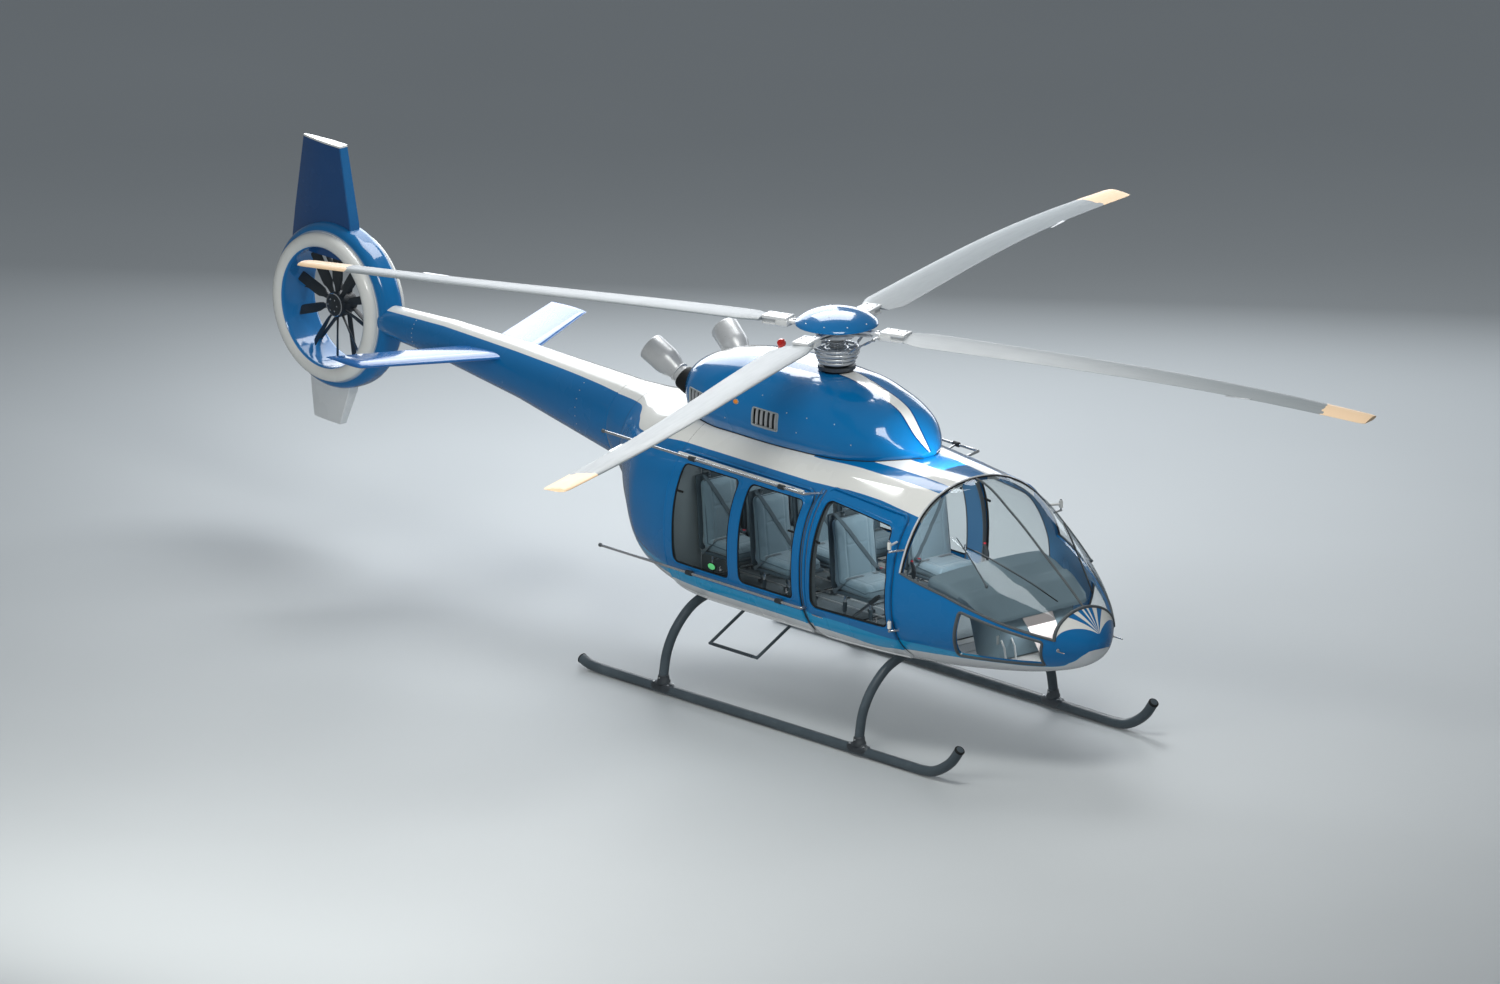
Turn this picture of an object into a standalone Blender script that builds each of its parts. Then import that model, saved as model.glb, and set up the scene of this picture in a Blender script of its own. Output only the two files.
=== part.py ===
"""Light twin-engined helicopter on skids, with a shrouded tail fan and four sliding and hinged doors.

Everything is in metres. X points forward, Y to port and Z up. The pieces are laid out from the rotor mast:
x = 0 is the mast axis and z = 0 is the ground. They are parented to an empty that stands MAST_X ahead of the
middle of the machine, so the world origin is the middle of its footprint.
"""

import math

import bmesh
import bpy
from mathutils import Matrix, Vector

# Whole machine
MAST_X = 1.150
TOUCH = 0.0003

# Main rotor
ROTOR_RADIUS = 5.2
BLADE_CHORDS = (0.380, 0.240)
BLADE_BOW = 0.090
BLADE_PITCH = math.radians(2.9)
BLADE_ROOT = 0.70
BLADE_TURN = math.radians(20.9)
HUB_Z = 3.284
TIP_DROOP = 0.124
CAP_RADIUS = 0.362
MAST_RADIUS = 0.055

# Fuselage shell: x, half width, height of the widest line, top, bottom, power above, power below
FUSELAGE = (
    (-2.60, 0.356, 1.8825, 2.2385, 1.5265, 2.0, 2.0),
    (-2.30, 0.470, 1.78, 2.25, 1.25, 2.0, 2.1),
    (-2.00, 0.690, 1.66, 2.28, 0.98, 2.1, 2.2),
    (-1.60, 0.925, 1.53, 2.33, 0.765, 2.2, 2.4),
    (-1.12, 0.995, 1.44, 2.385, 0.70, 2.3, 2.6),
    (-0.65, 1.005, 1.42, 2.40, 0.68, 2.3, 2.7),
    (0.70, 1.005, 1.42, 2.40, 0.68, 2.3, 2.7),
    (1.30, 0.985, 1.42, 2.38, 0.69, 2.15, 2.6),
    (1.89, 0.940, 1.40, 2.315, 0.72, 2.1, 2.4),
    (2.30, 0.840, 1.36, 2.11, 0.76, 2.05, 2.3),
    (2.75, 0.660, 1.31, 1.81, 0.82, 2.0, 2.2),
    (3.10, 0.440, 1.26, 1.565, 0.90, 2.0, 2.1),
    (3.30, 0.265, 1.22, 1.405, 0.985, 2.0, 2.0),
    (3.41, 0.130, 1.19, 1.285, 1.075, 2.0, 2.0),
    (3.445, 0.050, 1.18, 1.215, 1.135, 2.0, 2.0),
)
BODY_XS = (
    -2.60, -2.42, -2.24, -2.06, -1.88, -1.70, -1.50, -1.31, -1.12, -0.90, -0.65, -0.35, 0.15, 0.70, 0.95,
    1.20, 1.43, 1.65, 1.86, 2.04, 2.21, 2.38, 2.55, 2.71, 2.86, 3.00, 3.12, 3.22, 3.30, 3.36, 3.41, 3.445,
)
RING_STEPS = 14
WALL = 0.040
GLASS = 0.010

# Engine cowl, in the same columns
COWL = (
    (-1.62, 0.20, 2.52, 2.64, 2.30, 2.0, 2.0),
    (-1.52, 0.40, 2.50, 2.74, 2.15, 2.2, 2.2),
    (-1.30, 0.53, 2.48, 2.82, 2.10, 2.3, 2.2),
    (-0.90, 0.60, 2.46, 2.885, 2.10, 2.3, 2.2),
    (-0.40, 0.60, 2.46, 2.915, 2.10, 2.3, 2.2),
    (0.15, 0.57, 2.46, 2.905, 2.10, 2.3, 2.2),
    (0.55, 0.52, 2.45, 2.84, 2.12, 2.2, 2.2),
    (0.86, 0.42, 2.44, 2.745, 2.18, 2.1, 2.1),
    (1.08, 0.25, 2.42, 2.54, 2.30, 2.0, 2.0),
    (1.20, 0.09, 2.41, 2.44, 2.375, 2.0, 2.0),
)
COWL_XS = (-1.62, -1.52, -1.38, -1.18, -0.90, -0.55, -0.15, 0.15, 0.42, 0.66, 0.86, 0.98, 1.08, 1.15, 1.20)

# Where the panels of the shell part
REAR_X = -1.12
PILLAR_X = 1.86
NOSE_X = 3.22
BELLY_Z = 0.90
ROOF_Z = 2.14
WINDSHIELD_EDGE = ((PILLAR_X, 1.66), (2.32, 1.534), (2.80, 1.368), (NOSE_X, 1.24))
FLOOR_Z = 0.93

# Rows of seats: name, x of the back's foot, half width of a seat, and where the seats stand across the cabin
SEAT_ROWS = (
    ("front", 0.66, 0.25, (-0.42, 0.42)),
    ("middle", -0.32, 0.22, (-0.50, 0.0, 0.50)),
    ("rear", -1.00, 0.22, (-0.50, 0.0, 0.50)),
)

# Doors
DOOR_GAP = 0.008
DOOR_SKIN = 0.020
FRONT_DOOR = ((0.745, 0.84), (1.79, 0.84), (1.79, 1.62), (1.74, 2.10), (0.775, 2.17))
FRONT_WINDOW = ((0.795, 1.15), (1.735, 1.15), (1.735, 1.60), (1.64, 2.00), (0.83, 2.08))
FRONT_DOORWAY = ((0.80, 0.94), (1.73, 0.94), (1.73, 1.60), (1.68, 2.03), (0.82, 2.09))
SLIDE_DOOR = ((-1.108, 0.84), (0.665, 0.84), (0.665, 2.11), (-1.108, 2.11))
SLIDE_WINDOWS = (
    ((-0.99, 1.17), (-0.26, 1.17), (-0.26, 2.02), (-0.99, 2.02)),
    ((-0.13, 1.17), (0.575, 1.17), (0.575, 2.02), (-0.13, 2.02)),
)
SLIDE_PANE = ((-1.02, 1.14), (0.605, 1.14), (0.605, 2.05), (-1.02, 2.05))
SLIDE_DOORWAY = ((-1.04, 0.94), (0.60, 0.94), (0.60, 2.05), (-1.04, 2.05))
HINGE_X = 1.80
HINGE_Y = 0.985
HINGE_HEIGHTS = (1.196, 1.904)
CHIN_WINDOW = ((2.36, 0.985), (3.07, 0.98), (3.14, 1.22), (2.47, 1.42))

# Door rails
ROD_RADIUS = 0.012
RODS_BACK_X = -1.90
UPPER_ROD = (1.005, 2.136)
LOWER_ROD = (1.040, 1.12)
TOP_TUBE_Z = 2.085
SLIDER_XS = (-0.743, 0.420)

# Skids
SKID_Y = 1.1135
SKID_RADIUS = 0.045
CROSS_XS = {"front": 1.555, "rear": -0.992}
CROSS_RADIUS = 0.042

# Tail
BOOM = ((-6.02, 0.125, 2.085), (-5.00, 0.185, 2.075), (-4.00, 0.245, 2.015), (-2.6003, 0.354, 1.8825))
FAN_X = -6.48
FAN_Z = 2.085
DUCT_RADIUS = 0.530
SHROUD_RADIUS = 0.735
LIP_RADIUS = 0.590
LIP_TUBE = 0.065
LIP_Y = 0.155
FAN_RADIUS = 0.518
FAN_BLADES = 10
STABILISER = ((-1.30, -4.73, 0.44, 0.045), (0.0, -4.04, 0.52, 0.060), (1.30, -4.73, 0.44, 0.045))


def steps_between(xs, ys):
    """Slopes of a smooth curve through the points that never overshoots them."""
    rise = [(ys[i + 1] - ys[i]) / (xs[i + 1] - xs[i]) for i in range(len(xs) - 1)]
    slopes = [rise[0]]
    for before, after in zip(rise, rise[1:]):
        slopes.append(0.0 if before * after <= 0 else 2 * before * after / (before + after))
    return slopes + [rise[-1]]


def smooth(table, x):
    """The row of the table at x, read off smooth curves through its rows."""
    xs = [row[0] for row in table]
    x = min(max(x, xs[0]), xs[-1])
    i = max(k for k in range(len(xs) - 1) if xs[k] <= x)
    width = xs[i + 1] - xs[i]
    t = (x - xs[i]) / width
    row = []
    for column in list(zip(*table))[1:]:
        slopes = steps_between(xs, column)
        row.append(
            (2 * t**3 - 3 * t**2 + 1) * column[i]
            + (t**3 - 2 * t**2 + t) * width * slopes[i]
            + (3 * t**2 - 2 * t**3) * column[i + 1]
            + (t**3 - t**2) * width * slopes[i + 1]
        )
    return row


def ring_point(table, x, turn, outward=0.0):
    """A point of the rounded section at x. turn runs from 0 at the top, by the port side, to a whole turn."""
    half, middle, top, bottom, power_top, power_bottom = smooth(table, x)
    side, rise = math.sin(turn), math.cos(turn)
    power = power_top if rise >= 0 else power_bottom
    height = (top - middle if rise >= 0 else middle - bottom) + outward
    y = math.copysign((half + outward) * abs(side) ** (2 / power), side)
    z = middle + math.copysign(height * abs(rise) ** (2 / power), rise)
    return Vector((x, y, z))


def body_ring(x, outward=0.0, count=2 * RING_STEPS):
    """One section of the body. Between two of BODY_XS it lies on the straight lines that join them."""
    before = max([k for k in BODY_XS if k <= x + 1e-6], default=BODY_XS[0])
    after = min([k for k in BODY_XS if k > x + 1e-6], default=before)
    share = (x - before) / (after - before) if after > before else 0.0
    ring = []
    for k in range(count):
        turn = 2 * math.pi * k / count
        start = ring_point(FUSELAGE, before, turn, outward)
        ring.append(start.lerp(ring_point(FUSELAGE, after, turn, outward), share))
    return ring


def body_xs(x_low, x_high):
    return [x_low, *(x for x in BODY_XS if x_low + 0.004 < x < x_high - 0.004), x_high]


def material(name, colour, roughness, metallic=0.0, alpha=1.0):
    made = bpy.data.materials.new(name)
    made.use_nodes = True
    shader = made.node_tree.nodes["Principled BSDF"]
    shader.inputs["Base Color"].default_value = (*colour, 1.0)
    shader.inputs["Roughness"].default_value = roughness
    shader.inputs["Metallic"].default_value = metallic
    shader.inputs["Alpha"].default_value = alpha
    made.diffuse_color = (*colour, alpha)
    return made


def new_object(name, data, paint=None):
    """A part when it has a paint, and else a cutter."""
    made = bpy.data.objects.new(name, data)
    (parts if paint else cutters).objects.link(made)
    made.parent = datum
    if paint:
        data.materials.append(paint)
    else:
        made.hide_render = True
        made.display_type = "WIRE"
    return made


def from_bmesh(name, shape, paint=None):
    bmesh.ops.recalc_face_normals(shape, faces=shape.faces)
    mesh = bpy.data.meshes.new(name)
    shape.to_mesh(mesh)
    shape.free()
    mesh.shade_smooth()
    mesh.set_sharp_from_angle(angle=math.radians(35))
    return new_object(name, mesh, paint)


def as_mesh(curve_object, paint=None):
    """The mesh of a curve object, with its caps welded on."""
    bpy.context.view_layer.update()
    graph = bpy.context.evaluated_depsgraph_get()
    mesh = bpy.data.meshes.new_from_object(curve_object.evaluated_get(graph))
    shape = bmesh.new()
    shape.from_mesh(mesh)
    bmesh.ops.remove_doubles(shape, verts=shape.verts, dist=0.00005)
    bmesh.ops.recalc_face_normals(shape, faces=shape.faces)
    shape.to_mesh(mesh)
    shape.free()
    name = curve_object.name
    curve_object.name = name + "_curve"
    made = new_object(name, mesh, paint)
    made.matrix_local = curve_object.matrix_local.copy()
    bpy.data.objects.remove(curve_object)
    return made


def boolean(target, operation, *others):
    for other in others:
        step = target.modifiers.new(operation.lower() + "_" + other.name, "BOOLEAN")
        step.operation = operation
        step.object = other
    return target


def box(name, low, high, paint=None):
    shape = bmesh.new()
    bmesh.ops.create_cube(shape, size=1.0)
    size = Vector(high) - Vector(low)
    bmesh.ops.scale(shape, vec=size, verts=shape.verts)
    bmesh.ops.translate(shape, vec=(Vector(high) + Vector(low)) / 2, verts=shape.verts)
    return from_bmesh(name, shape, paint)


def cylinder(name, start, end, radius, paint=None, segments=20, radius_end=None):
    """A closed cylinder or cone between two points."""
    start, end = Vector(start), Vector(end)
    axis = end - start
    shape = bmesh.new()
    bmesh.ops.create_cone(
        shape, cap_ends=True, segments=segments, radius1=radius,
        radius2=radius if radius_end is None else radius_end, depth=axis.length,
    )
    turn = axis.to_track_quat("Z", "Y").to_matrix().to_4x4()
    bmesh.ops.transform(shape, matrix=Matrix.Translation((start + end) / 2) @ turn, verts=shape.verts)
    return from_bmesh(name, shape, paint)


def tube(name, points, radius, paint=None, sides=2):
    """A round bar along the points, as a mesh."""
    curve = bpy.data.curves.new(name, "CURVE")
    curve.dimensions = "3D"
    curve.bevel_depth = radius
    curve.bevel_resolution = sides
    curve.use_fill_caps = True
    spline = curve.splines.new("POLY")
    spline.points.add(len(points) - 1)
    for spot, point in zip(spline.points, points):
        spot.co = (*point, 1.0)
    return as_mesh(new_object(name, curve, paint), paint)


def smooth_path(points, between=2):
    """Points on a smooth curve through the given ones."""
    points = [Vector(p) for p in points]
    padded = [2 * points[0] - points[1], *points, 2 * points[-1] - points[-2]]
    path = []
    for a, b, c, d in zip(padded, padded[1:], padded[2:], padded[3:]):
        for step in range(between):
            t = step / between
            square, cube = 2 * a - 5 * b + 4 * c - d, 3 * b - 3 * c + d - a
            path.append(0.5 * (2 * b + (c - a) * t + square * t**2 + cube * t**3))
    return path + [points[-1]]


def rounded(corners, radius, steps=4):
    """The outline with each corner turned into an arc."""
    corners = [Vector(c) for c in corners]
    outline = []
    for i, corner in enumerate(corners):
        before = (corners[i - 1] - corner).normalized()
        after = (corners[(i + 1) % len(corners)] - corner).normalized()
        half = before.angle(after) / 2
        reach = radius / math.tan(half)
        centre = corner + (before + after).normalized() * (radius / math.sin(half))
        start = corner + before * reach - centre
        turn = start.angle_signed(corner + after * reach - centre)
        for step in range(steps + 1):
            angle = -turn * step / steps
            spun = Vector((
                start.x * math.cos(angle) - start.y * math.sin(angle),
                start.x * math.sin(angle) + start.y * math.cos(angle),
            ))
            outline.append(centre + spun)
    return outline


def side_plate(name, outline, y_low, y_high, paint=None):
    """A flat outline in x and z, made thick along y."""
    curve = bpy.data.curves.new(name, "CURVE")
    curve.dimensions = "2D"
    curve.fill_mode = "BOTH"
    curve.extrude = (y_high - y_low) / 2
    spline = curve.splines.new("POLY")
    spline.points.add(len(outline) - 1)
    for spot, point in zip(spline.points, outline):
        spot.co = (point[0], point[1], 0.0, 1.0)
    spline.use_cyclic_u = True
    plate = new_object(name, curve, paint)
    plate.rotation_euler = (math.pi / 2, 0.0, 0.0)
    plate.location = (0.0, (y_low + y_high) / 2, 0.0)
    return as_mesh(plate, paint)


def turned(name, profile, paint=None, steps=32, place=None):
    """A profile of radius and height, spun about z and then placed by a matrix."""
    shape = bmesh.new()
    spots = [shape.verts.new((radius, 0.0, height)) for radius, height in profile]
    for first, second in zip(spots, spots[1:]):
        shape.edges.new((first, second))
    closed = min(radius for radius, _ in profile) > 0
    if closed:
        shape.edges.new((spots[-1], spots[0]))
    mesh = bpy.data.meshes.new(name)
    shape.to_mesh(mesh)
    shape.free()
    made = new_object(name, mesh, paint)
    screw = made.modifiers.new("turn", "SCREW")
    screw.steps = steps
    screw.render_steps = steps
    screw.use_merge_vertices = True
    screw.merge_threshold = 0.0001
    if place is not None:
        made.matrix_local = place
    return made


def loft(name, rings, paint=None):
    """Rings of equal length joined by quads, each end closed by one face."""
    shape = bmesh.new()
    rows = [[shape.verts.new(point) for point in ring] for ring in rings]
    for row, following in zip(rows, rows[1:]):
        join_rings(shape, row, following)
    shape.faces.new(rows[0])
    shape.faces.new(rows[-1])
    return from_bmesh(name, shape, paint)


def body_shell(name, x_low, x_high, outer, inner, paint=None):
    """A length of the body between two distances from its surface, open at both ends."""
    xs = body_xs(x_low, x_high)
    shape = bmesh.new()
    skins = []
    for outward in (outer, inner):
        skins.append([[shape.verts.new(point) for point in body_ring(x, outward)] for x in xs])
    for rows in skins:
        for row, following in zip(rows, rows[1:]):
            join_rings(shape, row, following)
    join_rings(shape, skins[0][0], skins[1][0])
    join_rings(shape, skins[0][-1], skins[1][-1])
    return from_bmesh(name, shape, paint)


def join_rings(shape, ring, following):
    for i in range(len(ring)):
        k = (i + 1) % len(ring)
        shape.faces.new((ring[i], ring[k], following[k], following[i]))


def body_solid(name, x_low, x_high, outward, paint=None):
    return loft(name, [body_ring(x, outward) for x in body_xs(x_low, x_high)], paint)


def cowl_solid(name, x_low, x_high, outward, paint=None, count=20):
    xs = [x_low, *(x for x in COWL_XS if x_low + 0.004 < x < x_high - 0.004), x_high]
    rings = [[ring_point(COWL, x, 2 * math.pi * k / count, outward) for k in range(count)] for x in xs]
    return loft(name, rings, paint)


def sides():
    """Name and sign of each side: starboard is at -Y."""
    return (("right", -1), ("left", 1))


def make_fuselage():
    """The shell in the panels that the real one has, and the windshield and chin windows in it."""
    ys = (-2.0, 2.0)

    belly = body_shell("belly_shell", REAR_X, PILLAR_X, 0.0, -WALL, silver)
    above_belly = box("above_belly", (-3.0, ys[0], BELLY_Z), (4.0, ys[1], 4.0))
    boolean(belly, "DIFFERENCE", above_belly, *cross_tube_holes)

    roof = body_shell("roof_shell", REAR_X, PILLAR_X, 0.0, -WALL, pale_grey)
    boolean(roof, "DIFFERENCE", box("below_roof", (-3.0, ys[0], 0.0), (4.0, ys[1], ROOF_Z)))

    for side, sign in sides():
        frame = body_shell("door_frame_" + side, REAR_X, PILLAR_X, 0.0, -WALL, blue)
        low = (-3.0, min(0.02 * sign, 2.0 * sign), BELLY_Z + TOUCH)
        high = (4.0, max(0.02 * sign, 2.0 * sign), ROOF_Z - TOUCH)
        boolean(frame, "INTERSECT", box("frame_zone_" + side, low, high))
        reach = (min(0.3 * sign, 2.0 * sign), max(0.3 * sign, 2.0 * sign))
        for label, doorway in (("front", FRONT_DOORWAY), ("slide", SLIDE_DOORWAY)):
            cut = side_plate("doorway_%s_%s" % (label, side), rounded(doorway, 0.08), *reach)
            boolean(frame, "DIFFERENCE", cut)
        for height in HINGE_HEIGHTS:
            surface = surface_y(PILLAR_X - 0.03, height) - WALL / 2
            arm = (HINGE_X, sign * HINGE_Y, height - 0.055)
            foot = (PILLAR_X - 0.02, sign * surface, height - 0.055)
            label = "%s_%d" % (side, round(height * 100))
            pin = cylinder("hinge_pin_" + label, (*arm[:2], height - 0.065), (*arm[:2], height + 0.05), 0.008)
            boolean(frame, "UNION", tube("hinge_arm_" + label, [arm, foot], 0.010, None, 1), pin)
        add_rail(frame, side, sign)

    body_shell("rear_shell", -2.60, REAR_X - TOUCH, 0.0, -WALL, blue)

    nose = body_shell("nose_shell", PILLAR_X + TOUCH, NOSE_X, 0.0, -WALL, blue)
    above = [*WINDSHIELD_EDGE, (NOSE_X + 0.2, 1.22), (NOSE_X + 0.2, 3.0)]
    above += [(PILLAR_X - 0.2, 3.0), (PILLAR_X - 0.2, 1.70)]
    boolean(nose, "DIFFERENCE", side_plate("above_nose", above, -1.5, 1.5))
    chin_outline = rounded(CHIN_WINDOW, 0.03)
    boolean(nose, "DIFFERENCE", side_plate("chin_cut", chin_outline, -1.5, 1.5))

    cap = body_solid("nose_cap", NOSE_X + TOUCH, 3.445, 0.0, blue)
    boolean(cap, "DIFFERENCE", body_solid("nose_cap_hollow", NOSE_X - 0.1, 3.34, -WALL))

    zones = {"right": (-1.5, -0.004), "left": (0.004, 1.5)}
    glass_above = [(x, z + 0.0008) for x, z in WINDSHIELD_EDGE]
    glass_above += [(NOSE_X - 0.0004, 3.0), (PILLAR_X + 0.0006, 3.0)]
    glass_above[0] = (PILLAR_X + 0.0006, WINDSHIELD_EDGE[0][1] + 0.0008)
    glass_above[3] = (NOSE_X - 0.0004, WINDSHIELD_EDGE[3][1] + 0.0008)
    chin_inset = rounded(inset(CHIN_WINDOW, 0.0005), 0.03)
    for side, sign in sides():
        pane = body_shell("windshield_" + side, PILLAR_X, NOSE_X, -0.002, -0.002 - GLASS, glass)
        boolean(pane, "INTERSECT", side_plate("windshield_zone_" + side, glass_above, *zones[side]))
        chin = body_shell("chin_window_" + side, PILLAR_X, NOSE_X, -0.002, -0.002 - GLASS, glass)
        boolean(chin, "INTERSECT", side_plate("chin_zone_" + side, chin_inset, *zones[side]))


def inset(corners, distance):
    """A four-cornered outline moved in by about the distance on all sides."""
    middle = sum((Vector(c) for c in corners), Vector((0.0, 0.0))) / len(corners)
    return [
        (c[0] + math.copysign(distance, middle.x - c[0]), c[1] + math.copysign(distance, middle.y - c[1]))
        for c in corners
    ]


def surface_y(x, z, outward=0.0):
    """Half the width of the body's surface at a height."""
    half, middle, top, bottom, power_top, power_bottom = smooth(FUSELAGE, x)
    power = power_top if z >= middle else power_bottom
    height = (top - middle if z >= middle else middle - bottom) + outward
    share = min(1.0, abs(z - middle) / height)
    return (half + outward) * (1.0 - share**power) ** (1 / power)


def make_cabin():
    """Floor with its rear wall, instrument panel, and three rows of seats."""
    room = body_solid("cabin_room", REAR_X, NOSE_X, -WALL - 0.001)
    floor = box("cabin_floor", (-1.09, -1.1, FLOOR_Z - 0.025), (2.90, 1.1, FLOOR_Z), dark_grey)
    boolean(floor, "UNION", box("rear_wall", (-1.09, -1.1, FLOOR_Z - 0.02), (-1.06, 1.1, 2.32)))
    boolean(floor, "INTERSECT", room)

    low = FLOOR_Z + TOUCH
    pedestal = ((2.30, low), (2.60, low), (2.60, 1.29), (2.40, 1.45), (2.18, 1.50), (2.16, 1.40))
    hood = ((2.62, 1.27), (2.62, 1.30), (2.40, 1.47), (2.14, 1.575), (1.92, 1.615), (1.90, 1.56), (2.10, 1.44))
    panel = side_plate("instrument_panel", pedestal, -0.42, 0.42, black)
    boolean(panel, "UNION", side_plate("panel_hood", hood, -0.60, 0.60))

    for row, x, width, places in SEAT_ROWS:
        rail_low = (x + 0.10, places[0] - 0.05, low)
        rail_high = (x + 0.34, places[-1] + 0.05, FLOOR_Z + 0.03)
        rail = box("seats_" + row, rail_low, rail_high, dark_grey)
        back_side = ((x + 0.02, 1.22), (x + 0.14, 1.22), (x + 0.06, 1.86), (x - 0.03, 1.86))
        for k, y in enumerate(places):
            label = "%s_%d" % (row, k)
            pan = box("pan_" + label, (x + 0.02, y - width, 1.20), (x + 0.50, y + width, 1.32))
            back = side_plate("back_" + label, back_side, y - width, y + width)
            head = box("head_" + label, (x - 0.03, y - 0.13, 1.90), (x + 0.06, y + 0.13, 2.04))
            post = box("post_" + label, (x + 0.0, y - 0.08, 1.82), (x + 0.03, y + 0.08, 1.93))
            leg = box("leg_" + label, (x + 0.14, y - 0.10, FLOOR_Z + 0.01), (x + 0.32, y + 0.10, 1.23))
            boolean(rail, "UNION", leg, pan, back, post, head)


def make_doors():
    """Hinged front doors, sliding doors, their glass, and the rails the sliding doors run on."""
    outer = DOOR_GAP + DOOR_SKIN
    for side, sign in sides():
        reach = (min(0.02 * sign, 2.0 * sign), max(0.02 * sign, 2.0 * sign))

        door = body_shell("front_door_" + side, 0.73, 1.86, outer, DOOR_GAP, blue)
        zone = side_plate("front_door_zone_" + side, rounded(FRONT_DOOR, 0.07), *reach)
        hole = side_plate("front_window_cut_" + side, rounded(FRONT_WINDOW, 0.07), *reach)
        boolean(door, "INTERSECT", zone)
        boolean(door, "DIFFERENCE", hole)
        for height in HINGE_HEIGHTS:
            label = "%s_%d" % (side, round(height * 100))
            surface = surface_y(HINGE_X - 0.05, height, DOOR_GAP + DOOR_SKIN / 2)
            spot = (HINGE_X, sign * HINGE_Y, height)
            strap_end = (HINGE_X - 0.045, sign * surface, height)
            strap = tube("hinge_strap_" + label, [spot, strap_end], 0.012, None, 1)
            low, high = (*spot[:2], height - 0.035), (*spot[:2], height + 0.035)
            barrel = cylinder("hinge_barrel_" + label, low, high, 0.018)
            bore = cylinder("hinge_bore_" + label, (*spot[:2], height - 0.2), (*spot[:2], height + 0.2), 0.0085)
            boolean(door, "UNION", strap, barrel)
            boolean(door, "DIFFERENCE", bore)
        pane = body_shell("front_door_glass_" + side, 0.73, 1.86, outer - 0.006, outer - 0.012, glass)
        pane_zone = rounded(inset(FRONT_WINDOW, 0.0005), 0.07)
        boolean(pane, "INTERSECT", side_plate("front_pane_zone_" + side, pane_zone, *reach))

        door = body_shell("sliding_door_" + side, -1.12, 0.70, outer, DOOR_GAP + GLASS, blue)
        boolean(door, "INTERSECT", side_plate("sliding_door_zone_" + side, rounded(SLIDE_DOOR, 0.10), *reach))
        for k, window in enumerate(SLIDE_WINDOWS):
            hole = side_plate("sliding_window_cut_%d_%s" % (k, side), rounded(window, 0.06), *reach)
            boolean(door, "DIFFERENCE", hole)
        pane = body_shell("sliding_door_glass_" + side, -1.12, 0.70, DOOR_GAP + GLASS - 0.0008, DOOR_GAP, glass)
        boolean(pane, "INTERSECT", side_plate("sliding_pane_zone_" + side, rounded(SLIDE_PANE, 0.07), *reach))
        top_y = sign * surface_y(-0.3, TOP_TUBE_Z, outer + 0.010)
        top_route = [(-1.09, top_y, TOP_TUBE_Z), (0.53, top_y, TOP_TUBE_Z)]
        boolean(door, "UNION", tube("top_tube_" + side, top_route, 0.018, None, 1))
        for x in SLIDER_XS:
            for label, (y, z) in (("upper", UPPER_ROD), ("lower", LOWER_ROD)):
                foot_z = TOP_TUBE_Z if label == "upper" else z
                foot = (x, sign * surface_y(x, foot_z, outer - 0.004), foot_z)
                tag = "%s_%s_%d" % (label, side, round(x * 100))
                arm = tube("slider_arm_" + tag, [foot, (x, sign * y, z)], 0.011, None, 1)
                sleeve = along_rod("slider_" + tag, x, sign * y, z, 0.04, ROD_RADIUS + 0.012)
                bore = along_rod("slider_bore_" + tag, x, sign * y, z, 0.2, ROD_RADIUS + 0.0007)
                boolean(door, "UNION", arm, sleeve)
                boolean(door, "DIFFERENCE", bore)


def along_rod(name, x, y, z, half, radius):
    """A cylinder about a door rod, reaching half to each side of x."""
    return cylinder(name, (x - half, y, z), (x + half, y, z), radius, None, 12)


def add_rail(frame, side, sign):
    """A strip up the pillar between the doors that carries the upper and lower rods."""
    strip_x = (0.690, 0.722)
    strip = body_shell("door_rail_" + side, *strip_x, 0.014, -0.010)
    low, high = sorted((0.02 * sign, 2.0 * sign))
    boolean(strip, "INTERSECT", box("rail_zone_" + side, (0.5, low, 1.00), (0.9, high, ROOF_Z - TOUCH)))
    middle = sum(strip_x) / 2
    upper = (UPPER_ROD[0] * sign, UPPER_ROD[1])
    lower = (LOWER_ROD[0] * sign, LOWER_ROD[1])
    upper_start = (middle, sign * surface_y(middle, 2.10, 0.0), 2.10)
    lower_start = (middle, sign * surface_y(middle, lower[1], 0.006), lower[1])
    pieces = [
        tube("upper_rod_" + side, [(RODS_BACK_X, *upper), (middle, *upper)], ROD_RADIUS, None, 2),
        tube("lower_rod_" + side, [(RODS_BACK_X, *lower), (middle, *lower)], ROD_RADIUS, None, 2),
        tube("upper_foot_" + side, [upper_start, (middle, *upper)], 0.014, None, 1),
        tube("lower_foot_" + side, [lower_start, (middle, *lower)], 0.013, None, 1),
    ]
    boolean(frame, "UNION", strip, *pieces)


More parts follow.
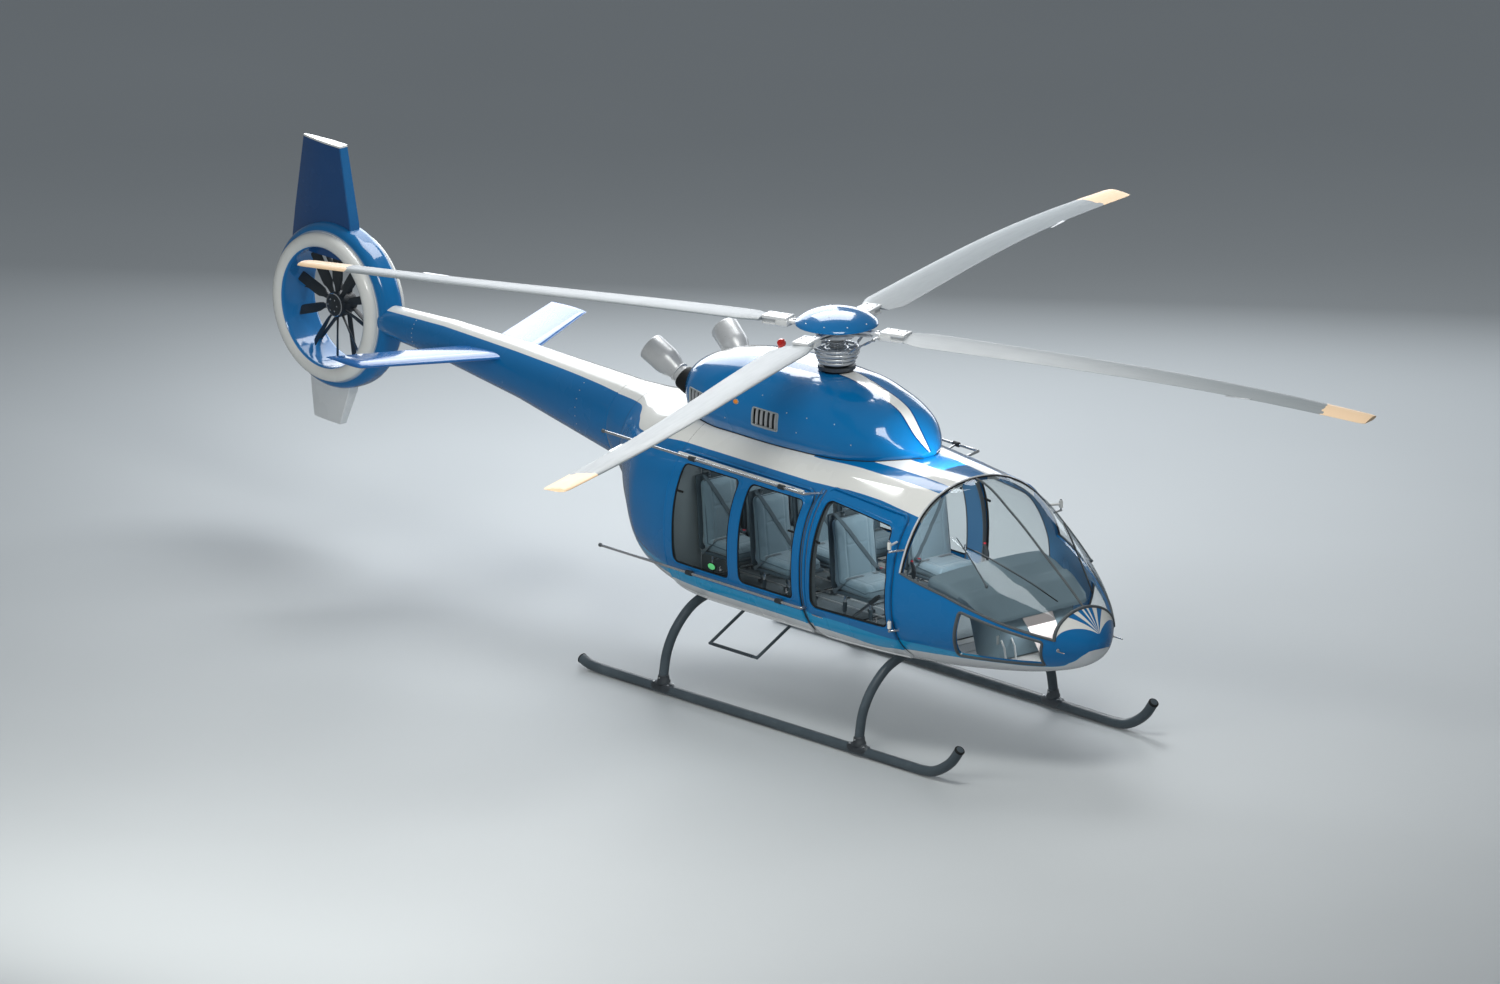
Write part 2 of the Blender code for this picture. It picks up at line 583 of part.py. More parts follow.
def make_upper_deck():
    """Engine cowl, the engines and gearbox under it, exhausts and beacon."""
    body = body_solid("body_volume", -2.45, NOSE_X, 2 * TOUCH)
    cowl = cowl_solid("engine_cowl", COWL_XS[0], COWL_XS[-1], 0.0, blue)
    boolean(cowl, "DIFFERENCE", cowl_solid("cowl_room", -1.58, 1.04, -0.025))
    boolean(cowl, "DIFFERENCE", body, cylinder("mast_hole", (0, 0, 2.6), (0, 0, 3.2), 0.135, None, 24))

    engines = box("engine_and_gearbox", (-1.20, -0.36, 2.20), (-0.36, 0.36, 2.64), dark_metal)
    gearbox = box("gearbox_block", (-0.50, -0.26, 2.20), (0.28, 0.26, 2.74))
    neck = cylinder("gearbox_neck", (0, 0, 2.70), (0, 0, 2.975), 0.110, None, 20)
    fixed_ring = cylinder("fixed_ring", (0, 0, 2.925), (0, 0, 2.955), 0.165, None, 24)
    boolean(engines, "UNION", gearbox, neck, fixed_ring)
    boolean(engines, "DIFFERENCE", body)

    for side, sign in sides():
        start = Vector((-1.50, 0.335 * sign, 2.515))
        end = Vector((-1.94, 0.425 * sign, 2.775))
        way = (end - start).to_track_quat("Z", "Y").to_matrix().to_4x4()
        length = (end - start).length
        flare = ((1.0, 0.0), (0.62, -0.004), (0.45, -0.030), (0.3, -0.045))
        profile = [(0.125 + less, length * share) for share, less in flare] + [(0.080, 0.02), (0.068, 0.02)]
        profile += [(0.113 + less, length * share) for share, less in reversed(flare)]
        turned("exhaust_" + side, profile, silver_metal, 16, Matrix.Translation(start) @ way)
        hole = cylinder("exhaust_hole_" + side, start - (end - start) * 0.3, end, 0.0805, None, 16)
        boolean(cowl, "DIFFERENCE", hole)

    beacon_x = -0.72
    top = smooth(COWL, beacon_x)[2]
    lamp = cylinder("beacon", (beacon_x, 0, top - 0.03), (beacon_x, 0, top + 0.045), 0.042, red, 16)
    shape = bmesh.new()
    bmesh.ops.create_uvsphere(shape, u_segments=12, v_segments=8, radius=0.045)
    bmesh.ops.translate(shape, vec=(beacon_x, 0, top + 0.075), verts=shape.verts)
    boolean(lamp, "UNION", from_bmesh("beacon_dome", shape))
    boolean(lamp, "DIFFERENCE", cowl_solid("cowl_volume", COWL_XS[0], COWL_XS[-1], TOUCH))


def blade_section(chord, thick, ahead):
    """An airfoil outline about its quarter chord, leading edge towards +y."""
    upper = [(1.0, 0.0), (0.75, 0.32), (0.50, 0.52), (0.30, 0.58), (0.12, 0.45), (0.02, 0.20)]
    lower = [(0.0, 0.0), (0.02, -0.16), (0.12, -0.32), (0.30, -0.42), (0.60, -0.32)]
    spots = [((0.42 - along) * chord + ahead, up * thick) for along, up in upper + lower]
    rise = math.sin(BLADE_PITCH)
    return [(y, z + y * rise) for y, z in spots]


def make_rotor():
    """Mast, hub with its four grips, cap and blades, turning about the mast axis."""
    hub = cylinder("rotor_hub", (0, 0, 3.205), (0, 0, 3.315), 0.170, silver_metal, 24)
    boolean(
        hub, "UNION",
        cylinder("rotor_mast", (0, 0, 2.9754), (0, 0, 3.25), MAST_RADIUS, None, 20),
        cylinder("swash_ring", (0, 0, 2.990), (0, 0, 3.025), 0.185, None, 24),
        cylinder("drive_ring", (0, 0, 3.075), (0, 0, 3.105), 0.170, None, 24),
    )
    for k in range(4):
        turn = Matrix.Rotation(BLADE_TURN + k * math.pi / 2, 4, "Z")
        arm = box("hub_arm_%d" % k, (0.10, -0.045, HUB_Z - 0.028), (0.48, 0.045, HUB_Z + 0.024))
        grip = box("grip_%d" % k, (0.43, -0.085, HUB_Z - 0.040), (BLADE_ROOT - TOUCH, 0.085, HUB_Z + 0.040))
        horn = box("horn_%d" % k, (0.40, -0.150, HUB_Z - 0.030), (0.46, -0.080, HUB_Z + 0.005))
        link = tube("pitch_link_%d" % k, [(0.43, -0.140, HUB_Z - 0.02), (0.135, -0.100, 3.095)], 0.010, None, 1)
        for piece in (arm, grip, horn, link):
            piece.matrix_local = turn
            boolean(hub, "UNION", piece)

    dome = [(0.0, 3.460), (0.12, 3.450), (0.24, 3.415), (0.33, 3.365), (CAP_RADIUS, 3.325)]
    turned("rotor_cap", [*dome, (CAP_RADIUS, 3.3153), (0.0, 3.3153)], blue, 28)

    names = ("front", "left", "rear", "right")
    for k, name in enumerate(names):
        rings = []
        for share in (0.0, 0.03, 0.06, 0.15, 0.25, 0.35, 0.45, 0.55, 0.65, 0.75, 0.84, 0.92, 1.0):
            reach = BLADE_ROOT + (ROTOR_RADIUS - BLADE_ROOT) * share
            chord = BLADE_CHORDS[0] + (BLADE_CHORDS[1] - BLADE_CHORDS[0]) * share
            chord *= 0.68 + 0.32 * min(1.0, share / 0.06)
            ahead = BLADE_BOW * math.sin(math.pi * share**1.4) + 0.02 * (1.0 - share)
            height = HUB_Z - TIP_DROOP * share**1.6
            rings.append([(reach, y, height + z) for y, z in blade_section(chord, 0.034, ahead)])
        blade = loft("rotor_blade_" + name, rings, pale_grey)
        blade.matrix_local = Matrix.Rotation(BLADE_TURN + k * math.pi / 2, 4, "Z")


def make_tail():
    """Boom, stabilisers, shroud with its stator, fan and fins."""
    count = 16
    rings = []
    for x, radius, middle in BOOM:
        rings.append([
            (x, radius * math.sin(2 * math.pi * k / count), middle + radius * math.cos(2 * math.pi * k / count))
            for k in range(count)
        ])
    boom = loft("tail_boom", rings, white)

    across = Matrix.Translation((FAN_X, 0, FAN_Z)) @ Matrix.Rotation(math.pi / 2, 4, "X")
    shroud = turned("tail_shroud", shroud_profile(0.0), blue, 32, across)
    volume = turned("shroud_volume", [(0, LIP_Y), *shroud_profile(TOUCH)[1:-1], (0, -LIP_Y)], None, 32, across)
    boolean(boom, "DIFFERENCE", volume)

    hub = cylinder("fan_stator_hub", (FAN_X, 0.045, FAN_Z), (FAN_X, 0.16, FAN_Z), 0.095, None, 20)
    boolean(shroud, "UNION", hub)
    for k in range(7):
        turn = Matrix.Translation((FAN_X, 0, FAN_Z)) @ Matrix.Rotation(2 * math.pi * (k + 0.3) / 7, 4, "Y")
        vane = box("stator_vane_%d" % k, (-0.012, 0.075, 0.07), (0.012, 0.130, DUCT_RADIUS + 0.02))
        vane.matrix_local = turn
        boolean(shroud, "UNION", vane)

    fan = cylinder("tail_fan", (FAN_X, -0.080, FAN_Z), (FAN_X, 0.0447, FAN_Z), 0.115, black, 24)
    for k in range(FAN_BLADES):
        spin = Matrix.Rotation(2 * math.pi * k / FAN_BLADES, 4, "Y")
        place = Matrix.Translation((FAN_X, 0, FAN_Z)) @ spin @ Matrix.Rotation(math.radians(35), 4, "Z")
        paddle = box("fan_blade_%d" % k, (-0.045, -0.006, 0.09), (0.045, 0.006, FAN_RADIUS - 0.012))
        paddle.matrix_local = Matrix.Translation((0, -0.015, 0)) @ place
        boolean(fan, "UNION", paddle)

    fin_rows = ((2.50, -7.08, -6.24, 0.062), (2.84, -7.035, -6.275, 0.058), (3.52, -6.925, -6.42, 0.048))
    low_rows = ((1.02, -6.79, -6.42, 0.040), (1.34, -6.83, -6.29, 0.055), (1.55, -6.85, -6.25, 0.060))
    upper_fin = loft("upper_fin", [fin_ring(*row) for row in fin_rows])
    ventral_fin = loft("ventral_fin", [fin_ring(*row) for row in low_rows])
    boolean(shroud, "UNION", upper_fin, ventral_fin)
    duct = cylinder("duct", (FAN_X, -0.11, FAN_Z), (FAN_X, 0.03, FAN_Z), DUCT_RADIUS, None, 32)
    boolean(shroud, "DIFFERENCE", duct)

    loft("stabiliser", stabiliser_rings(0.0), blue)
    boolean(boom, "DIFFERENCE", loft("stabiliser_slot", stabiliser_rings(2 * TOUCH)))


def stabiliser_rings(outward):
    """Three sections across the machine: span, front edge, chord and thickness."""
    upper = ((-1.0, 0.06), (-0.45, 0.5), (-0.12, 0.5), (0.0, 0.3))
    outline = [(along, -up) for along, up in reversed(upper)] + list(upper)
    rings = []
    for y, front, chord, thick in STABILISER:
        long, high = chord + 2 * outward, thick + 2 * outward
        rings.append([(front + outward + along * long, y, 2.140 + up * high) for along, up in outline])
    return rings


def shroud_profile(outward):
    """Radius and height round the shroud: its duct, the round lip, the barrel outside, and the other lip."""
    profile = [(DUCT_RADIUS, 0.09)]
    for degrees in (180, 130, 80, 30, -20):
        angle = math.radians(degrees)
        tube_radius = LIP_TUBE + outward
        profile.append((LIP_RADIUS + tube_radius * math.cos(angle), LIP_Y + tube_radius * math.sin(angle)))
    profile += [(SHROUD_RADIUS - 0.035 + outward, 0.115), (SHROUD_RADIUS + outward, 0.06)]
    return profile + [(radius, -height) for radius, height in reversed(profile)]


def fin_ring(height, back, front, half):
    """A flat-sided upright section with a blunt front edge."""
    port = [(front, half * 0.75), (front - 0.035, half), (back + 0.25, half), (back, half * 0.3)]
    return [(x, y, height) for x, y in port] + [(x, -y, height) for x, y in reversed(port)]


def skid_path(sign):
    back = [(-2.05, 0.085), (-1.95, 0.055), (-1.80, SKID_RADIUS)]
    front = [(2.36, SKID_RADIUS), (2.50, 0.062), (2.63, 0.115), (2.76, 0.205), (2.86, 0.325)]
    return [(x, SKID_Y * sign, z) for x, z in back + front]


def cross_path(x):
    half = [(0.0, 0.828), (0.35, 0.825), (0.60, 0.798), (0.80, 0.720), (0.97, 0.560), (1.07, 0.380)]
    half += [(SKID_Y - 0.005, 0.200), (SKID_Y, 0.11)]
    return smooth_path([(x, -y, z) for y, z in reversed(half)] + [(x, y, z) for y, z in half[1:]])


def make_skids():
    """Skid tubes, the curved cross tubes with their shoes, and the steps."""
    for side, sign in sides():
        tube("skid_" + side, skid_path(sign), SKID_RADIUS, black, 3)
    for place, x in CROSS_XS.items():
        cross = tube("cross_tube_" + place, cross_path(x), CROSS_RADIUS, black, 3)
        for side, sign in sides():
            low, high = sorted((sign * (SKID_Y - 0.062), sign * (SKID_Y + 0.062)))
            shoe = box("shoe_%s_%s" % (place, side), (x - 0.13, low, 0.045), (x + 0.13, high, 0.125))
            start, end = ((x + reach, sign * SKID_Y, SKID_RADIUS) for reach in (-0.3, 0.3))
            hug = cylinder("shoe_cut_%s_%s" % (place, side), start, end, SKID_RADIUS + 0.0008, None, 24)
            boolean(cross, "UNION", shoe)
            boolean(cross, "DIFFERENCE", hug)
    for side, sign in sides():
        spots = []
        for x, up in ((-0.614, True), (-0.614, False), (-0.003, False), (-0.003, True)):
            spots.append((x, sign * 0.42, 0.772) if up else (x, sign * 0.914, 0.495))
        step = tube("step_" + side, spots, 0.014, black, 1)
        boolean(step, "DIFFERENCE", belly_volume)


for old in list(bpy.data.objects):
    bpy.data.objects.remove(old, do_unlink=True)

parts = bpy.data.collections.new("helicopter")
cutters = bpy.data.collections.new("cutters")
bpy.context.scene.collection.children.link(parts)
bpy.context.scene.collection.children.link(cutters)
datum = bpy.data.objects.new("mast_datum", None)
datum.location = (MAST_X, 0.0, 0.0)
parts.objects.link(datum)

blue = material("blue_paint", (0.010, 0.115, 0.330), 0.18)
white = material("white_paint", (0.80, 0.81, 0.83), 0.25)
pale_grey = material("pale_grey_paint", (0.60, 0.60, 0.58), 0.40)
silver = material("silver_paint", (0.45, 0.47, 0.50), 0.30, 0.4)
silver_metal = material("polished_metal", (0.70, 0.71, 0.72), 0.22, 1.0)
dark_metal = material("cast_metal", (0.12, 0.12, 0.13), 0.50, 1.0)
dark_grey = material("grey_cloth", (0.16, 0.18, 0.19), 0.80)
black = material("black_paint", (0.015, 0.017, 0.018), 0.45)
red = material("red_lens", (0.80, 0.06, 0.03), 0.20)
glass = material("tinted_glass", (0.30, 0.38, 0.42), 0.05, 0.0, 0.35)

cross_tube_holes = []
for place, x in CROSS_XS.items():
    cross_tube_holes.append(tube("cross_hole_" + place, cross_path(x), CROSS_RADIUS + 2 * TOUCH, None, 3))
belly_volume = body_solid("belly_volume", REAR_X, PILLAR_X, TOUCH)

make_fuselage()
make_cabin()
make_doors()
make_upper_deck()
make_rotor()
make_tail()
make_skids()
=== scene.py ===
import math

import bmesh
import bpy
import numpy as np
from mathutils import Matrix, Vector
from mathutils.bvhtree import BVHTree
from mathutils.geometry import delaunay_2d_cdt


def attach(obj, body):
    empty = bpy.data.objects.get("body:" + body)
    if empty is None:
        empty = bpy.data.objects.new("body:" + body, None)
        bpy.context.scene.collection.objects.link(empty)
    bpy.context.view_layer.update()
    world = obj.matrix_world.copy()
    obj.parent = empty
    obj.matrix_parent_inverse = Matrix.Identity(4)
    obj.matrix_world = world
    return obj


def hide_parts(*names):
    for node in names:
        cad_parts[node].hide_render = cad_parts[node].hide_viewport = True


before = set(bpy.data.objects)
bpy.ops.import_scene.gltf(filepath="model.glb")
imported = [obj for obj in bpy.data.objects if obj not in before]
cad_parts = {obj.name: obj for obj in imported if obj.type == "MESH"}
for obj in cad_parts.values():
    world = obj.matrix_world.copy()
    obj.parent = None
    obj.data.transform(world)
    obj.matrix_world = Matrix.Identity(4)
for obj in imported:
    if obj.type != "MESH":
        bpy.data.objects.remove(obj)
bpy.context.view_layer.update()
mastX = 1.150  # the pieces are laid out from the mast, as in the CAD: x = 0 is its axis, z = 0 the ground
view = {"turn": 48.58, "rise": 16.2, "width": 12.917, "aimZ": 3.16, "right": 0.7475, "up": 1.2986, "back": 40}


def setView():
    camera = bpy.data.objects.new("camera", bpy.data.cameras.new("camera"))
    bpy.context.scene.collection.objects.link(camera)
    bpy.context.scene.camera = camera
    camera.data.type = "ORTHO"
    camera.data.ortho_scale = view["width"]  # metres across the picture
    camera.data.clip_end = 200
    turn, rise = math.radians(view["turn"]), math.radians(view["rise"])
    right = Vector((math.cos(turn), math.sin(turn), 0))
    up = Vector((-math.sin(turn) * math.sin(rise), math.cos(turn) * math.sin(rise), math.cos(rise)))
    back = right.cross(up)
    spot = Vector((mastX, 0, view["aimZ"])) - right * view["right"] - up * view["up"] + back * view["back"]
    camera.matrix_world = Matrix.Translation(spot) @ Matrix((right, up, back)).transposed().to_4x4()
    bpy.context.scene.view_settings.view_transform = "Standard"


def linear(hexText):
    # sRGB hex to Blender's linear colour
    parts = [int(hexText[i:i + 2], 16) / 255 for i in (1, 3, 5)]
    return (*(c / 12.92 if c < 0.04045 else ((c + 0.055) / 1.055) ** 2.4 for c in parts), 1.0)


def addNode(tree, kind, settings=None, inputs=None):
    # a node with its settings; an input is a value, or the node or socket that feeds it
    node = tree.nodes.new("ShaderNode" + kind)
    for name, value in (settings or {}).items():
        setattr(node, name, value)
    for name, value in (inputs or {}).items():
        if isinstance(name, str):
            socket = next(s for s in node.inputs if s.name == name and s.enabled)
        else:
            socket = node.inputs[name]
        if isinstance(value, bpy.types.Node):
            value = next(s for s in value.outputs if s.enabled)
        if isinstance(value, bpy.types.NodeSocket):
            tree.links.new(value, socket)
        else:
            socket.default_value = value
    return node


def startMaterial(name, **finish):
    # a Principled material; the finish values go straight on the shader's sockets
    material = bpy.data.materials.new(name)
    material.use_nodes = True
    tree = material.node_tree
    shader = tree.nodes["Principled BSDF"]
    for socket, value in finish.items():
        label = socket.replace("_", " ")
        shader.inputs[label].default_value = linear(value) if isinstance(value, str) else value
    return material, tree, shader


def joinSockets(tree, *links):
    for source, target in links:
        if isinstance(source, bpy.types.Node):
            source = next(s for s in source.outputs if s.enabled)
        tree.links.new(source, target)


def setStudio():
    shape = bmesh.new()
    bmesh.ops.create_grid(shape, x_segments=2, y_segments=2, size=60)  # half its width in metres
    mesh = bpy.data.meshes.new("floor")
    shape.to_mesh(mesh)
    shape.free()
    floor = bpy.data.objects.new("floor", mesh)
    bpy.context.scene.collection.objects.link(floor)
    material, tree, shader = startMaterial("paleStudioFloor", Roughness=0.55, Specular_IOR_Level=0.2)
    place = addNode(tree, "TexCoord")
    cloud = addNode(tree, "TexNoise", None, {"Vector": place.outputs["Object"], "Scale": 0.25, "Detail": 2.0})
    tone = addNode(tree, "ValToRGB", None, {"Fac": cloud})
    tone.color_ramp.elements[0].color = linear("#bfc5c8")
    tone.color_ramp.elements[1].color = linear("#c8ced1")
    joinSockets(tree, (tone, shader.inputs["Base Color"]))
    mesh.materials.append(material)
    floor.visible_glossy = False  # polished sides would show a floor without end; the world stands in for it

    world = bpy.data.worlds.new("studio")
    bpy.context.scene.world = world
    world.use_nodes = True
    tree = world.node_tree
    place = addNode(tree, "TexCoord")
    height = addNode(tree, "SeparateXYZ", None, {"Vector": place.outputs["Generated"]})
    sky = addNode(tree, "ValToRGB", None, {"Fac": height.outputs["Z"]})
    ramp = sky.color_ramp
    ramp.elements[0].position = 0.0
    ramp.elements[0].color = linear("#c3c9cd")
    ramp.elements[1].position = 1.0
    ramp.elements[1].color = linear("#e3e8ee")
    ramp.elements.new(0.25).color = linear("#a9b2ba")
    background = tree.nodes["Background"]
    background.inputs["Strength"].default_value = 0.32
    joinSockets(tree, (sky, background.inputs["Color"]))

    lights = {
        # name: place, aimed at, size, power, colour; the overhead one hangs high behind the port side
        "overhead": ((-5.0, 3.9, 9.5), (0, 0, 2.2), (5.0, 4.5), 520, "#ffffff"),
        "frontRight": ((5.3, -3.6, 10.6), (0.6, 0, 2.2), (4.2, 3.2), 470, "#fffdf8"),
        "behind": ((-8.3, 4.3, 6.6), (-0.6, 0, 2.7), (4.8, 4.4), 230, "#f8fbff"),
        "horizon": ((-8.2, 8.6, 4.2), (-0.5, 0, 2.9), (14, 3.2), 370, "#f8fbff"),
        "starboard": ((2.0, -11.5, 4.8), (0, 0, 1.6), (9, 3.0), 560, "#fffdf8"),
        "cabinCeiling": ((0.25, 0, 2.25), (0.25, 0, 0), (2.4, 1.2), 18, "#ffffff"),
        "cabinFront": ((1.6, 0, 2.15), (-0.5, 0, 1.4), (0.5, 1.2), 16, "#ffffff"),
        "cabinNose": ((2.74, 0, 1.21), (2.74, 0, 0.9), (0.22, 0.6), 1.6, "#ffffff"),
    }
    for name, (spot, aim, extent, power, colour) in lights.items():
        lamp = bpy.data.lights.new(name, "AREA")
        lamp.shape = "RECTANGLE"
        lamp.size, lamp.size_y = extent
        lamp.energy = power
        lamp.color = linear(colour)[:3]
        holder = bpy.data.objects.new(name, lamp)
        bpy.context.scene.collection.objects.link(holder)
        holder.location = Vector(spot) + Vector((mastX, 0, 0))
        holder.rotation_mode = "QUATERNION"
        holder.rotation_quaternion = (Vector(aim) - Vector(spot)).to_track_quat("-Z", "Y")
        if name.startswith("cabin"):
            holder.visible_camera = False
        if name.startswith(("cabin", "starboard")):
            holder.visible_glossy = False


setView()
setStudio()
print("camera, floor and lights are set")

# the body's curves, the same rows as in the CAD: x, half width, widest at, top, bottom, power above, below
hullRows = (
    (-2.60, 0.356, 1.8825, 2.2385, 1.5265, 2.0, 2.0), (-2.30, 0.470, 1.78, 2.25, 1.25, 2.0, 2.1),
    (-2.00, 0.690, 1.66, 2.28, 0.98, 2.1, 2.2), (-1.60, 0.925, 1.53, 2.33, 0.765, 2.2, 2.4),
    (-1.12, 0.995, 1.44, 2.385, 0.70, 2.3, 2.6), (-0.65, 1.005, 1.42, 2.40, 0.68, 2.3, 2.7),
    (0.70, 1.005, 1.42, 2.40, 0.68, 2.3, 2.7), (1.30, 0.985, 1.42, 2.38, 0.69, 2.15, 2.6),
    (1.89, 0.940, 1.40, 2.315, 0.72, 2.1, 2.4), (2.30, 0.840, 1.36, 2.11, 0.76, 2.05, 2.3),
    (2.75, 0.660, 1.31, 1.81, 0.82, 2.0, 2.2), (3.10, 0.440, 1.26, 1.565, 0.90, 2.0, 2.1),
    (3.30, 0.265, 1.22, 1.405, 0.985, 2.0, 2.0), (3.41, 0.130, 1.19, 1.285, 1.075, 2.0, 2.0),
    (3.445, 0.050, 1.18, 1.215, 1.135, 2.0, 2.0),
)
cowlRows = (
    (-1.62, 0.20, 2.52, 2.64, 2.30, 2.0, 2.0), (-1.52, 0.40, 2.50, 2.74, 2.15, 2.2, 2.2),
    (-1.30, 0.53, 2.48, 2.82, 2.10, 2.3, 2.2), (-0.90, 0.60, 2.46, 2.885, 2.10, 2.3, 2.2),
    (-0.40, 0.60, 2.46, 2.915, 2.10, 2.3, 2.2), (0.15, 0.57, 2.46, 2.905, 2.10, 2.3, 2.2),
    (0.55, 0.52, 2.45, 2.84, 2.12, 2.2, 2.2), (0.86, 0.42, 2.44, 2.745, 2.18, 2.1, 2.1),
    (1.08, 0.25, 2.42, 2.54, 2.30, 2.0, 2.0), (1.20, 0.09, 2.41, 2.44, 2.375, 2.0, 2.0),
)


def fineRows(rows, count=3000):
    # smooth curves through the rows that never overshoot them
    xs = np.array([row[0] for row in rows])
    fine = np.linspace(xs[0], xs[-1], count)
    i = np.clip(np.searchsorted(xs, fine, side="right") - 1, 0, len(xs) - 2)
    width = xs[i + 1] - xs[i]
    t = (fine - xs[i]) / width
    columns = []
    for ys in np.array(rows).T[1:]:
        rise = np.diff(ys) / np.diff(xs)
        inner = [0.0 if a * b <= 0 else 2 * a * b / (a + b) for a, b in zip(rise, rise[1:])]
        slope = np.array([rise[0], *inner, rise[-1]])
        columns.append(
            (2 * t**3 - 3 * t**2 + 1) * ys[i] + (t**3 - 2 * t**2 + t) * width * slope[i]
            + (3 * t**2 - 2 * t**3) * ys[i + 1] + (t**3 - t**2) * width * slope[i + 1]
        )
    return fine, columns


hull, cowl = fineRows(hullRows), fineRows(cowlRows)


def rowsAt(table, x):
    return [np.interp(x, table[0], column) for column in table[1]]


def ringPoint(table, x, turn, out=0.0):
    # turn is 0 at the top and runs by the port side
    x, turn = np.broadcast_arrays(np.asarray(x, float), np.asarray(turn, float))
    half, middle, top, bottom, powTop, powLow = rowsAt(table, x)
    side, rise = np.sin(turn), np.cos(turn)
    power = np.where(rise >= 0, powTop, powLow)
    height = np.where(rise >= 0, top - middle, middle - bottom) + out
    y = np.sign(side) * (half + out) * np.abs(side) ** (2 / power)
    z = middle + np.sign(rise) * height * np.abs(rise) ** (2 / power)
    return np.stack([x, y, z], -1)


def sidePoint(table, x, z, sign, out=0.0):
    x, z = np.broadcast_arrays(np.asarray(x, float), np.asarray(z, float))
    half, middle, top, bottom, powTop, powLow = rowsAt(table, x)
    power = np.where(z >= middle, powTop, powLow)
    height = np.where(z >= middle, top - middle, middle - bottom) + out
    share = np.clip(np.abs(z - middle) / height, 0, 1)
    return np.stack([x, sign * (half + out) * (1 - share**power) ** (1 / power), z], -1)


def turnAt(table, x, y, z):
    half, middle, top, bottom, powTop, powLow = rowsAt(table, x)
    power = np.where(z >= middle, powTop, powLow)
    height = np.where(z >= middle, top - middle, middle - bottom)
    side = np.sign(y) * np.abs(y / half) ** (power / 2)
    rise = np.sign(z - middle) * np.abs((z - middle) / height) ** (power / 2)
    return np.arctan2(side, rise)


def fullness(table, x, y, z):
    # 1 on the surface, less inside
    half, middle, top, bottom, powTop, powLow = rowsAt(table, x)
    power = np.where(z >= middle, powTop, powLow)
    height = np.where(z >= middle, top - middle, middle - bottom)
    return np.abs(y / half) ** power + np.abs((z - middle) / height) ** power


def outwardAt(table, points):
    x, y, z = np.asarray(points, float).reshape(-1, 3).T
    low, high, step = table[0][0], table[0][-1], 0.0005
    gy = (fullness(table, x, y + step, z) - fullness(table, x, y - step, z)) / (2 * step)
    gz = (fullness(table, x, y, z + step) - fullness(table, x, y, z - step)) / (2 * step)
    before, after = np.clip(x - 0.004, low, high), np.clip(x + 0.004, low, high)
    gx = (fullness(table, after, y, z) - fullness(table, before, y, z)) / np.maximum(after - before, 1e-6)
    normals = np.stack([gx, gy, gz], -1)
    return normals / np.maximum(np.linalg.norm(normals, axis=1), 1e-9)[:, None]


def ontoSurface(table, points):
    # points near the surface, drawn onto it through the section's middle
    x, y, z = np.asarray(points, float).reshape(-1, 3).T
    half, middle, top, bottom, powTop, powLow = rowsAt(table, x)
    power = np.where(z >= middle, powTop, powLow)
    scale = fullness(table, x, y, z) ** (-1 / power)
    return np.stack([x, y * scale, middle + (z - middle) * scale], -1)


def stamp(shape, part, slot=0, place=None):
    # adds a finished part to a piece's mesh; a slot of None keeps the faces' own
    if place is not None:
        part.transform(place)
    bmesh.ops.recalc_face_normals(part, faces=part.faces)
    for face in part.faces:
        if slot is not None:
            face.material_index = slot
        face.smooth = True
    spare = bpy.data.meshes.new("spare")
    part.to_mesh(spare)
    part.free()
    shape.from_mesh(spare)
    bpy.data.meshes.remove(spare)


def joinRings(part, ring, after):
    count = max(len(ring), len(after))
    if count == 1:
        return
    for i in range(count):
        k = (i + 1) % count
        if len(ring) == 1:
            corners = (ring[0], after[i], after[k])
        elif len(after) == 1:
            corners = (ring[i], ring[k], after[0])
        else:
            corners = (ring[i], ring[k], after[k], after[i])
        part.faces.new(corners)


def addLoft(shape, rings, slot=0, place=None, caps=True):
    part = bmesh.new()
    rows = [[part.verts.new(p) for p in ring] for ring in rings]
    for row, after in zip(rows, rows[1:]):
        joinRings(part, row, after)
    if caps:
        for row in (rows[0], rows[-1]):
            if len(row) > 2:
                part.faces.new(row)
    stamp(shape, part, slot, place)


def addLathe(shape, profile, place=None, steps=48, slot=0, loop=False):
    # profile of radius and height, spun about z; loop closes it on itself for a ring
    part = bmesh.new()
    rings = []
    for radius, height in profile:
        if radius < 1e-6:
            rings.append([part.verts.new((0, 0, height))])
            continue
        angles = [2 * math.pi * k / steps for k in range(steps)]
        rings.append([part.verts.new((radius * math.cos(a), radius * math.sin(a), height)) for a in angles])
    for ring, after in zip(rings, rings[1:] + rings[:1] if loop else rings[1:]):
        joinRings(part, ring, after)
    stamp(shape, part, slot, place)


def towards(start, end):
    # a place at the start with z pointing to the end
    start, end = Vector(start), Vector(end)
    return Matrix.Translation(start) @ (end - start).to_track_quat("Z", "Y").to_matrix().to_4x4()


def standOn(table, spot):
    # a place on the surface with z pointing out of it
    return towards(spot, Vector(spot) + Vector(outwardAt(table, [spot])[0]))


def fullTurn(count):
    # angles spread evenly round a circle
    return np.linspace(0, 2 * math.pi, count, endpoint=False)


def addRod(shape, start, end, radius, slot=0, steps=20, edge=None):
    # a turned pin with softened edges
    length = (Vector(end) - Vector(start)).length
    edge = min(radius, length / 2) * 0.25 if edge is None else edge
    profile = [(0, 0), (radius - edge, 0), (radius, edge)]
    profile += [(r, length - h) for r, h in reversed(profile)]
    addLathe(shape, profile, towards(start, end), steps, slot)


def addBall(shape, middle, radius, slot=0, scale=(1, 1, 1), steps=20):
    part = bmesh.new()
    bmesh.ops.create_uvsphere(part, u_segments=steps, v_segments=steps // 2, radius=radius)
    stamp(shape, part, slot, Matrix.Translation(middle) @ Matrix.Diagonal((*scale, 1)))


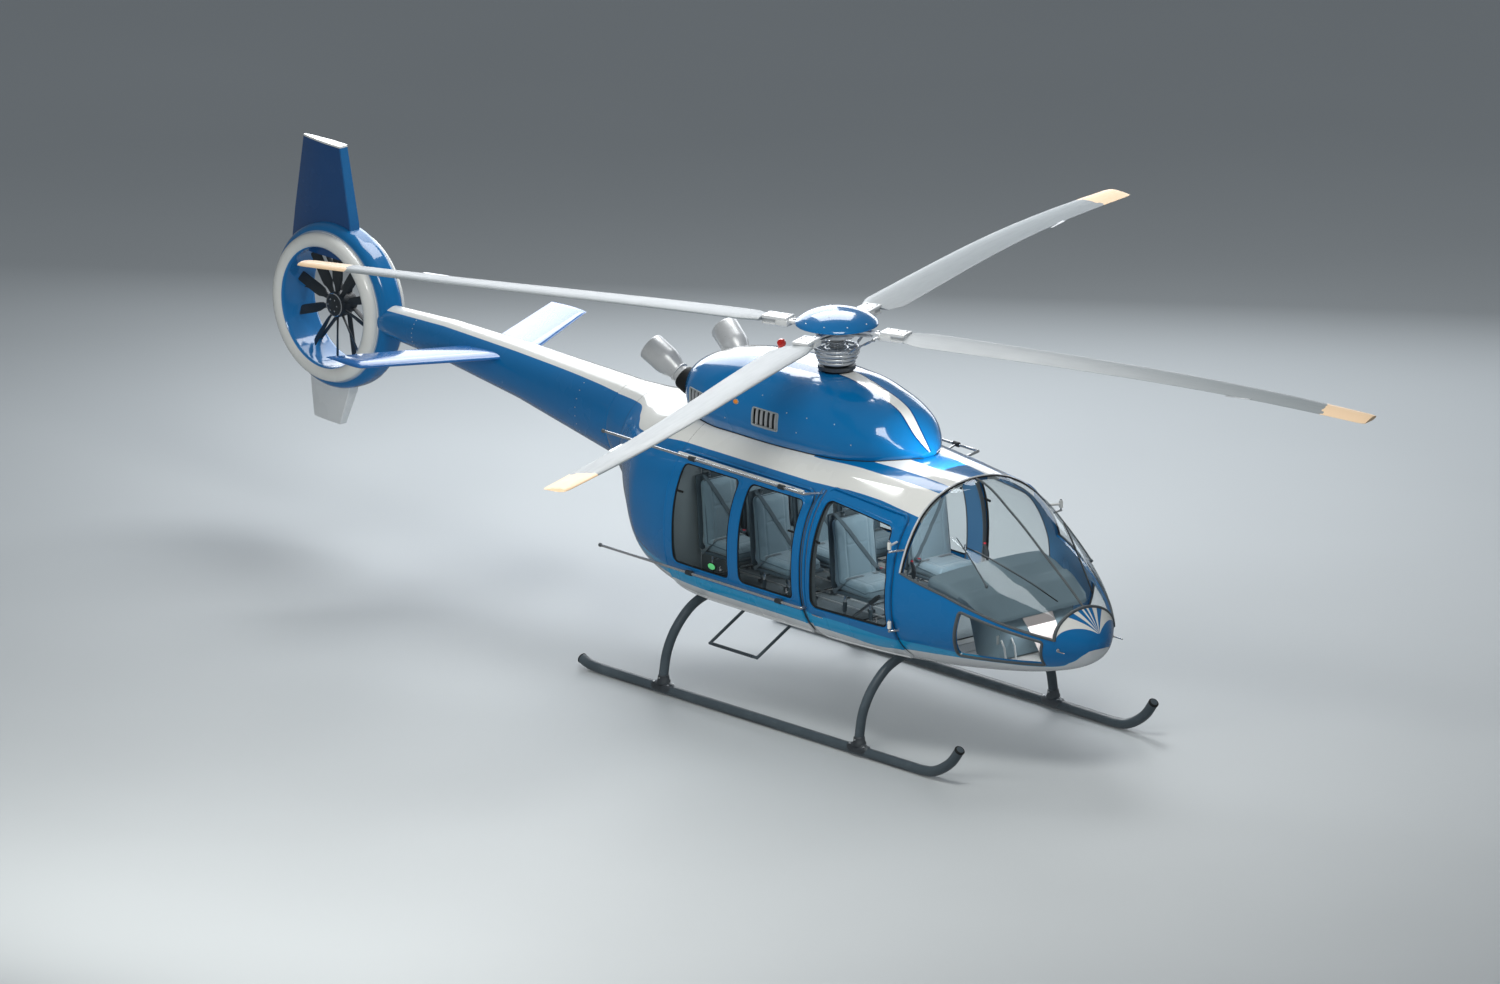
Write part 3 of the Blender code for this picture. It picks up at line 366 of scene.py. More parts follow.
def addBlock(shape, low, high, edge=0.004, slot=0, place=None, segments=2):
    part = bmesh.new()
    bmesh.ops.create_cube(part, size=1)
    low, high = Vector(low), Vector(high)
    for vert in part.verts:
        vert.co = Vector([low[i] + (vert.co[i] + 0.5) * (high[i] - low[i]) for i in range(3)])
    if edge:
        bmesh.ops.bevel(part, geom=part.edges[:], offset=edge, segments=segments, profile=0.5, affect="EDGES")
    stamp(shape, part, slot, place)


def addTube(shape, route, radius, sides=12, slot=0, loop=False, squash=1.0):
    # a round bar along a route; radius may be one value or one for each point
    points = [Vector(p) for p in route]
    count = len(points)
    radii = radius if hasattr(radius, "__len__") else [radius] * count
    rings, side = [], None
    for i, point in enumerate(points):
        before = points[i - 1] if i or loop else points[0]
        after = points[(i + 1) % count] if i < count - 1 or loop else points[-1]
        along = (after - before).normalized()
        if side is None:
            side = along.orthogonal().normalized()
            if abs(along.z) < 0.9:
                side = along.cross(Vector((0, 0, 1))).normalized()
        side = (side - along * side.dot(along)).normalized()
        other = along.cross(side)
        ring = []
        for k in range(sides):
            a = 2 * math.pi * k / sides
            ring.append(point + side * math.cos(a) * radii[i] + other * math.sin(a) * radii[i] * squash)
        rings.append(ring)
    if loop:
        addLoft(shape, rings + rings[:1], slot, None, False)
        return
    ends = []  # rounded over: a smaller ring stands out a third of the radius
    for point, inner, ring, size in ((points[0], points[1], rings[0], radii[0]),
                                     (points[-1], points[-2], rings[-1], radii[-1])):
        out = (point - inner).normalized() * size * 0.35
        ends.append([point + (p - point) * 0.7 + out for p in ring])
    addLoft(shape, [ends[0], *rings, ends[1]], slot)


def smoothRoute(points, between):
    # a curve through the points, with so many steps between two of them
    points = [Vector(p) for p in points]
    line = [2 * points[0] - points[1], *points, 2 * points[-1] - points[-2]]
    route = []
    for a, b, c, d in zip(line, line[1:], line[2:], line[3:]):
        for step in range(between):
            t = step / between
            square, cube = 2 * a - 5 * b + 4 * c - d, 3 * b - 3 * c + d - a
            route.append(0.5 * (2 * b + (c - a) * t + square * t**2 + cube * t**3))
    return route + [points[-1]]


def evenSteps(points, spacing):
    # the same closed line with points about a spacing apart
    line = np.array([list(p) for p in points], float)
    line = np.vstack([line, line[:1]])
    along = np.concatenate([[0], np.cumsum(np.linalg.norm(np.diff(line, axis=0), axis=1))])
    count = max(3, int(round(along[-1] / spacing)))
    marks = np.linspace(0, along[-1], count + 1)[:count]
    return np.stack([np.interp(marks, along, line[:, k]) for k in range(line.shape[1])], -1)


def roundCorners(corners, radius, steps=8):
    corners = [Vector(c) for c in corners]
    outline = []
    for i, corner in enumerate(corners):
        before = (corners[i - 1] - corner).normalized()
        after = (corners[(i + 1) % len(corners)] - corner).normalized()
        half = before.angle(after) / 2
        reach = radius / math.tan(half)
        centre = corner + (before + after).normalized() * (radius / math.sin(half))
        start = corner + before * reach - centre
        turn = start.angle_signed(corner + after * reach - centre)
        for step in range(steps + 1):
            a = -turn * step / steps
            spun = (start.x * math.cos(a) - start.y * math.sin(a), start.x * math.sin(a) + start.y * math.cos(a))
            outline.append(centre + Vector(spun))
    return outline


def roundOutline(corners, radius, steps=10, spacing=0.02):
    return evenSteps(roundCorners(corners, radius, steps), spacing)


def growOutline(outline, distance):
    # moves a closed outline out by a distance, or in by a negative one
    line = np.array([list(p) for p in outline], float)
    along = np.roll(line, -1, 0) - np.roll(line, 1, 0)
    along /= np.maximum(np.linalg.norm(along, axis=1), 1e-9)[:, None]
    area = np.sum(line[:, 0] * np.roll(line[:, 1], -1) - np.roll(line[:, 0], -1) * line[:, 1])
    return line + np.stack([along[:, 1], -along[:, 0]], -1) * distance * (1 if area > 0 else -1)


def insideLoops(spots, loops):
    # even-odd test of many points against several outlines
    inside = np.zeros(len(spots), bool)
    for loop in loops:
        line = np.array([list(p) for p in loop], float)
        after = np.roll(line, -1, 0)
        for (x0, y0), (x1, y1) in zip(line, after):
            cross = (y0 > spots[:, 1]) != (y1 > spots[:, 1])
            if y1 != y0:
                inside ^= cross & (spots[:, 0] < (x1 - x0) * (spots[:, 1] - y0) / (y1 - y0) + x0)
    return inside


def awayFromLoops(spots, loops):
    nearest = np.full(len(spots), 1e9)
    for loop in loops:
        line = np.array([list(p) for p in loop], float)
        for a, b in zip(line, np.roll(line, -1, 0)):
            way = b - a
            t = np.clip(((spots - a) @ way) / max(way @ way, 1e-12), 0, 1)
            nearest = np.minimum(nearest, np.linalg.norm(spots - a - t[:, None] * way, axis=1))
    return nearest


def addSheet(shape, place, outline, holes=(), step=0.03, outer=0.0, inner=-0.02, slots=(0, 1, 0)):
    # a panel cut to an outline, with holes; place(u, v, out) gives points in space
    loops = [outline, *holes]
    points, edges = [], []
    for loop in loops:
        first, count = len(points), len(loop)
        points += [Vector((p[0], p[1])) for p in loop]
        edges += [(first + i, first + (i + 1) % count) for i in range(count)]
    line = np.array([list(p) for p in outline], float)
    us = np.arange(line[:, 0].min() + step / 2, line[:, 0].max(), step)
    vs = np.arange(line[:, 1].min() + step / 2, line[:, 1].max(), step)
    grid = np.stack(np.meshgrid(us, vs), -1).reshape(-1, 2)
    grid[:, 0] += np.where(np.round((grid[:, 1] - vs[0]) / step) % 2 > 0, step * 0.5, 0)
    keep = insideLoops(grid, loops) & (awayFromLoops(grid, loops) > step * 0.4)
    points += [Vector(p) for p in grid[keep]]
    spots, _, faces = delaunay_2d_cdt(points, edges, [], 0, 1e-7)[:3]
    spots = np.array([list(p) for p in spots])
    faces = np.array([f for f in faces if len(f) == 3])
    faces = faces[insideLoops(spots[faces].mean(axis=1), loops)]
    part = bmesh.new()
    skins = []
    for out in (outer, inner):
        skins.append([part.verts.new(p) for p in place(spots[:, 0], spots[:, 1], out)])
    seen = {}
    for face in faces:
        for a, b in ((face[0], face[1]), (face[1], face[2]), (face[2], face[0])):
            seen[(a, b)] = seen.get((b, a), 0) + 1
        part.faces.new([skins[0][k] for k in face]).material_index = slots[0]
        part.faces.new([skins[1][k] for k in reversed(face)]).material_index = slots[1]
    for a, b in [pair for pair in seen if (pair[1], pair[0]) not in seen]:
        rim = (skins[0][b], skins[0][a], skins[1][a], skins[1][b])
        part.faces.new(rim).material_index = slots[2]
    bmesh.ops.delete(part, geom=[v for v in part.verts if not v.link_faces], context="VERTS")
    stamp(shape, part, None)


def addTrim(shape, route, profile, table=hull, slot=0, loop=False):
    # a moulding laid on the body along a route; profile is a ring of (across, outward)
    points = np.asarray(route, float)
    normals = outwardAt(table, points)
    if loop:
        along = np.roll(points, -1, 0) - np.roll(points, 1, 0)
    else:
        along = np.gradient(points, axis=0)
    along /= np.maximum(np.linalg.norm(along, axis=1), 1e-9)[:, None]
    across = np.cross(normals, along)
    across /= np.maximum(np.linalg.norm(across, axis=1), 1e-9)[:, None]
    rings = []
    for i, point in enumerate(points):
        rings.append([point + across[i] * a + normals[i] * o for a, o in profile])
    addLoft(shape, rings + rings[:1] if loop else rings, slot, None, not loop)


def bead(low, high, base, top, steps=6):
    # a rounded strip from one side to the other, standing between two heights
    middle, half, rise = (low + high) / 2, (high - low) / 2, top - base
    ring = [(low, base)]
    for k in range(1, steps):
        a = math.pi * (1 - k / steps)
        ring.append((middle + half * math.cos(a), base + rise * math.sin(a) ** 0.7))
    return ring + [(high, base), (middle, base - 0.002)]


pieceCount = 0


def makePiece(name, shape, materials, body="airframe", stands=(), sharp=38, table=None, pose=None):
    global pieceCount
    mesh = bpy.data.meshes.new(name)
    shape.to_mesh(mesh)
    shape.free()
    for material in materials:
        mesh.materials.append(material)
    if table is None:
        mesh.set_sharp_from_angle(angle=math.radians(sharp))
    else:
        followSurface(mesh, table)
    piece = bpy.data.objects.new(name, mesh)
    bpy.context.scene.collection.objects.link(piece)
    piece.matrix_world = Matrix.Translation((mastX, 0, 0)) @ (pose or Matrix.Identity(4))
    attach(piece, body)
    if stands:
        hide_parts(*stands)
    pieceCount += 1
    return piece


def followSurface(mesh, table):
    # reflections follow the drawn curves: skin corners take the surface's own direction, the rest stays flat
    count = len(mesh.loops)
    owner = np.zeros(count, np.int32)
    mesh.loops.foreach_get("vertex_index", owner)
    spots = np.zeros(len(mesh.vertices) * 3, np.float32)
    mesh.vertices.foreach_get("co", spots)
    true = outwardAt(table, spots.reshape(-1, 3))[owner]
    corner = np.zeros(count * 3, np.float32)
    mesh.set_sharp_from_angle(angle=math.radians(38))
    mesh.corner_normals.foreach_get("vector", corner)
    corner = corner.reshape(-1, 3)
    flat = np.zeros(len(mesh.polygons) * 3, np.float32)
    mesh.polygons.foreach_get("normal", flat)
    sizes = np.zeros(len(mesh.polygons), np.int32)
    mesh.polygons.foreach_get("loop_total", sizes)
    flat = np.repeat(flat.reshape(-1, 3), sizes, axis=0)
    dots = np.sum(flat * true, axis=1)
    chosen = np.where((dots > 0.93)[:, None], true, np.where((dots < -0.93)[:, None], -true, corner))
    mesh.normals_split_custom_set([tuple(n) for n in chosen])


# Paint and materials
def beyond(tree, value, limit, soft=0.0012):
    # 1 where the value passes the limit, with an edge as crisp as masking tape leaves
    over = addNode(tree, "Math", {"operation": "SUBTRACT"}, {0: value, 1: limit})
    return addNode(tree, "MapRange", None, {"Value": over, "From Min": -soft, "From Max": soft})


def tapeLine(tree, along, points):
    # a line of masking tape: a height or width that changes smoothly along the body
    xs, ys = [p[0] for p in points], [p[1] for p in points]
    low, high = min(ys) - 0.01, max(ys) + 0.01
    share = addNode(tree, "MapRange", None, {"Value": along, "From Min": xs[0], "From Max": xs[-1]})
    line = addNode(tree, "FloatCurve", None, {"Value": share})
    curve = line.mapping.curves[0]
    spots = [((x - xs[0]) / (xs[-1] - xs[0]), (y - low) / (high - low)) for x, y in points]
    curve.points[0].location, curve.points[1].location = spots[0], spots[-1]
    for spot in spots[1:-1]:
        curve.points.new(*spot)
    line.mapping.update()
    return addNode(tree, "MapRange", None, {"Value": line, "To Min": low, "To Max": high})


def allOf(tree, *masks):
    total = masks[0]
    for mask in masks[1:]:
        total = addNode(tree, "Math", {"operation": "MULTIPLY"}, {0: total, 1: mask})
    return total


def layPaint(tree, base, *coats):
    # coats of (colour, mask), each over the last
    for colour, mask in coats:
        colour = linear(colour) if isinstance(colour, str) else colour
        base = addNode(tree, "Mix", {"data_type": "RGBA"}, {"Factor": mask, "A": base, "B": colour})
    return base


def axesOf(tree):
    place = addNode(tree, "TexCoord").outputs["Object"]
    axes = addNode(tree, "SeparateXYZ", None, {"Vector": place})
    wide = addNode(tree, "Math", {"operation": "ABSOLUTE"}, {0: axes.outputs["Y"]})
    return place, axes.outputs["X"], axes.outputs["Y"], axes.outputs["Z"], wide


def sprayFinish(tree, shader, place, paint):
    # a sprayed coat: slight clouds of dust grey in the tone, and orange peel in the gloss.
    # the peel's real waves are 1 to 2 mm; they are drawn about 9 mm wide so that they show
    clouds = addNode(tree, "TexNoise", None, {"Vector": place, "Scale": 1.6, "Detail": 3.0, "Roughness": 0.6})
    grey = addNode(tree, "MapRange", None, {"Value": clouds, "From Min": 0.45, "From Max": 0.85, "To Max": 0.03})
    peel = addNode(tree, "TexNoise", None, {"Vector": place, "Scale": 110.0, "Detail": 1.0})
    bump = addNode(tree, "Bump", None, {"Strength": 0.035, "Distance": 0.002, "Height": peel})
    rough = addNode(tree, "MapRange", None, {"Value": clouds, "From Min": 0.3, "From Max": 0.8,
                                             "To Min": 0.20, "To Max": 0.34})
    aged = layPaint(tree, paint, ("#8f979b", grey))
    joinSockets(tree, (aged, shader.inputs["Base Color"]), (rough, shader.inputs["Roughness"]),
                (bump, shader.inputs["Normal"]), (bump, shader.inputs["Coat Normal"]))


enamel = {
    "blue": "#0567a3", "deepBlue": "#04437a", "cyan": "#0f90c2", "white": "#dcdedb", "silver": "#cdd1d4",
    "coat": {"Coat_Weight": 1.0, "Coat_Roughness": 0.06, "Coat_IOR": 1.5, "Specular_IOR_Level": 0.12},
}
stripes = {  # the lines of masking tape: x and height on the sides, x and half width on the roof
    "silverTop": (
        (-2.60, 1.56), (-2.0, 1.20), (-1.6, 1.065), (-1.12, 0.985), (-0.6, 0.962), (0.55, 0.955), (1.14, 0.936),
        (1.46, 0.905), (1.70, 0.93), (2.05, 0.955), (2.65, 0.965), (3.08, 0.964), (3.255, 1.02), (3.38, 1.109),
        (3.435, 1.151), (3.46, 1.157)),
    "cyanTop": (
        (-2.60, 1.66), (-2.0, 1.33), (-1.6, 1.18), (-1.12, 1.092), (-0.6, 1.077), (0.55, 1.076), (1.20, 1.072),
        (1.57, 1.048), (1.80, 1.040), (2.10, 1.038), (2.35, 1.023), (2.65, 0.990), (3.08, 0.972), (3.255, 1.024),
        (3.38, 1.112), (3.46, 1.158)),
    "bandEdge": (
        (-2.60, 0.215), (-2.28, 0.27), (-2.05, 0.45), (-1.86, 0.60), (-1.50, 0.70), (-1.15, 0.725), (0.75, 0.725),
        (0.965, 0.70), (1.32, 0.67), (1.58, 0.665), (1.86, 0.648)),
    "outer": ((0.4, 0.53), (0.7, 0.505), (1.2, 0.46), (1.55, 0.425), (1.86, 0.39)),
    "inner": ((0.4, 0.41), (0.9, 0.375), (1.2, 0.34), (1.55, 0.305), (1.86, 0.272)),
    "centre": ((0.4, 0.20), (1.2, 0.16), (1.86, 0.142)),
    "roofFromZ": 1.85, "roofToX": 1.90, "splitFromX": 0.3,
    "rayX": 3.418, "rays": ((0.085, 0.20), (0.44, 0.70), (1.02, 1.75)), "raysFrom": (3.215, 1.245), "raysToX": 3.412,
}


def hullPaint():
    # two-stage enamel over aluminium and composite: deep, wet-looking colour under a clear coat
    material, tree, shader = startMaterial("clearCoatedHullEnamel", **enamel["coat"])
    place, x, y, z, wide = axesOf(tree)
    silverTop, cyanTop, bandEdge, outer, inner, centre = (
        tapeLine(tree, x, stripes[key]) for key in ("silverTop", "cyanTop", "bandEdge", "outer", "inner", "centre"))
    upper = beyond(tree, z, stripes["roofFromZ"])
    onRoof = allOf(tree, upper, beyond(tree, bandEdge, wide), beyond(tree, stripes["roofToX"], x))
    ahead = allOf(tree, onRoof, beyond(tree, x, stripes["splitFromX"]))
    above = beyond(tree, z, silverTop)
    coats = [
        (enamel["cyan"], beyond(tree, cyanTop, z)),
        (enamel["silver"], beyond(tree, silverTop, z)),
        (enamel["white"], onRoof),
        (enamel["blue"], allOf(tree, ahead, beyond(tree, outer, wide))),
        (enamel["white"], allOf(tree, ahead, beyond(tree, inner, wide))),
        (enamel["blue"], allOf(tree, ahead, beyond(tree, centre, wide))),
    ]
    # white rays fan out over the nose from a point just above its tip
    reach = addNode(tree, "Math", {"operation": "SUBTRACT"}, {0: stripes["rayX"], 1: x})
    reach = addNode(tree, "Math", {"operation": "MAXIMUM"}, {0: reach, 1: 0.004})
    angle = addNode(tree, "Math", {"operation": "DIVIDE"}, {0: wide, 1: reach})
    fromX, fromZ = stripes["raysFrom"]
    onNose = allOf(tree, beyond(tree, x, fromX), beyond(tree, z, fromZ), above, beyond(tree, stripes["raysToX"], x))
    for low, high in stripes["rays"]:
        ray = allOf(tree, onNose, beyond(tree, angle, low, 0.01), beyond(tree, high, angle, 0.01))
        coats.append((enamel["white"], ray))
    sprayFinish(tree, shader, place, layPaint(tree, linear(enamel["blue"]), *coats))
    return material


def cowlPaint():
    # the same enamel on the engine cowl, with its centre stripe
    material, tree, shader = startMaterial("clearCoatedCowlEnamel", **enamel["coat"])
    place, x, y, z, wide = axesOf(tree)
    stripe = tapeLine(tree, x, [
        (-1.62, 0.20), (-1.2, 0.17), (-0.6, 0.13), (-0.25, 0.10), (0.15, 0.075), (0.5, 0.062), (0.8, 0.056),
        (1.0, 0.046), (1.12, 0.028), (1.20, 0.006)])
    line = addNode(tree, "Math", {"operation": "ADD"}, {0: stripe, 1: 0.016})
    topSide = beyond(tree, z, 2.43)
    paint = layPaint(tree, linear(enamel["blue"]),
                     (enamel["deepBlue"], allOf(tree, topSide, beyond(tree, line, wide))),
                     (enamel["white"], allOf(tree, topSide, beyond(tree, stripe, wide))))
    sprayFinish(tree, shader, place, paint)
    return material


def boomPaint():
    # enamel on the tail boom, white on its back and blue on its flanks
    material, tree, shader = startMaterial("clearCoatedBoomEnamel", **enamel["coat"])
    place, x, y, z, wide = axesOf(tree)
    edge = tapeLine(tree, x, [(-6.05, 0.075), (-5.0, 0.105), (-4.0, 0.135), (-3.2, 0.165), (-2.55, 0.215)])
    middle = tapeLine(tree, x, [(-6.02, 2.085), (-5.0, 2.075), (-4.0, 2.015), (-2.60, 1.8825)])
    over = beyond(tree, z, middle)
    paint = layPaint(tree, linear(enamel["blue"]), (enamel["white"], allOf(tree, over, beyond(tree, edge, wide))))
    sprayFinish(tree, shader, place, paint)
    return material


def plainPaint(name, colour):
    material, tree, shader = startMaterial(name, **enamel["coat"])
    sprayFinish(tree, shader, axesOf(tree)[0], linear(colour))
    return material


def innerPaint():
    # satin enamel inside the frames and doors: blue like the outside, pale low down, where the floor curves up
    material, tree, shader = startMaterial("satinInnerEnamel", Coat_Weight=0.2, Coat_Roughness=0.25)
    place, x, y, z, wide = axesOf(tree)
    paint = layPaint(tree, linear("#4a7aa3"), ("#dfe1e1", beyond(tree, 1.06, z, 0.01)))
    sprayFinish(tree, shader, place, paint)
    return material


def finPaint():
    # enamel on the fins: deep blue flanks, a white cap and a pale grey ventral fin, with painted light on the leading
    # face, which is a lighter blue
    material, tree, shader = startMaterial("clearCoatedFinEnamelAndPaintedLight", **enamel["coat"])
    place, x, y, z, wide = axesOf(tree)
    # painted light: faces that point forward are painted a lighter blue, as if lit from the front
    facing = addNode(tree, "SeparateXYZ", None, {"Vector": addNode(tree, "NewGeometry").outputs["Normal"]})
    paint = layPaint(tree, linear(enamel["deepBlue"]),
                     ("#1c659d", beyond(tree, facing.outputs["X"], 0.7, 0.05)),
                     (enamel["white"], beyond(tree, z, 3.498)),
                     ("#dbdfe1", beyond(tree, 1.62, z)))
    sprayFinish(tree, shader, place, paint)
    return material


def shroudPaint():
    # enamel on the fan's shroud: white round lips on a blue barrel, and a painted reflection inside the duct, which
    # is a lighter blue
    material, tree, shader = startMaterial("clearCoatedShroudEnamelAndPaintedReflection", **enamel["coat"])
    place, x, y, z, wide = axesOf(tree)
    fromFan = addNode(tree, "VectorMath", {"operation": "LENGTH"}, {0: addNode(
        tree, "CombineXYZ", None, {"X": addNode(tree, "Math", None, {0: x, 1: 6.48}),
                                   "Z": addNode(tree, "Math", None, {0: z, 1: -2.085})})}).outputs["Value"]
    lip = allOf(tree, beyond(tree, wide, 0.128), beyond(tree, fromFan, 0.536), beyond(tree, 0.668, fromFan))
    # painted reflection: the inside of the duct is a lighter blue that stands in for the bright reflection in it
    duct = beyond(tree, 0.536, fromFan)
    paint = layPaint(tree, linear(enamel["blue"]), ("#2475b4", duct), (enamel["white"], lip))
    sprayFinish(tree, shader, place, paint)
    return material


def glassOf(name, tint):
    # cast acrylic sheet: the tint dims what is behind it, and it mirrors the sky at low angles.
    # only the face met first is tinted and mirrors, as the sheet is too thin to bend the view
    material = bpy.data.materials.new(name)
    material.use_nodes = True
    tree = material.node_tree
    tree.nodes.remove(tree.nodes["Principled BSDF"])
    clear = addNode(tree, "BsdfTransparent", None, {"Color": linear(tint)})
    mirror = addNode(tree, "BsdfAnisotropic", None, {"Color": linear("#b4bbc0"), "Roughness": 0.03})
    place = axesOf(tree)[0]
    wave = addNode(tree, "TexNoise", None, {"Vector": place, "Scale": 1.2, "Detail": 0.0})
    bump = addNode(tree, "Bump", None, {"Strength": 0.005, "Distance": 0.004, "Height": wave})
    joinSockets(tree, (bump, mirror.inputs["Normal"]))
    share = addNode(tree, "Fresnel", None, {"IOR": 1.5, "Normal": bump})
    met = addNode(tree, "MixShader", None, {0: share, 1: clear, 2: mirror})
    behind = addNode(tree, "NewGeometry").outputs["Backfacing"]
    mixed = addNode(tree, "MixShader", None, {0: behind, 1: met, 2: addNode(tree, "BsdfTransparent")})
    joinSockets(tree, (mixed, tree.nodes["Material Output"].inputs["Surface"]))
    return material


def metalOf(name, colour, rough, grain=60.0, bumpy=0.04, stretch=(1, 1, 1), dark="#3a3d40", tarnish=0.25, bare=1.0):
    # bare metal: grain from turning, drawing or polishing, and dull patches where hands and weather reach it
    material, tree, shader = startMaterial(name, Metallic=bare)
    place = axesOf(tree)[0]
    drawn = addNode(tree, "Mapping", None, {"Vector": place, "Scale": stretch})
    lines = addNode(tree, "TexNoise", None, {"Vector": drawn, "Scale": grain, "Detail": 4.0, "Roughness": 0.65})
    patches = addNode(tree, "TexNoise", None, {"Vector": place, "Scale": 7.0, "Detail": 4.0, "Roughness": 0.6})
    dull = addNode(tree, "MapRange", None, {"Value": patches, "From Min": 0.5, "From Max": 0.8, "To Max": tarnish})
    tone = layPaint(tree, linear(colour), (dark, dull))
    gloss = addNode(tree, "MapRange", None, {"Value": lines, "From Min": 0.3, "From Max": 0.7,
                                             "To Min": rough * 0.75, "To Max": rough * 1.35})
    bump = addNode(tree, "Bump", None, {"Strength": bumpy, "Distance": 0.001, "Height": lines})
    joinSockets(tree, (tone, shader.inputs["Base Color"]), (gloss, shader.inputs["Roughness"]),
                (bump, shader.inputs["Normal"]))
    return material


def mouldedOf(name, colour, worn, rough, grain, bumpy, specular=0.5, wornShare=0.3, depth=0.001):
    # rubber, plastic and powder coat: an even skin with a fine grain, paler where it is rubbed
    material, tree, shader = startMaterial(name, Specular_IOR_Level=specular, IOR=1.5)
    place = axesOf(tree)[0]
    pebbles = addNode(tree, "TexNoise", None, {"Vector": place, "Scale": grain, "Detail": 3.0, "Roughness": 0.6})
    rubbed = addNode(tree, "TexNoise", None, {"Vector": place, "Scale": 5.0, "Detail": 5.0, "Roughness": 0.65})
    share = addNode(tree, "MapRange", None, {"Value": rubbed, "From Min": 0.48, "From Max": 0.78,
                                             "To Max": wornShare})
    tone = layPaint(tree, linear(colour), (worn, share))
    gloss = addNode(tree, "MapRange", None, {"Value": rubbed, "From Min": 0.3, "From Max": 0.8,
                                             "To Min": rough * 0.85, "To Max": min(1.0, rough * 1.2)})
    bump = addNode(tree, "Bump", None, {"Strength": bumpy, "Distance": depth, "Height": pebbles})
    joinSockets(tree, (tone, shader.inputs["Base Color"]), (gloss, shader.inputs["Roughness"]),
                (bump, shader.inputs["Normal"]))
    return material


def clothOf(name, colour, thread, weaveMm=6.0):
    # woven seat cloth: crossing threads, a soft sheen at low angles, a little fading.
    # real threads are about 1 mm; they are drawn weaveMm wide so that they show
    material, tree, shader = startMaterial(name, Roughness=0.85, Sheen_Weight=0.35, Sheen_Roughness=0.5,
                                           Specular_IOR_Level=0.25)
    place = axesOf(tree)[0]
    scale = 1000 / weaveMm / (2 * math.pi) * 2  # at scale 1 the bands repeat about every 0.3 m
    warp = addNode(tree, "TexWave", {"bands_direction": "Y"}, {"Vector": place, "Scale": scale, "Distortion": 0.6})
    weft = addNode(tree, "TexWave", {"bands_direction": "Z"}, {"Vector": place, "Scale": scale, "Distortion": 0.6})
    weave = addNode(tree, "Math", {"operation": "MAXIMUM"}, {0: warp, 1: weft})
    fade = addNode(tree, "TexNoise", None, {"Vector": place, "Scale": 4.0, "Detail": 4.0})
    share = addNode(tree, "MapRange", None, {"Value": fade, "From Min": 0.4, "From Max": 0.8, "To Max": 0.35})
    tone = layPaint(tree, linear(colour), (thread, allOf(tree, weave, 0.3)), ("#8a979c", allOf(tree, share, 0.5)))
    bump = addNode(tree, "Bump", None, {"Strength": 0.35, "Distance": 0.0015, "Height": weave})
    joinSockets(tree, (tone, shader.inputs["Base Color"]), (bump, shader.inputs["Normal"]))
    return material


def lensOf(name, colour, shade, glow=0.0):
    # moulded polycarbonate lens: deep clear colour with ribs inside that catch the light
    material, tree, shader = startMaterial(name, Base_Color=colour, Roughness=0.12, Coat_Weight=1.0,
                                           Emission_Color=colour, Emission_Strength=glow)
    place = axesOf(tree)[0]
    ribs = addNode(tree, "TexWave", {"bands_direction": "Z"}, {"Vector": place, "Scale": 40.0})
    tone = layPaint(tree, linear(colour), (shade, allOf(tree, ribs, 0.25)))
    bump = addNode(tree, "Bump", None, {"Strength": 0.2, "Distance": 0.001, "Height": ribs})
    joinSockets(tree, (tone, shader.inputs["Base Color"]), (bump, shader.inputs["Normal"]))
    return material


def bladePaint():
    # matt polyurethane over composite, flown clean at the leading edge; the tips are sprayed by hand, so
    # their edge wavers
    material, tree, shader = startMaterial("satinBladePaint", Coat_Weight=0.04, Coat_Roughness=0.25,
                                           Specular_IOR_Level=0.3)
    place, x, y, z, wide = axesOf(tree)
    wobble = addNode(tree, "TexNoise", None, {"Vector": place, "Scale": 9.0, "Detail": 2.0})
    shift = addNode(tree, "MapRange", None, {"Value": wobble, "To Min": -0.09, "To Max": 0.09})
    tipFrom = addNode(tree, "Math", None, {0: shift, 1: 4.74})
    tip = beyond(tree, x, tipFrom)
    edge = addNode(tree, "MapRange", None, {"Value": y, "From Min": 0.19, "From Max": 0.21})
    streak = addNode(tree, "Mapping", None, {"Vector": place, "Scale": (1.2, 14, 1)})
    streaks = addNode(tree, "TexNoise", None, {"Vector": streak, "Scale": 3.0, "Detail": 4.0})
    soot = addNode(tree, "MapRange", None, {"Value": streaks, "From Min": 0.5, "From Max": 0.8, "To Max": 0.3})
    tone = layPaint(tree, linear("#8f979b"), ("#7f878c", soot), ("#f9d9b3", tip),
                    ("#a9afb2", allOf(tree, edge, 0.4)))
    rough = addNode(tree, "MapRange", None, {"Value": streaks, "To Min": 0.32, "To Max": 0.5})
    bump = addNode(tree, "Bump", None, {"Strength": 0.03, "Distance": 0.001, "Height": streaks})
    joinSockets(tree, (tone, shader.inputs["Base Color"]), (rough, shader.inputs["Roughness"]),
                (bump, shader.inputs["Normal"]))
    return material


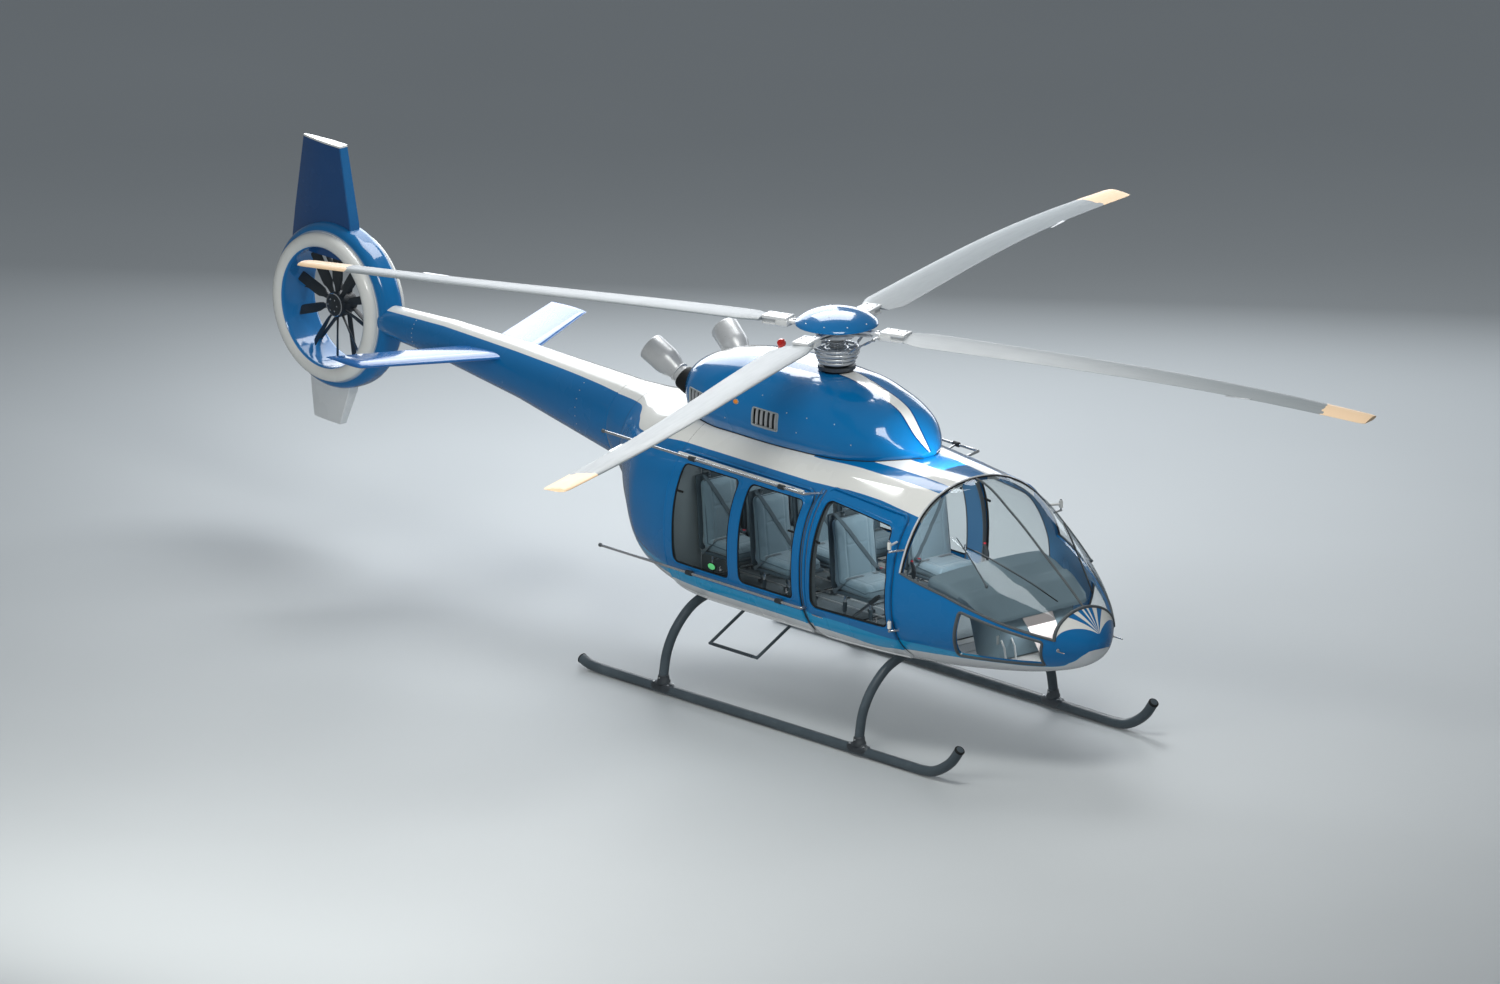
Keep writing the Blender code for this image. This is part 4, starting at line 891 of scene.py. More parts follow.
hullEnamel, cowlEnamel, boomEnamel = hullPaint(), cowlPaint(), boomPaint()
finEnamelAndPaintedLight, shroudEnamelAndPaintedReflection = finPaint(), shroudPaint()
blueEnamel = plainPaint("clearCoatedBlueEnamel", enamel["blue"])
whiteEnamel = plainPaint("clearCoatedWhiteEnamel", enamel["white"])
bladeEnamel = bladePaint()
doorGlass, clearGlass = glassOf("tintedAcrylicPane", "#e6eced"), glassOf("clearAcrylicScreen", "#f8fafa")
polishedSteel = metalOf("polishedSteel", "#d3d6d8", 0.18, 90, 0.03, bare=0.85)
turnedAluminium = metalOf("turnedAluminium", "#d3d7da", 0.34, 140, 0.06, (1, 1, 12), tarnish=0.12, bare=0.6)
castAluminium = metalOf("sandCastAluminium", "#7b8084", 0.48, 220, 0.35, tarnish=0.4)
heatedSteel = metalOf("heatStainedSteel", "#d3d6d8", 0.36, 50, 0.04, dark="#8a8177", tarnish=0.15, bare=0.55)
rubber = mouldedOf("mouldedRubber", "#17191a", "#2b2e30", 0.62, 260, 0.15, 0.35)
powderCoat = mouldedOf("powderCoatedSteel", "#424d54", "#636f77", 0.40, 420, 0.25, 0.5, 0.4)
blackPlastic = mouldedOf("grainedPlastic", "#2a3034", "#474e53", 0.50, 240, 0.3, 0.45)
greyTrim = mouldedOf("mouldedTrimPlastic", "#8f989c", "#a9b1b4", 0.42, 200, 0.15, 0.5)
lining = mouldedOf("vacuumFormedLining", "#8d979b", "#a5adb0", 0.60, 160, 0.2, 0.4)
darkLining = mouldedOf("paddedDashSkin", "#748994", "#889ba4", 0.62, 140, 0.3, 0.35)
carpet = mouldedOf("needledCarpet", "#7a858b", "#98a2a7", 0.95, 500, 0.8, 0.1, 0.5, 0.003)
paleFloor = mouldedOf("aluminiumFloorPaint", "#b9bbbb", "#d4d6d6", 0.45, 90, 0.1, 0.5)
seatCloth = clothOf("wovenSeatCloth", "#7b929e", "#5c707b")
beltWeb = clothOf("wovenBeltWebbing", "#46565f", "#5c6b73", 4.0)
redLens, greenLens = lensOf("redLens", "#c8210f", "#3a0603", 0.15), lensOf("greenLens", "#5fd07e", "#1c5a33", 0.25)
amberLens = lensOf("amberLens", "#e0842a", "#6a3208", 0.05)
redPlastic = mouldedOf("redPushButton", "#a3152a", "#c43448", 0.35, 120, 0.1)
print("paints and materials are mixed")

# The shell
body = {
    "rearX": -1.12, "pillarX": 1.86, "noseX": 3.22, "roofFrontX": 1.825, "bellyZ": 0.90, "roofZ": 2.14,
    "wall": 0.036, "paneSeam": 0.008, "beltSeams": (0.705, 1.805), "ringSeams": (-1.118, -2.30),
    "arch": ((1.24, 1.86), (1.66, 1.86), (1.80, 1.857), (1.95, 1.845), (2.06, 1.83), (2.12, 1.818), (2.20, 1.808),
             (2.34, 1.80)),  # height, x of the windshield's back edge
    "screen": ((1.86, 1.66), (2.32, 1.534), (2.80, 1.368), (3.22, 1.24)),  # x, height of its lower edge
    "chinRound": 0.022, "chin": ((2.36, 0.985), (3.07, 0.98), (3.14, 1.22), (2.47, 1.42)),
}
arcScale = 0.8  # turns to metres, roughly, so that panels laid out by turn are evenly netted


def byTurn(x, arc, out):
    return ringPoint(hull, x, arc / arcScale, out)


def asArc(xs, turns):
    # x and turn as points of a panel laid flat
    return [(x, t * arcScale) for x, t in zip(*np.broadcast_arrays(xs, turns))]


def underPanel(xs, edge):
    # a panel that runs under the body from one side's edge to the other's
    far = 2 * math.pi - edge
    outline = asArc(xs, edge) + asArc(xs[-1], np.linspace(edge[-1], far[-1], 60)[1:-1])
    outline += asArc(xs[::-1], far[::-1]) + asArc(xs[0], np.linspace(far[0], edge[0], 60)[1:-1])
    return cleaned(outline)


def onSide(sign):
    return lambda x, z, out: sidePoint(hull, x, z, sign, out)


def turnAtHeight(x, z):
    return turnAt(hull, x, sidePoint(hull, x, z, 1)[..., 1], np.asarray(z, float))


def archX(z):
    return np.interp(z, *zip(*body["arch"]))


def screenZ(x):
    return np.interp(x, *zip(*body["screen"]))


def archAtTurn(turn):
    x = np.full(np.shape(turn), 1.83)
    for _ in range(6):
        x = archX(ringPoint(hull, x, turn)[..., 2])
    return x


def lineOnSide(line, sign, out=0.0, table=hull):
    return sidePoint(table, line[:, 0], line[:, 1], sign, out)


def sideRoute(outline, sign, spacing=0.018):
    return lineOnSide(evenSteps(outline, spacing), sign)


def makeShell():
    print("shell")
    wall, rearX, pillarX, noseX = (body[key] for key in ("wall", "rearX", "pillarX", "noseX"))
    xs = np.linspace(rearX, body["roofFrontX"], 110)
    edge = turnAtHeight(xs, body["roofZ"])
    cross = np.linspace(-edge[-1], edge[-1], 60)
    roof = asArc(xs, -edge) + asArc(archAtTurn(cross), cross) + asArc(xs[::-1], edge[::-1])
    roof += asArc(rearX, np.linspace(edge[0], -edge[0], 60)[1:-1])
    shape = bmesh.new()
    addSheet(shape, byTurn, cleaned(roof), (), 0.04, 0.0, -wall)
    makePiece("roofShell", shape, [hullEnamel, lining], stands=["roof_shell"], table=hull)

    xs = np.linspace(rearX, pillarX, 110)
    shape = bmesh.new()
    addSheet(shape, byTurn, underPanel(xs, turnAtHeight(xs, body["bellyZ"])), (), 0.04, 0.0, -wall)
    makePiece("bellyShell", shape, [hullEnamel, lining], stands=["belly_shell"], table=hull)

    for side, sign in sides:
        zs = np.linspace(body["bellyZ"], body["roofZ"], 60)
        outline = [(rearX, z) for z in zs[::-1]] + [(x, zs[0]) for x in xs[1:-1]]
        outline += [(archX(z), z) for z in zs]
        outline += [(x, zs[-1]) for x in np.linspace(archX(zs[-1]), rearX, 110)[1:-1]]
        holes = [roundOutline(door["doorway"], door["doorwayRound"]) for door in (frontDoor, slideDoor)]
        shape = bmesh.new()
        addSheet(shape, onSide(sign), outline, holes, 0.04, 0.0, -wall)
        makePiece("doorFrame" + side, shape, [hullEnamel, innerEnamel], stands=["door_frame_" + side.lower()],
                  table=hull)

    shape = bmesh.new()
    addRingSkin(shape, np.linspace(-2.60, rearX, 60))
    makePiece("rearBody", shape, [hullEnamel, lining], stands=["rear_shell"], table=hull)

    xs = np.linspace(pillarX, noseX, 60)
    chin = roundOutline(body["chin"], body["chinRound"])
    turns = turnAtHeight(chin[:, 0], chin[:, 1])
    holes = [np.stack([chin[:, 0], t * arcScale], -1) for t in (turns, 2 * math.pi - turns)]
    shape = bmesh.new()
    addSheet(shape, byTurn, underPanel(xs, turnAtHeight(xs, screenZ(xs))), holes, 0.035, 0.0, -wall)
    makePiece("noseShell", shape, [hullEnamel, innerEnamel], stands=["nose_shell"], table=hull)

    shape = bmesh.new()
    tip = hullRows[-1][0]
    xs = np.concatenate([np.linspace(noseX, 3.40, 16), tip - 0.045 * np.linspace(0.9, 0, 10) ** 1.6])
    addRingSkin(shape, xs, True)
    makePiece("noseCap", shape, [hullEnamel, lining], stands=["nose_cap"], table=hull)


def cleaned(outline):
    # drops points that repeat the one before
    kept = []
    for point in outline:
        if not kept or (abs(point[0] - kept[-1][0]) + abs(point[1] - kept[-1][1])) > 1e-5:
            kept.append((float(point[0]), float(point[1])))
    if abs(kept[0][0] - kept[-1][0]) + abs(kept[0][1] - kept[-1][1]) < 1e-5:
        kept.pop()
    return kept


def addRingSkin(shape, xs, tip=False):
    # a whole length of the body with an inside; a tip closes its front end
    count = 96
    part = bmesh.new()
    skins = []
    for out, last in ((0.0, xs[-1]), (-body["wall"], xs[-1] - (0.09 if tip else 0))):
        stations = [x for x in xs if x <= last + 1e-6]
        rings = [ringPoint(hull, np.full(count, x), fullTurn(count), out) for x in stations]
        rows = [[part.verts.new(p) for p in ring] for ring in rings]
        if tip:
            end = stations[-1] + (0.004 if out == 0.0 else 0.0)
            rows.append([part.verts.new((end, 0, rowsAt(hull, stations[-1])[1]))])
        skins.append(rows)
    for slot, rows in enumerate(skins):
        before = len(part.faces)
        for row, after in zip(rows, rows[1:]):
            joinRings(part, row, after)
        part.faces.ensure_lookup_table()
        for face in part.faces[before:]:
            face.material_index = slot
    joinRings(part, skins[0][0], skins[1][0])
    if not tip:
        joinRings(part, skins[0][-1], skins[1][-1])
    stamp(shape, part, None)


def makeScreens():
    print("windshield and chin windows")
    noseX, seam = body["noseX"], body["paneSeam"]
    xs = np.linspace(body["pillarX"], noseX, 50)
    edge = turnAtHeight(xs, screenZ(xs))
    outline = [(x, seam * arcScale / max(rowsAt(hull, x)[0], 0.3)) for x in np.linspace(1.806, noseX, 50)]
    outline += asArc(noseX, np.linspace(seam * 3, edge[-1], 20)[1:-1]) + asArc(xs[::-1], edge[::-1])
    up = np.linspace(edge[0], seam * 2, 40)[1:-1]
    outline = cleaned(outline + asArc(archAtTurn(up), up))
    chin = growOutline(roundOutline(body["chin"], body["chinRound"]), 0.002)
    for side, sign in sides:
        shape = bmesh.new()
        addSheet(shape, lambda x, v, out: byTurn(x, sign * v, out), outline, (), 0.035, -0.001, -0.008)
        makePiece("windshield" + side, shape, [clearGlass, clearGlass], stands=["windshield_" + side.lower()],
                  table=hull)
        shape = bmesh.new()
        addSheet(shape, onSide(sign), chin, (), 0.035, -0.002, -0.008)
        makePiece("chinWindow" + side, shape, [clearGlass, clearGlass], stands=["chin_window_" + side.lower()],
                  table=hull)


def makeScreenTrim():
    print("windshield trim")
    noseX = body["noseX"]
    edge = float(turnAtHeight(body["pillarX"], body["screen"][0][1]))
    turns = np.linspace(-edge, edge, 130)
    arch = ringPoint(hull, archAtTurn(turns), turns)
    shape = bmesh.new()
    addTrim(shape, arch, bead(-0.004, 0.016, -0.004, 0.010))
    addTrim(shape, arch, bead(-0.018, -0.003, -0.006, 0.006), slot=1)
    makePiece("windshieldArchTrim", shape, [archTrimPaint, rubber], sharp=50)

    shape = bmesh.new()
    xs = np.linspace(1.80, noseX + 0.004, 70)
    top = np.stack([xs, np.zeros(70), rowsAt(hull, xs)[2]], -1)
    addTrim(shape, top, bead(-0.010, 0.010, -0.010, 0.005))
    makePiece("windshieldCentreSeam", shape, [sealGrey], sharp=50)

    shape = bmesh.new()
    xs = np.linspace(body["pillarX"] - 0.004, noseX, 80)
    for _, sign in sides:
        addTrim(shape, sidePoint(hull, xs, screenZ(xs), sign), bead(-0.012, 0.012, -0.010, 0.008))
    cross = float(turnAtHeight(noseX, screenZ(noseX)))
    turns = np.linspace(-cross - 0.02, cross + 0.02, 50)
    addTrim(shape, ringPoint(hull, np.full(50, noseX - 0.002), turns), bead(-0.017, 0.017, -0.012, 0.012))
    makePiece("windshieldLowerSeal", shape, [sealGrey], sharp=50)

    shape = bmesh.new()
    chin = roundCorners(body["chin"], body["chinRound"], 10)
    for _, sign in sides:
        addTrim(shape, sideRoute(chin, sign), bead(-0.015, 0.015, -0.010, 0.008), loop=True)
    makePiece("chinWindowFrames", shape, [sealGrey], sharp=50)


def makePanelSeams():
    # shut lines of the doors run on round the belly, and the shell's own joints show as fine lines
    print("panel seams")
    shape = bmesh.new()
    for x in body["beltSeams"]:
        start = float(turnAtHeight(x, 0.845))
        turns = np.linspace(start, 2 * math.pi - start, 70)
        addTrim(shape, ringPoint(hull, np.full(70, x), turns), bead(-0.0042, 0.0042, -0.003, 0.0012, 4))
    for x in body["ringSeams"]:
        ring = ringPoint(hull, np.full(140, x), fullTurn(140))
        addTrim(shape, ring, bead(-0.0024, 0.0024, -0.003, 0.0008, 4), loop=True)
    makePiece("panelSeams", shape, [rubber], sharp=60)


# Doors: outlines as x and height
frontDoor = {
    "edge": ((0.745, 0.84), (1.79, 0.84), (1.79, 1.62), (1.74, 2.10), (0.775, 2.17)),
    "windows": (((0.795, 1.15), (1.735, 1.15), (1.735, 1.60), (1.64, 2.00), (0.83, 2.08)),),
    "doorway": ((0.80, 0.94), (1.73, 0.94), (1.73, 1.60), (1.68, 2.03), (0.82, 2.09)),
    "edgeRound": 0.07, "windowRound": 0.07, "doorwayRound": 0.08, "skinOut": 0.027, "skinIn": 0.010,
    "catch": (1.62, 1.185), "pullBar": ((0.80, 1.74, 0.012), (0.825, 1.738, 0.012), (0.885, 1.73, 0.010)),
    "recess": ((0.785, 1.045), (0.945, 1.040), (0.945, 1.100), (0.785, 1.105)),
}
slideDoor = {
    "edge": ((-1.108, 0.84), (0.665, 0.84), (0.665, 2.11), (-1.108, 2.11)),
    "windows": (((-0.99, 1.17), (-0.26, 1.17), (-0.26, 2.02), (-0.99, 2.02)),
                ((-0.13, 1.17), (0.575, 1.17), (0.575, 2.02), (-0.13, 2.02))),
    "doorway": ((-1.04, 0.94), (0.60, 0.94), (0.60, 2.05), (-1.04, 2.05)),
    "pane": ((-1.02, 1.14), (0.605, 1.14), (0.605, 2.05), (-1.02, 2.05)), "paneRound": 0.07,
    "edgeRound": 0.10, "windowRound": 0.06, "doorwayRound": 0.08, "skinOut": 0.027, "skinIn": 0.019,
    "catches": ((-0.36, 1.225), (0.50, 1.215)), "pullBars": ((-0.985, -0.90, 1.80), (0.49, 0.565, 1.76)),
    "lamp": (-0.47, 1.235),
}
rails = {
    "rod": 0.012, "backX": -1.90, "frontX": 0.706, "upper": (1.005, 2.136), "lower": (1.040, 1.12),
    "tubeZ": 2.085, "tube": (-1.085, 0.525), "tubeFeet": (-1.0, -0.28, 0.46), "sliders": (-0.743, 0.420),
    "hinge": (1.80, 0.985), "hingeHeights": (1.196, 1.904),
}
sides = (("Right", -1), ("Left", 1))


def hullOut(x, z, sign, out=0.0):
    return Vector(sidePoint(hull, x, z, sign, out))


def addDoorSkin(shape, door, sign):
    edge = roundOutline(door["edge"], door["edgeRound"], 10, 0.018)
    windows = [roundOutline(w, door["windowRound"], 10, 0.018) for w in door["windows"]]
    thin, thinHeights = 0.011, (0.84, 0.97)  # the lower edge is thinner, so that it lies close to the belly

    def place(x, z, out):
        return sidePoint(hull, x, z, sign, out - np.interp(z, thinHeights, (thin, 0.0)) * (out > 0.02))

    addSheet(shape, place, growOutline(edge, -0.012), [growOutline(w, 0.010) for w in windows], 0.035,
             door["skinOut"], door["skinIn"])
    route = growOutline(edge, -0.013)
    base = door["skinIn"] - 0.001
    drops = np.interp(route[:, 1], thinHeights, (thin * 0.9, 0.0))
    spots = np.array([sidePoint(hull, x, z, sign, -drop) for (x, z), drop in zip(route, drops)])
    addTrim(shape, spots, bead(-0.013, 0.013, base, 0.034), loop=True)
    for window in windows:
        for shift, strip, slot in ((0.012, bead(-0.012, 0.012, base, 0.0335), 0),
                                   (-0.0065, bead(-0.0075, 0.0075, base, 0.0275), 2)):
            addTrim(shape, lineOnSide(growOutline(window, shift), sign), strip, slot=slot, loop=True)
    return windows


def addCatch(shape, x, z, sign, out, tall, thick):
    # a small catch on the glass: a knob with its tongue
    addRod(shape, hullOut(x, z, sign, 0.012), hullOut(x, z, sign, out), thick * 2, 4, 14)
    tongue = [hullOut(x, z, sign, out - 0.002), hullOut(x + 0.006, z + tall, sign, out - 0.002)]
    addTube(shape, tongue, thick, 8, 4)


def makeFrontDoors():
    print("front doors")
    hingeX, hingeY = rails["hinge"]
    for side, sign in sides:
        name = "front_door_" + side.lower()
        shape = bmesh.new()
        windows = addDoorSkin(shape, frontDoor, sign)
        # white hinge barrels on short straps
        for height in rails["hingeHeights"]:
            spot = Vector((hingeX, hingeY * sign, height))
            addTube(shape, [spot, hullOut(hingeX - 0.05, height, sign, 0.022)], 0.011, 12, 3)
            addRod(shape, spot - Vector((0, 0, 0.034)), spot + Vector((0, 0, 0.034)), 0.0175, 3, 20, 0.005)
            addRod(shape, spot + Vector((0, 0, 0.030)), spot + Vector((0, 0, 0.040)), 0.009, 4, 12)
        # flush handle with its recess, below the window's back corner
        handle = [hullOut(0.80 + k * 0.016, 1.075 - k * 0.0007, sign, 0.033) for k in range(9)]
        addTube(shape, handle, [0.004, 0.008, *[0.009] * 5, 0.008, 0.004], 10, 4, squash=0.7)
        recess = roundCorners(frontDoor["recess"], 0.02, 6)
        addTrim(shape, sideRoute(recess, sign, 0.012), bead(-0.003, 0.003, 0.020, 0.0285, 4), slot=2, loop=True)
        # black pull bar inside the window's back edge, and a catch on the glass
        addTube(shape, [hullOut(x, z, sign, out) for x, z, out in frontDoor["pullBar"]], 0.011, 10, 2)
        addCatch(shape, *frontDoor["catch"], sign, 0.032, 0.04, 0.005)
        makePiece("frontDoor" + side, shape, [hullEnamel, innerEnamel, rubber, whiteEnamel, polishedSteel], name,
                  [name], table=hull)
        shape = bmesh.new()
        addSheet(shape, onSide(sign), growOutline(windows[0], 0.004), (), 0.04, 0.021, 0.0165)
        makePiece("frontDoorPane" + side, shape, [doorGlass, doorGlass], name, ["front_door_glass_" + side.lower()],
                  table=hull)


def makeSlidingDoors():
    print("sliding doors")
    tubeZ = rails["tubeZ"]
    for side, sign in sides:
        name = "sliding_door_" + side.lower()
        shape = bmesh.new()
        addDoorSkin(shape, slideDoor, sign)
        tubeY = hullOut(-0.3, tubeZ, sign, 0.038).y
        addTube(shape, [(x, tubeY, tubeZ) for x in np.linspace(*rails["tube"], 8)], 0.0175, 18, 3)
        near, far = sorted((tubeY, tubeY - sign * 0.02))
        for x in rails["tubeFeet"]:
            addBlock(shape, (x - 0.03, near, tubeZ - 0.012), (x + 0.03, far, tubeZ + 0.012), 0.003, 3)
        for x in rails["sliders"]:
            for (y, z), footZ in ((rails["upper"], tubeZ), (rails["lower"], rails["lower"][1])):
                foot = hullOut(x, footZ, sign, 0.026)
                knee = (foot + Vector((x, sign * y, z))) / 2
                addTube(shape, [foot, knee, (x, sign * (y - 0.006), z)], 0.010, 10, 4)
                addSleeve(shape, x, sign * y, z, 0.037, 0.0225, rails["rod"] + 0.0012, 5)
        for x, z in slideDoor["catches"]:
            addCatch(shape, x, z, sign, 0.031, 0.035, 0.0045)
        # black pull bars at the windows' outer edges
        for x0, x1, z in slideDoor["pullBars"]:
            bar = [hullOut(x, z, sign, out) for x, out in ((x0, 0.022), ((x0 + x1) / 2, 0.024), (x1, 0.022))]
            addTube(shape, bar, 0.010, 10, 2)
        # green lamp on the rear pane
        place = standOn(hull, hullOut(*slideDoor["lamp"], sign, 0.022)) @ Matrix.Diagonal((1.25, 0.8, 1, 1))
        addLathe(shape, [(0, -0.004), (0.042, -0.004), (0.044, 0.002), (0.040, 0.007), (0.036, 0.006)], place, 28, 2)
        addLathe(shape, [(0.037, 0.004), (0.034, 0.010), (0.022, 0.015), (0, 0.017)], place, 28, 6)
        finishes = [hullEnamel, innerEnamel, rubber, whiteEnamel, polishedSteel, blackPlastic, greenLens]
        makePiece("slidingDoor" + side, shape, finishes, name, [name], table=hull)
        shape = bmesh.new()
        pane = roundOutline(slideDoor["pane"], slideDoor["paneRound"])
        addSheet(shape, onSide(sign), pane, (), 0.04, 0.0165, 0.0115)
        makePiece("slidingDoorPane" + side, shape, [doorGlass, doorGlass], name,
                  ["sliding_door_glass_" + side.lower()], table=hull)


def addSleeve(shape, x, y, z, half, radius, bore, slot):
    ring = [(bore, -half), (radius - 0.004, -half), (radius, -half + 0.004), (radius, half - 0.004),
            (radius - 0.004, half), (bore, half)]
    addLathe(shape, ring, Matrix.Translation((x, y, z)) @ Matrix.Rotation(math.pi / 2, 4, "Y"), 24, slot, True)


def makeRails():
    # the rods the doors slide on, their feet and pillar strip, and the front doors' pins
    print("door rails")
    backX, frontX, (hingeX, hingeY) = rails["backX"], rails["frontX"], rails["hinge"]
    for side, sign in sides:
        shape = bmesh.new()
        for y, z in (rails["upper"], rails["lower"]):
            addTube(shape, [(x, sign * y, z) for x in np.linspace(backX, frontX, 12)], rails["rod"], 16)
            addRod(shape, (backX - 0.012, sign * y, z), (backX + 0.014, sign * y, z), 0.0165, 2, 16)
        for footZ, (y, z) in ((2.10, rails["upper"]), (rails["lower"][1], rails["lower"])):
            addTube(shape, [hullOut(frontX, footZ, sign), (frontX, sign * y, z)], 0.013)
        for height in rails["hingeHeights"]:
            pin = Vector((hingeX, hingeY * sign, height - 0.055))
            addTube(shape, [pin, hullOut(1.835, height - 0.055, sign, -0.01)], 0.0095, 10)
            addRod(shape, pin - Vector((0, 0, 0.012)), pin + Vector((0, 0, 0.100)), 0.0075, 0, 14)
            addBall(shape, pin, 0.014, 0, (1, 1, 0.8), 14)
        strip = sidePoint(hull, np.full(60, frontX), np.linspace(1.0, 2.13, 60), sign)
        addTrim(shape, strip, bead(-0.016, 0.016, -0.004, 0.013), slot=1)
        for shift in (-0.026, 0.026):
            addTrim(shape, strip + np.array([shift, 0, 0]), bead(-0.004, 0.004, -0.004, 0.005), slot=2)
        makePiece("doorRails" + side, shape, [polishedSteel, hullEnamel, sealGrey], sharp=50)

        # rubber weatherstrip round both doorways
        shape = bmesh.new()
        for door in (frontDoor, slideDoor):
            outline = growOutline(roundOutline(door["edge"], door["edgeRound"]), -0.012)
            addTrim(shape, lineOnSide(outline, sign), bead(-0.011, 0.011, -0.003, 0.0025), loop=True)
            outline = roundOutline(door["doorway"], door["doorwayRound"])
            addTrim(shape, lineOnSide(outline, sign, -0.018), bead(-0.008, 0.006, -0.020, 0.0195), loop=True)
        makePiece("doorWeatherstrip" + side, shape, [sealGrey], sharp=50)


innerEnamel = innerPaint()
archTrimPaint = plainPaint("archTrimEnamel", "#c5cacd")
sealGrey = mouldedOf("extrudedSealRubber", "#50575b", "#6a7175", 0.5, 240, 0.1, 0.4)
makeShell()
makeScreens()
makeScreenTrim()
makePanelSeams()
makeFrontDoors()
makeSlidingDoors()
makeRails()

# Upper deck: engine cowl, louvres, exhausts, beacon
upperDeck = {
    "mastHole": 0.135, "beaconX": -0.72, "lampX": -0.65, "lampZ": 2.590,
    "louvres": ((-0.43, -0.11, 2.437, 2.592), (-1.33, -1.00, 2.40, 2.56)), "slats": 5,
    "rivets": ((-0.02, 2.62), (0.22, 2.62), (0.52, 2.62), (0.12, 2.475), (0.72, 2.475), (-0.36, 2.70), (-0.78, 2.42)),
    "exhaust": ((-1.50, 0.335, 2.515), (-1.94, 0.425, 2.775)), "exhaustRadii": (0.080, 0.125), "exhaustHole": 0.092,
}


def seamTurn(x):
    # where the cowl's section meets the body's roof
    low, high = np.zeros(np.shape(x)), np.full(np.shape(x), math.pi)
    for _ in range(40):
        middle = (low + high) / 2
        points = ringPoint(cowl, x, middle)
        outside = fullness(hull, points[..., 0], points[..., 1], points[..., 2]) > 1
        low, high = np.where(outside, middle, low), np.where(outside, high, middle)
    return low


def addCowlRivets(shape, spots, slot):
    for x, z, sign in spots:
        addLathe(shape, [(0, -0.002), (0.0062, -0.002), (0.0062, 0.0008), (0.004, 0.0026), (0, 0.0032)],
                 standOn(cowl, sidePoint(cowl, x, z, sign)), 12, slot)


def louvreOutline(x0, x1, z0, z1, spacing=0.02):
    return roundOutline(((x0, z0), (x1, z0), (x1, z1), (x0, z1)), 0.012, 4, spacing)


def makeCowl():
    print("engine cowl")
    xs = np.linspace(cowlRows[0][0], cowlRows[-1][0], 130)
    edge = seamTurn(xs)
    outline = asArc(xs, -edge) + asArc(xs[-1], np.linspace(-edge[-1], edge[-1], 30)[1:-1])
    outline += asArc(xs[::-1], edge[::-1]) + asArc(xs[0], np.linspace(edge[0], -edge[0], 40)[1:-1])
    holes = []
    for louvre in upperDeck["louvres"]:
        box = louvreOutline(*louvre)
        turns = turnAt(cowl, box[:, 0], lineOnSide(box, 1, 0.0, cowl)[:, 1], box[:, 1])
        holes += [np.stack([box[:, 0], side * turns * arcScale], -1) for side in (1, -1)]
    ring = [(upperDeck["mastHole"] * math.cos(a), upperDeck["mastHole"] * math.sin(a)) for a in fullTurn(40)]
    holes.append([(x, float(turnAt(cowl, x, y, topZ(cowl, x, y))) * arcScale) for x, y in ring])
    for sign in (1, -1):
        start, end = (Vector((p[0], sign * p[1], p[2])) for p in upperDeck["exhaust"])
        holes.append(tubeHole(start, end, upperDeck["exhaustHole"]))
    shape = bmesh.new()
    addSheet(shape, lambda x, v, out: ringPoint(cowl, x, v / arcScale, out), cleaned(outline), holes, 0.035,
             0.0, -0.012)
    # rounded ends
    for x, edgeTurn, way in ((xs[0], edge[0], -1), (xs[-1], edge[-1], 1)):
        full = ringPoint(cowl, np.full(41, x), np.linspace(-edgeTurn, edgeTurn, 41))
        heart = np.array([x, 0, (full[0][2] + full[20][2]) / 2])
        rings = []
        for a in np.linspace(0, math.pi / 2, 6):
            out = np.array([way * 0.012 * math.sin(a), 0, 0])
            rings.append([tuple(heart + (p - heart) * max(math.cos(a), 0.02) + out) for p in full])
        addLoft(shape, rings, 0, None, False)
    addCowlRivets(shape, [(x, z, sign) for x, z in upperDeck["rivets"] for sign in (-1, 1)], 1)
    makePiece("engineCowl", shape, [cowlEnamel, turnedAluminium], stands=["engine_cowl"],
              table=cowl)

    # a dark seal where the cowl sits on the roof
    shape = bmesh.new()
    for sign in (1, -1):
        addTrim(shape, ringPoint(cowl, xs, sign * edge), bead(-0.007, 0.007, -0.004, 0.007))
    makePiece("cowlSeal", shape, [rubber], sharp=60)

    for side, sign in sides:
        shape = bmesh.new()
        for x0, x1, z0, z1 in upperDeck["louvres"]:
            box = louvreOutline(x0, x1, z0, z1, 0.015)
            addTrim(shape, lineOnSide(box, sign, 0.0, cowl), bead(-0.009, 0.009, -0.012, 0.005), cowl, 0, True)
            addSheet(shape, lambda x, z, out: sidePoint(cowl, x, z, sign, out), box, (), 0.04, -0.045, -0.049,
                     (1, 1, 1))
            for k in range(upperDeck["slats"]):
                x = x0 + (x1 - x0) * (k + 0.7) / (upperDeck["slats"] + 0.4)
                zs = np.linspace(z0 - 0.004, z1 + 0.004, 8)
                addSlat(shape, [sidePoint(cowl, x, z, sign, -0.010) for z in zs], sign)
        makePiece("cowlLouvres" + side, shape, [greyTrim, blackPlastic, turnedAluminium],
                  sharp=45)

    shape = bmesh.new()
    for sign in (1, -1):
        place = standOn(cowl, sidePoint(cowl, upperDeck["lampX"], upperDeck["lampZ"], sign))
        place = place @ Matrix.Diagonal((1.3, 0.9, 1, 1))
        addLathe(shape, [(0, -0.003), (0.026, -0.003), (0.027, 0.003), (0.022, 0.006)], place, 24, 1)
        addLathe(shape, [(0.022, 0.004), (0.019, 0.011), (0.010, 0.015), (0, 0.016)], place, 24, 0)
    makePiece("cowlLamps", shape, [amberLens, greyTrim])


def topZ(table, x, y):
    # height of the upper surface over a spot
    half, middle, top, bottom, powTop, powLow = rowsAt(table, x)
    return middle + (top - middle) * (1 - np.clip(np.abs(y) / half, 0, 1) ** powTop) ** (1 / powTop)


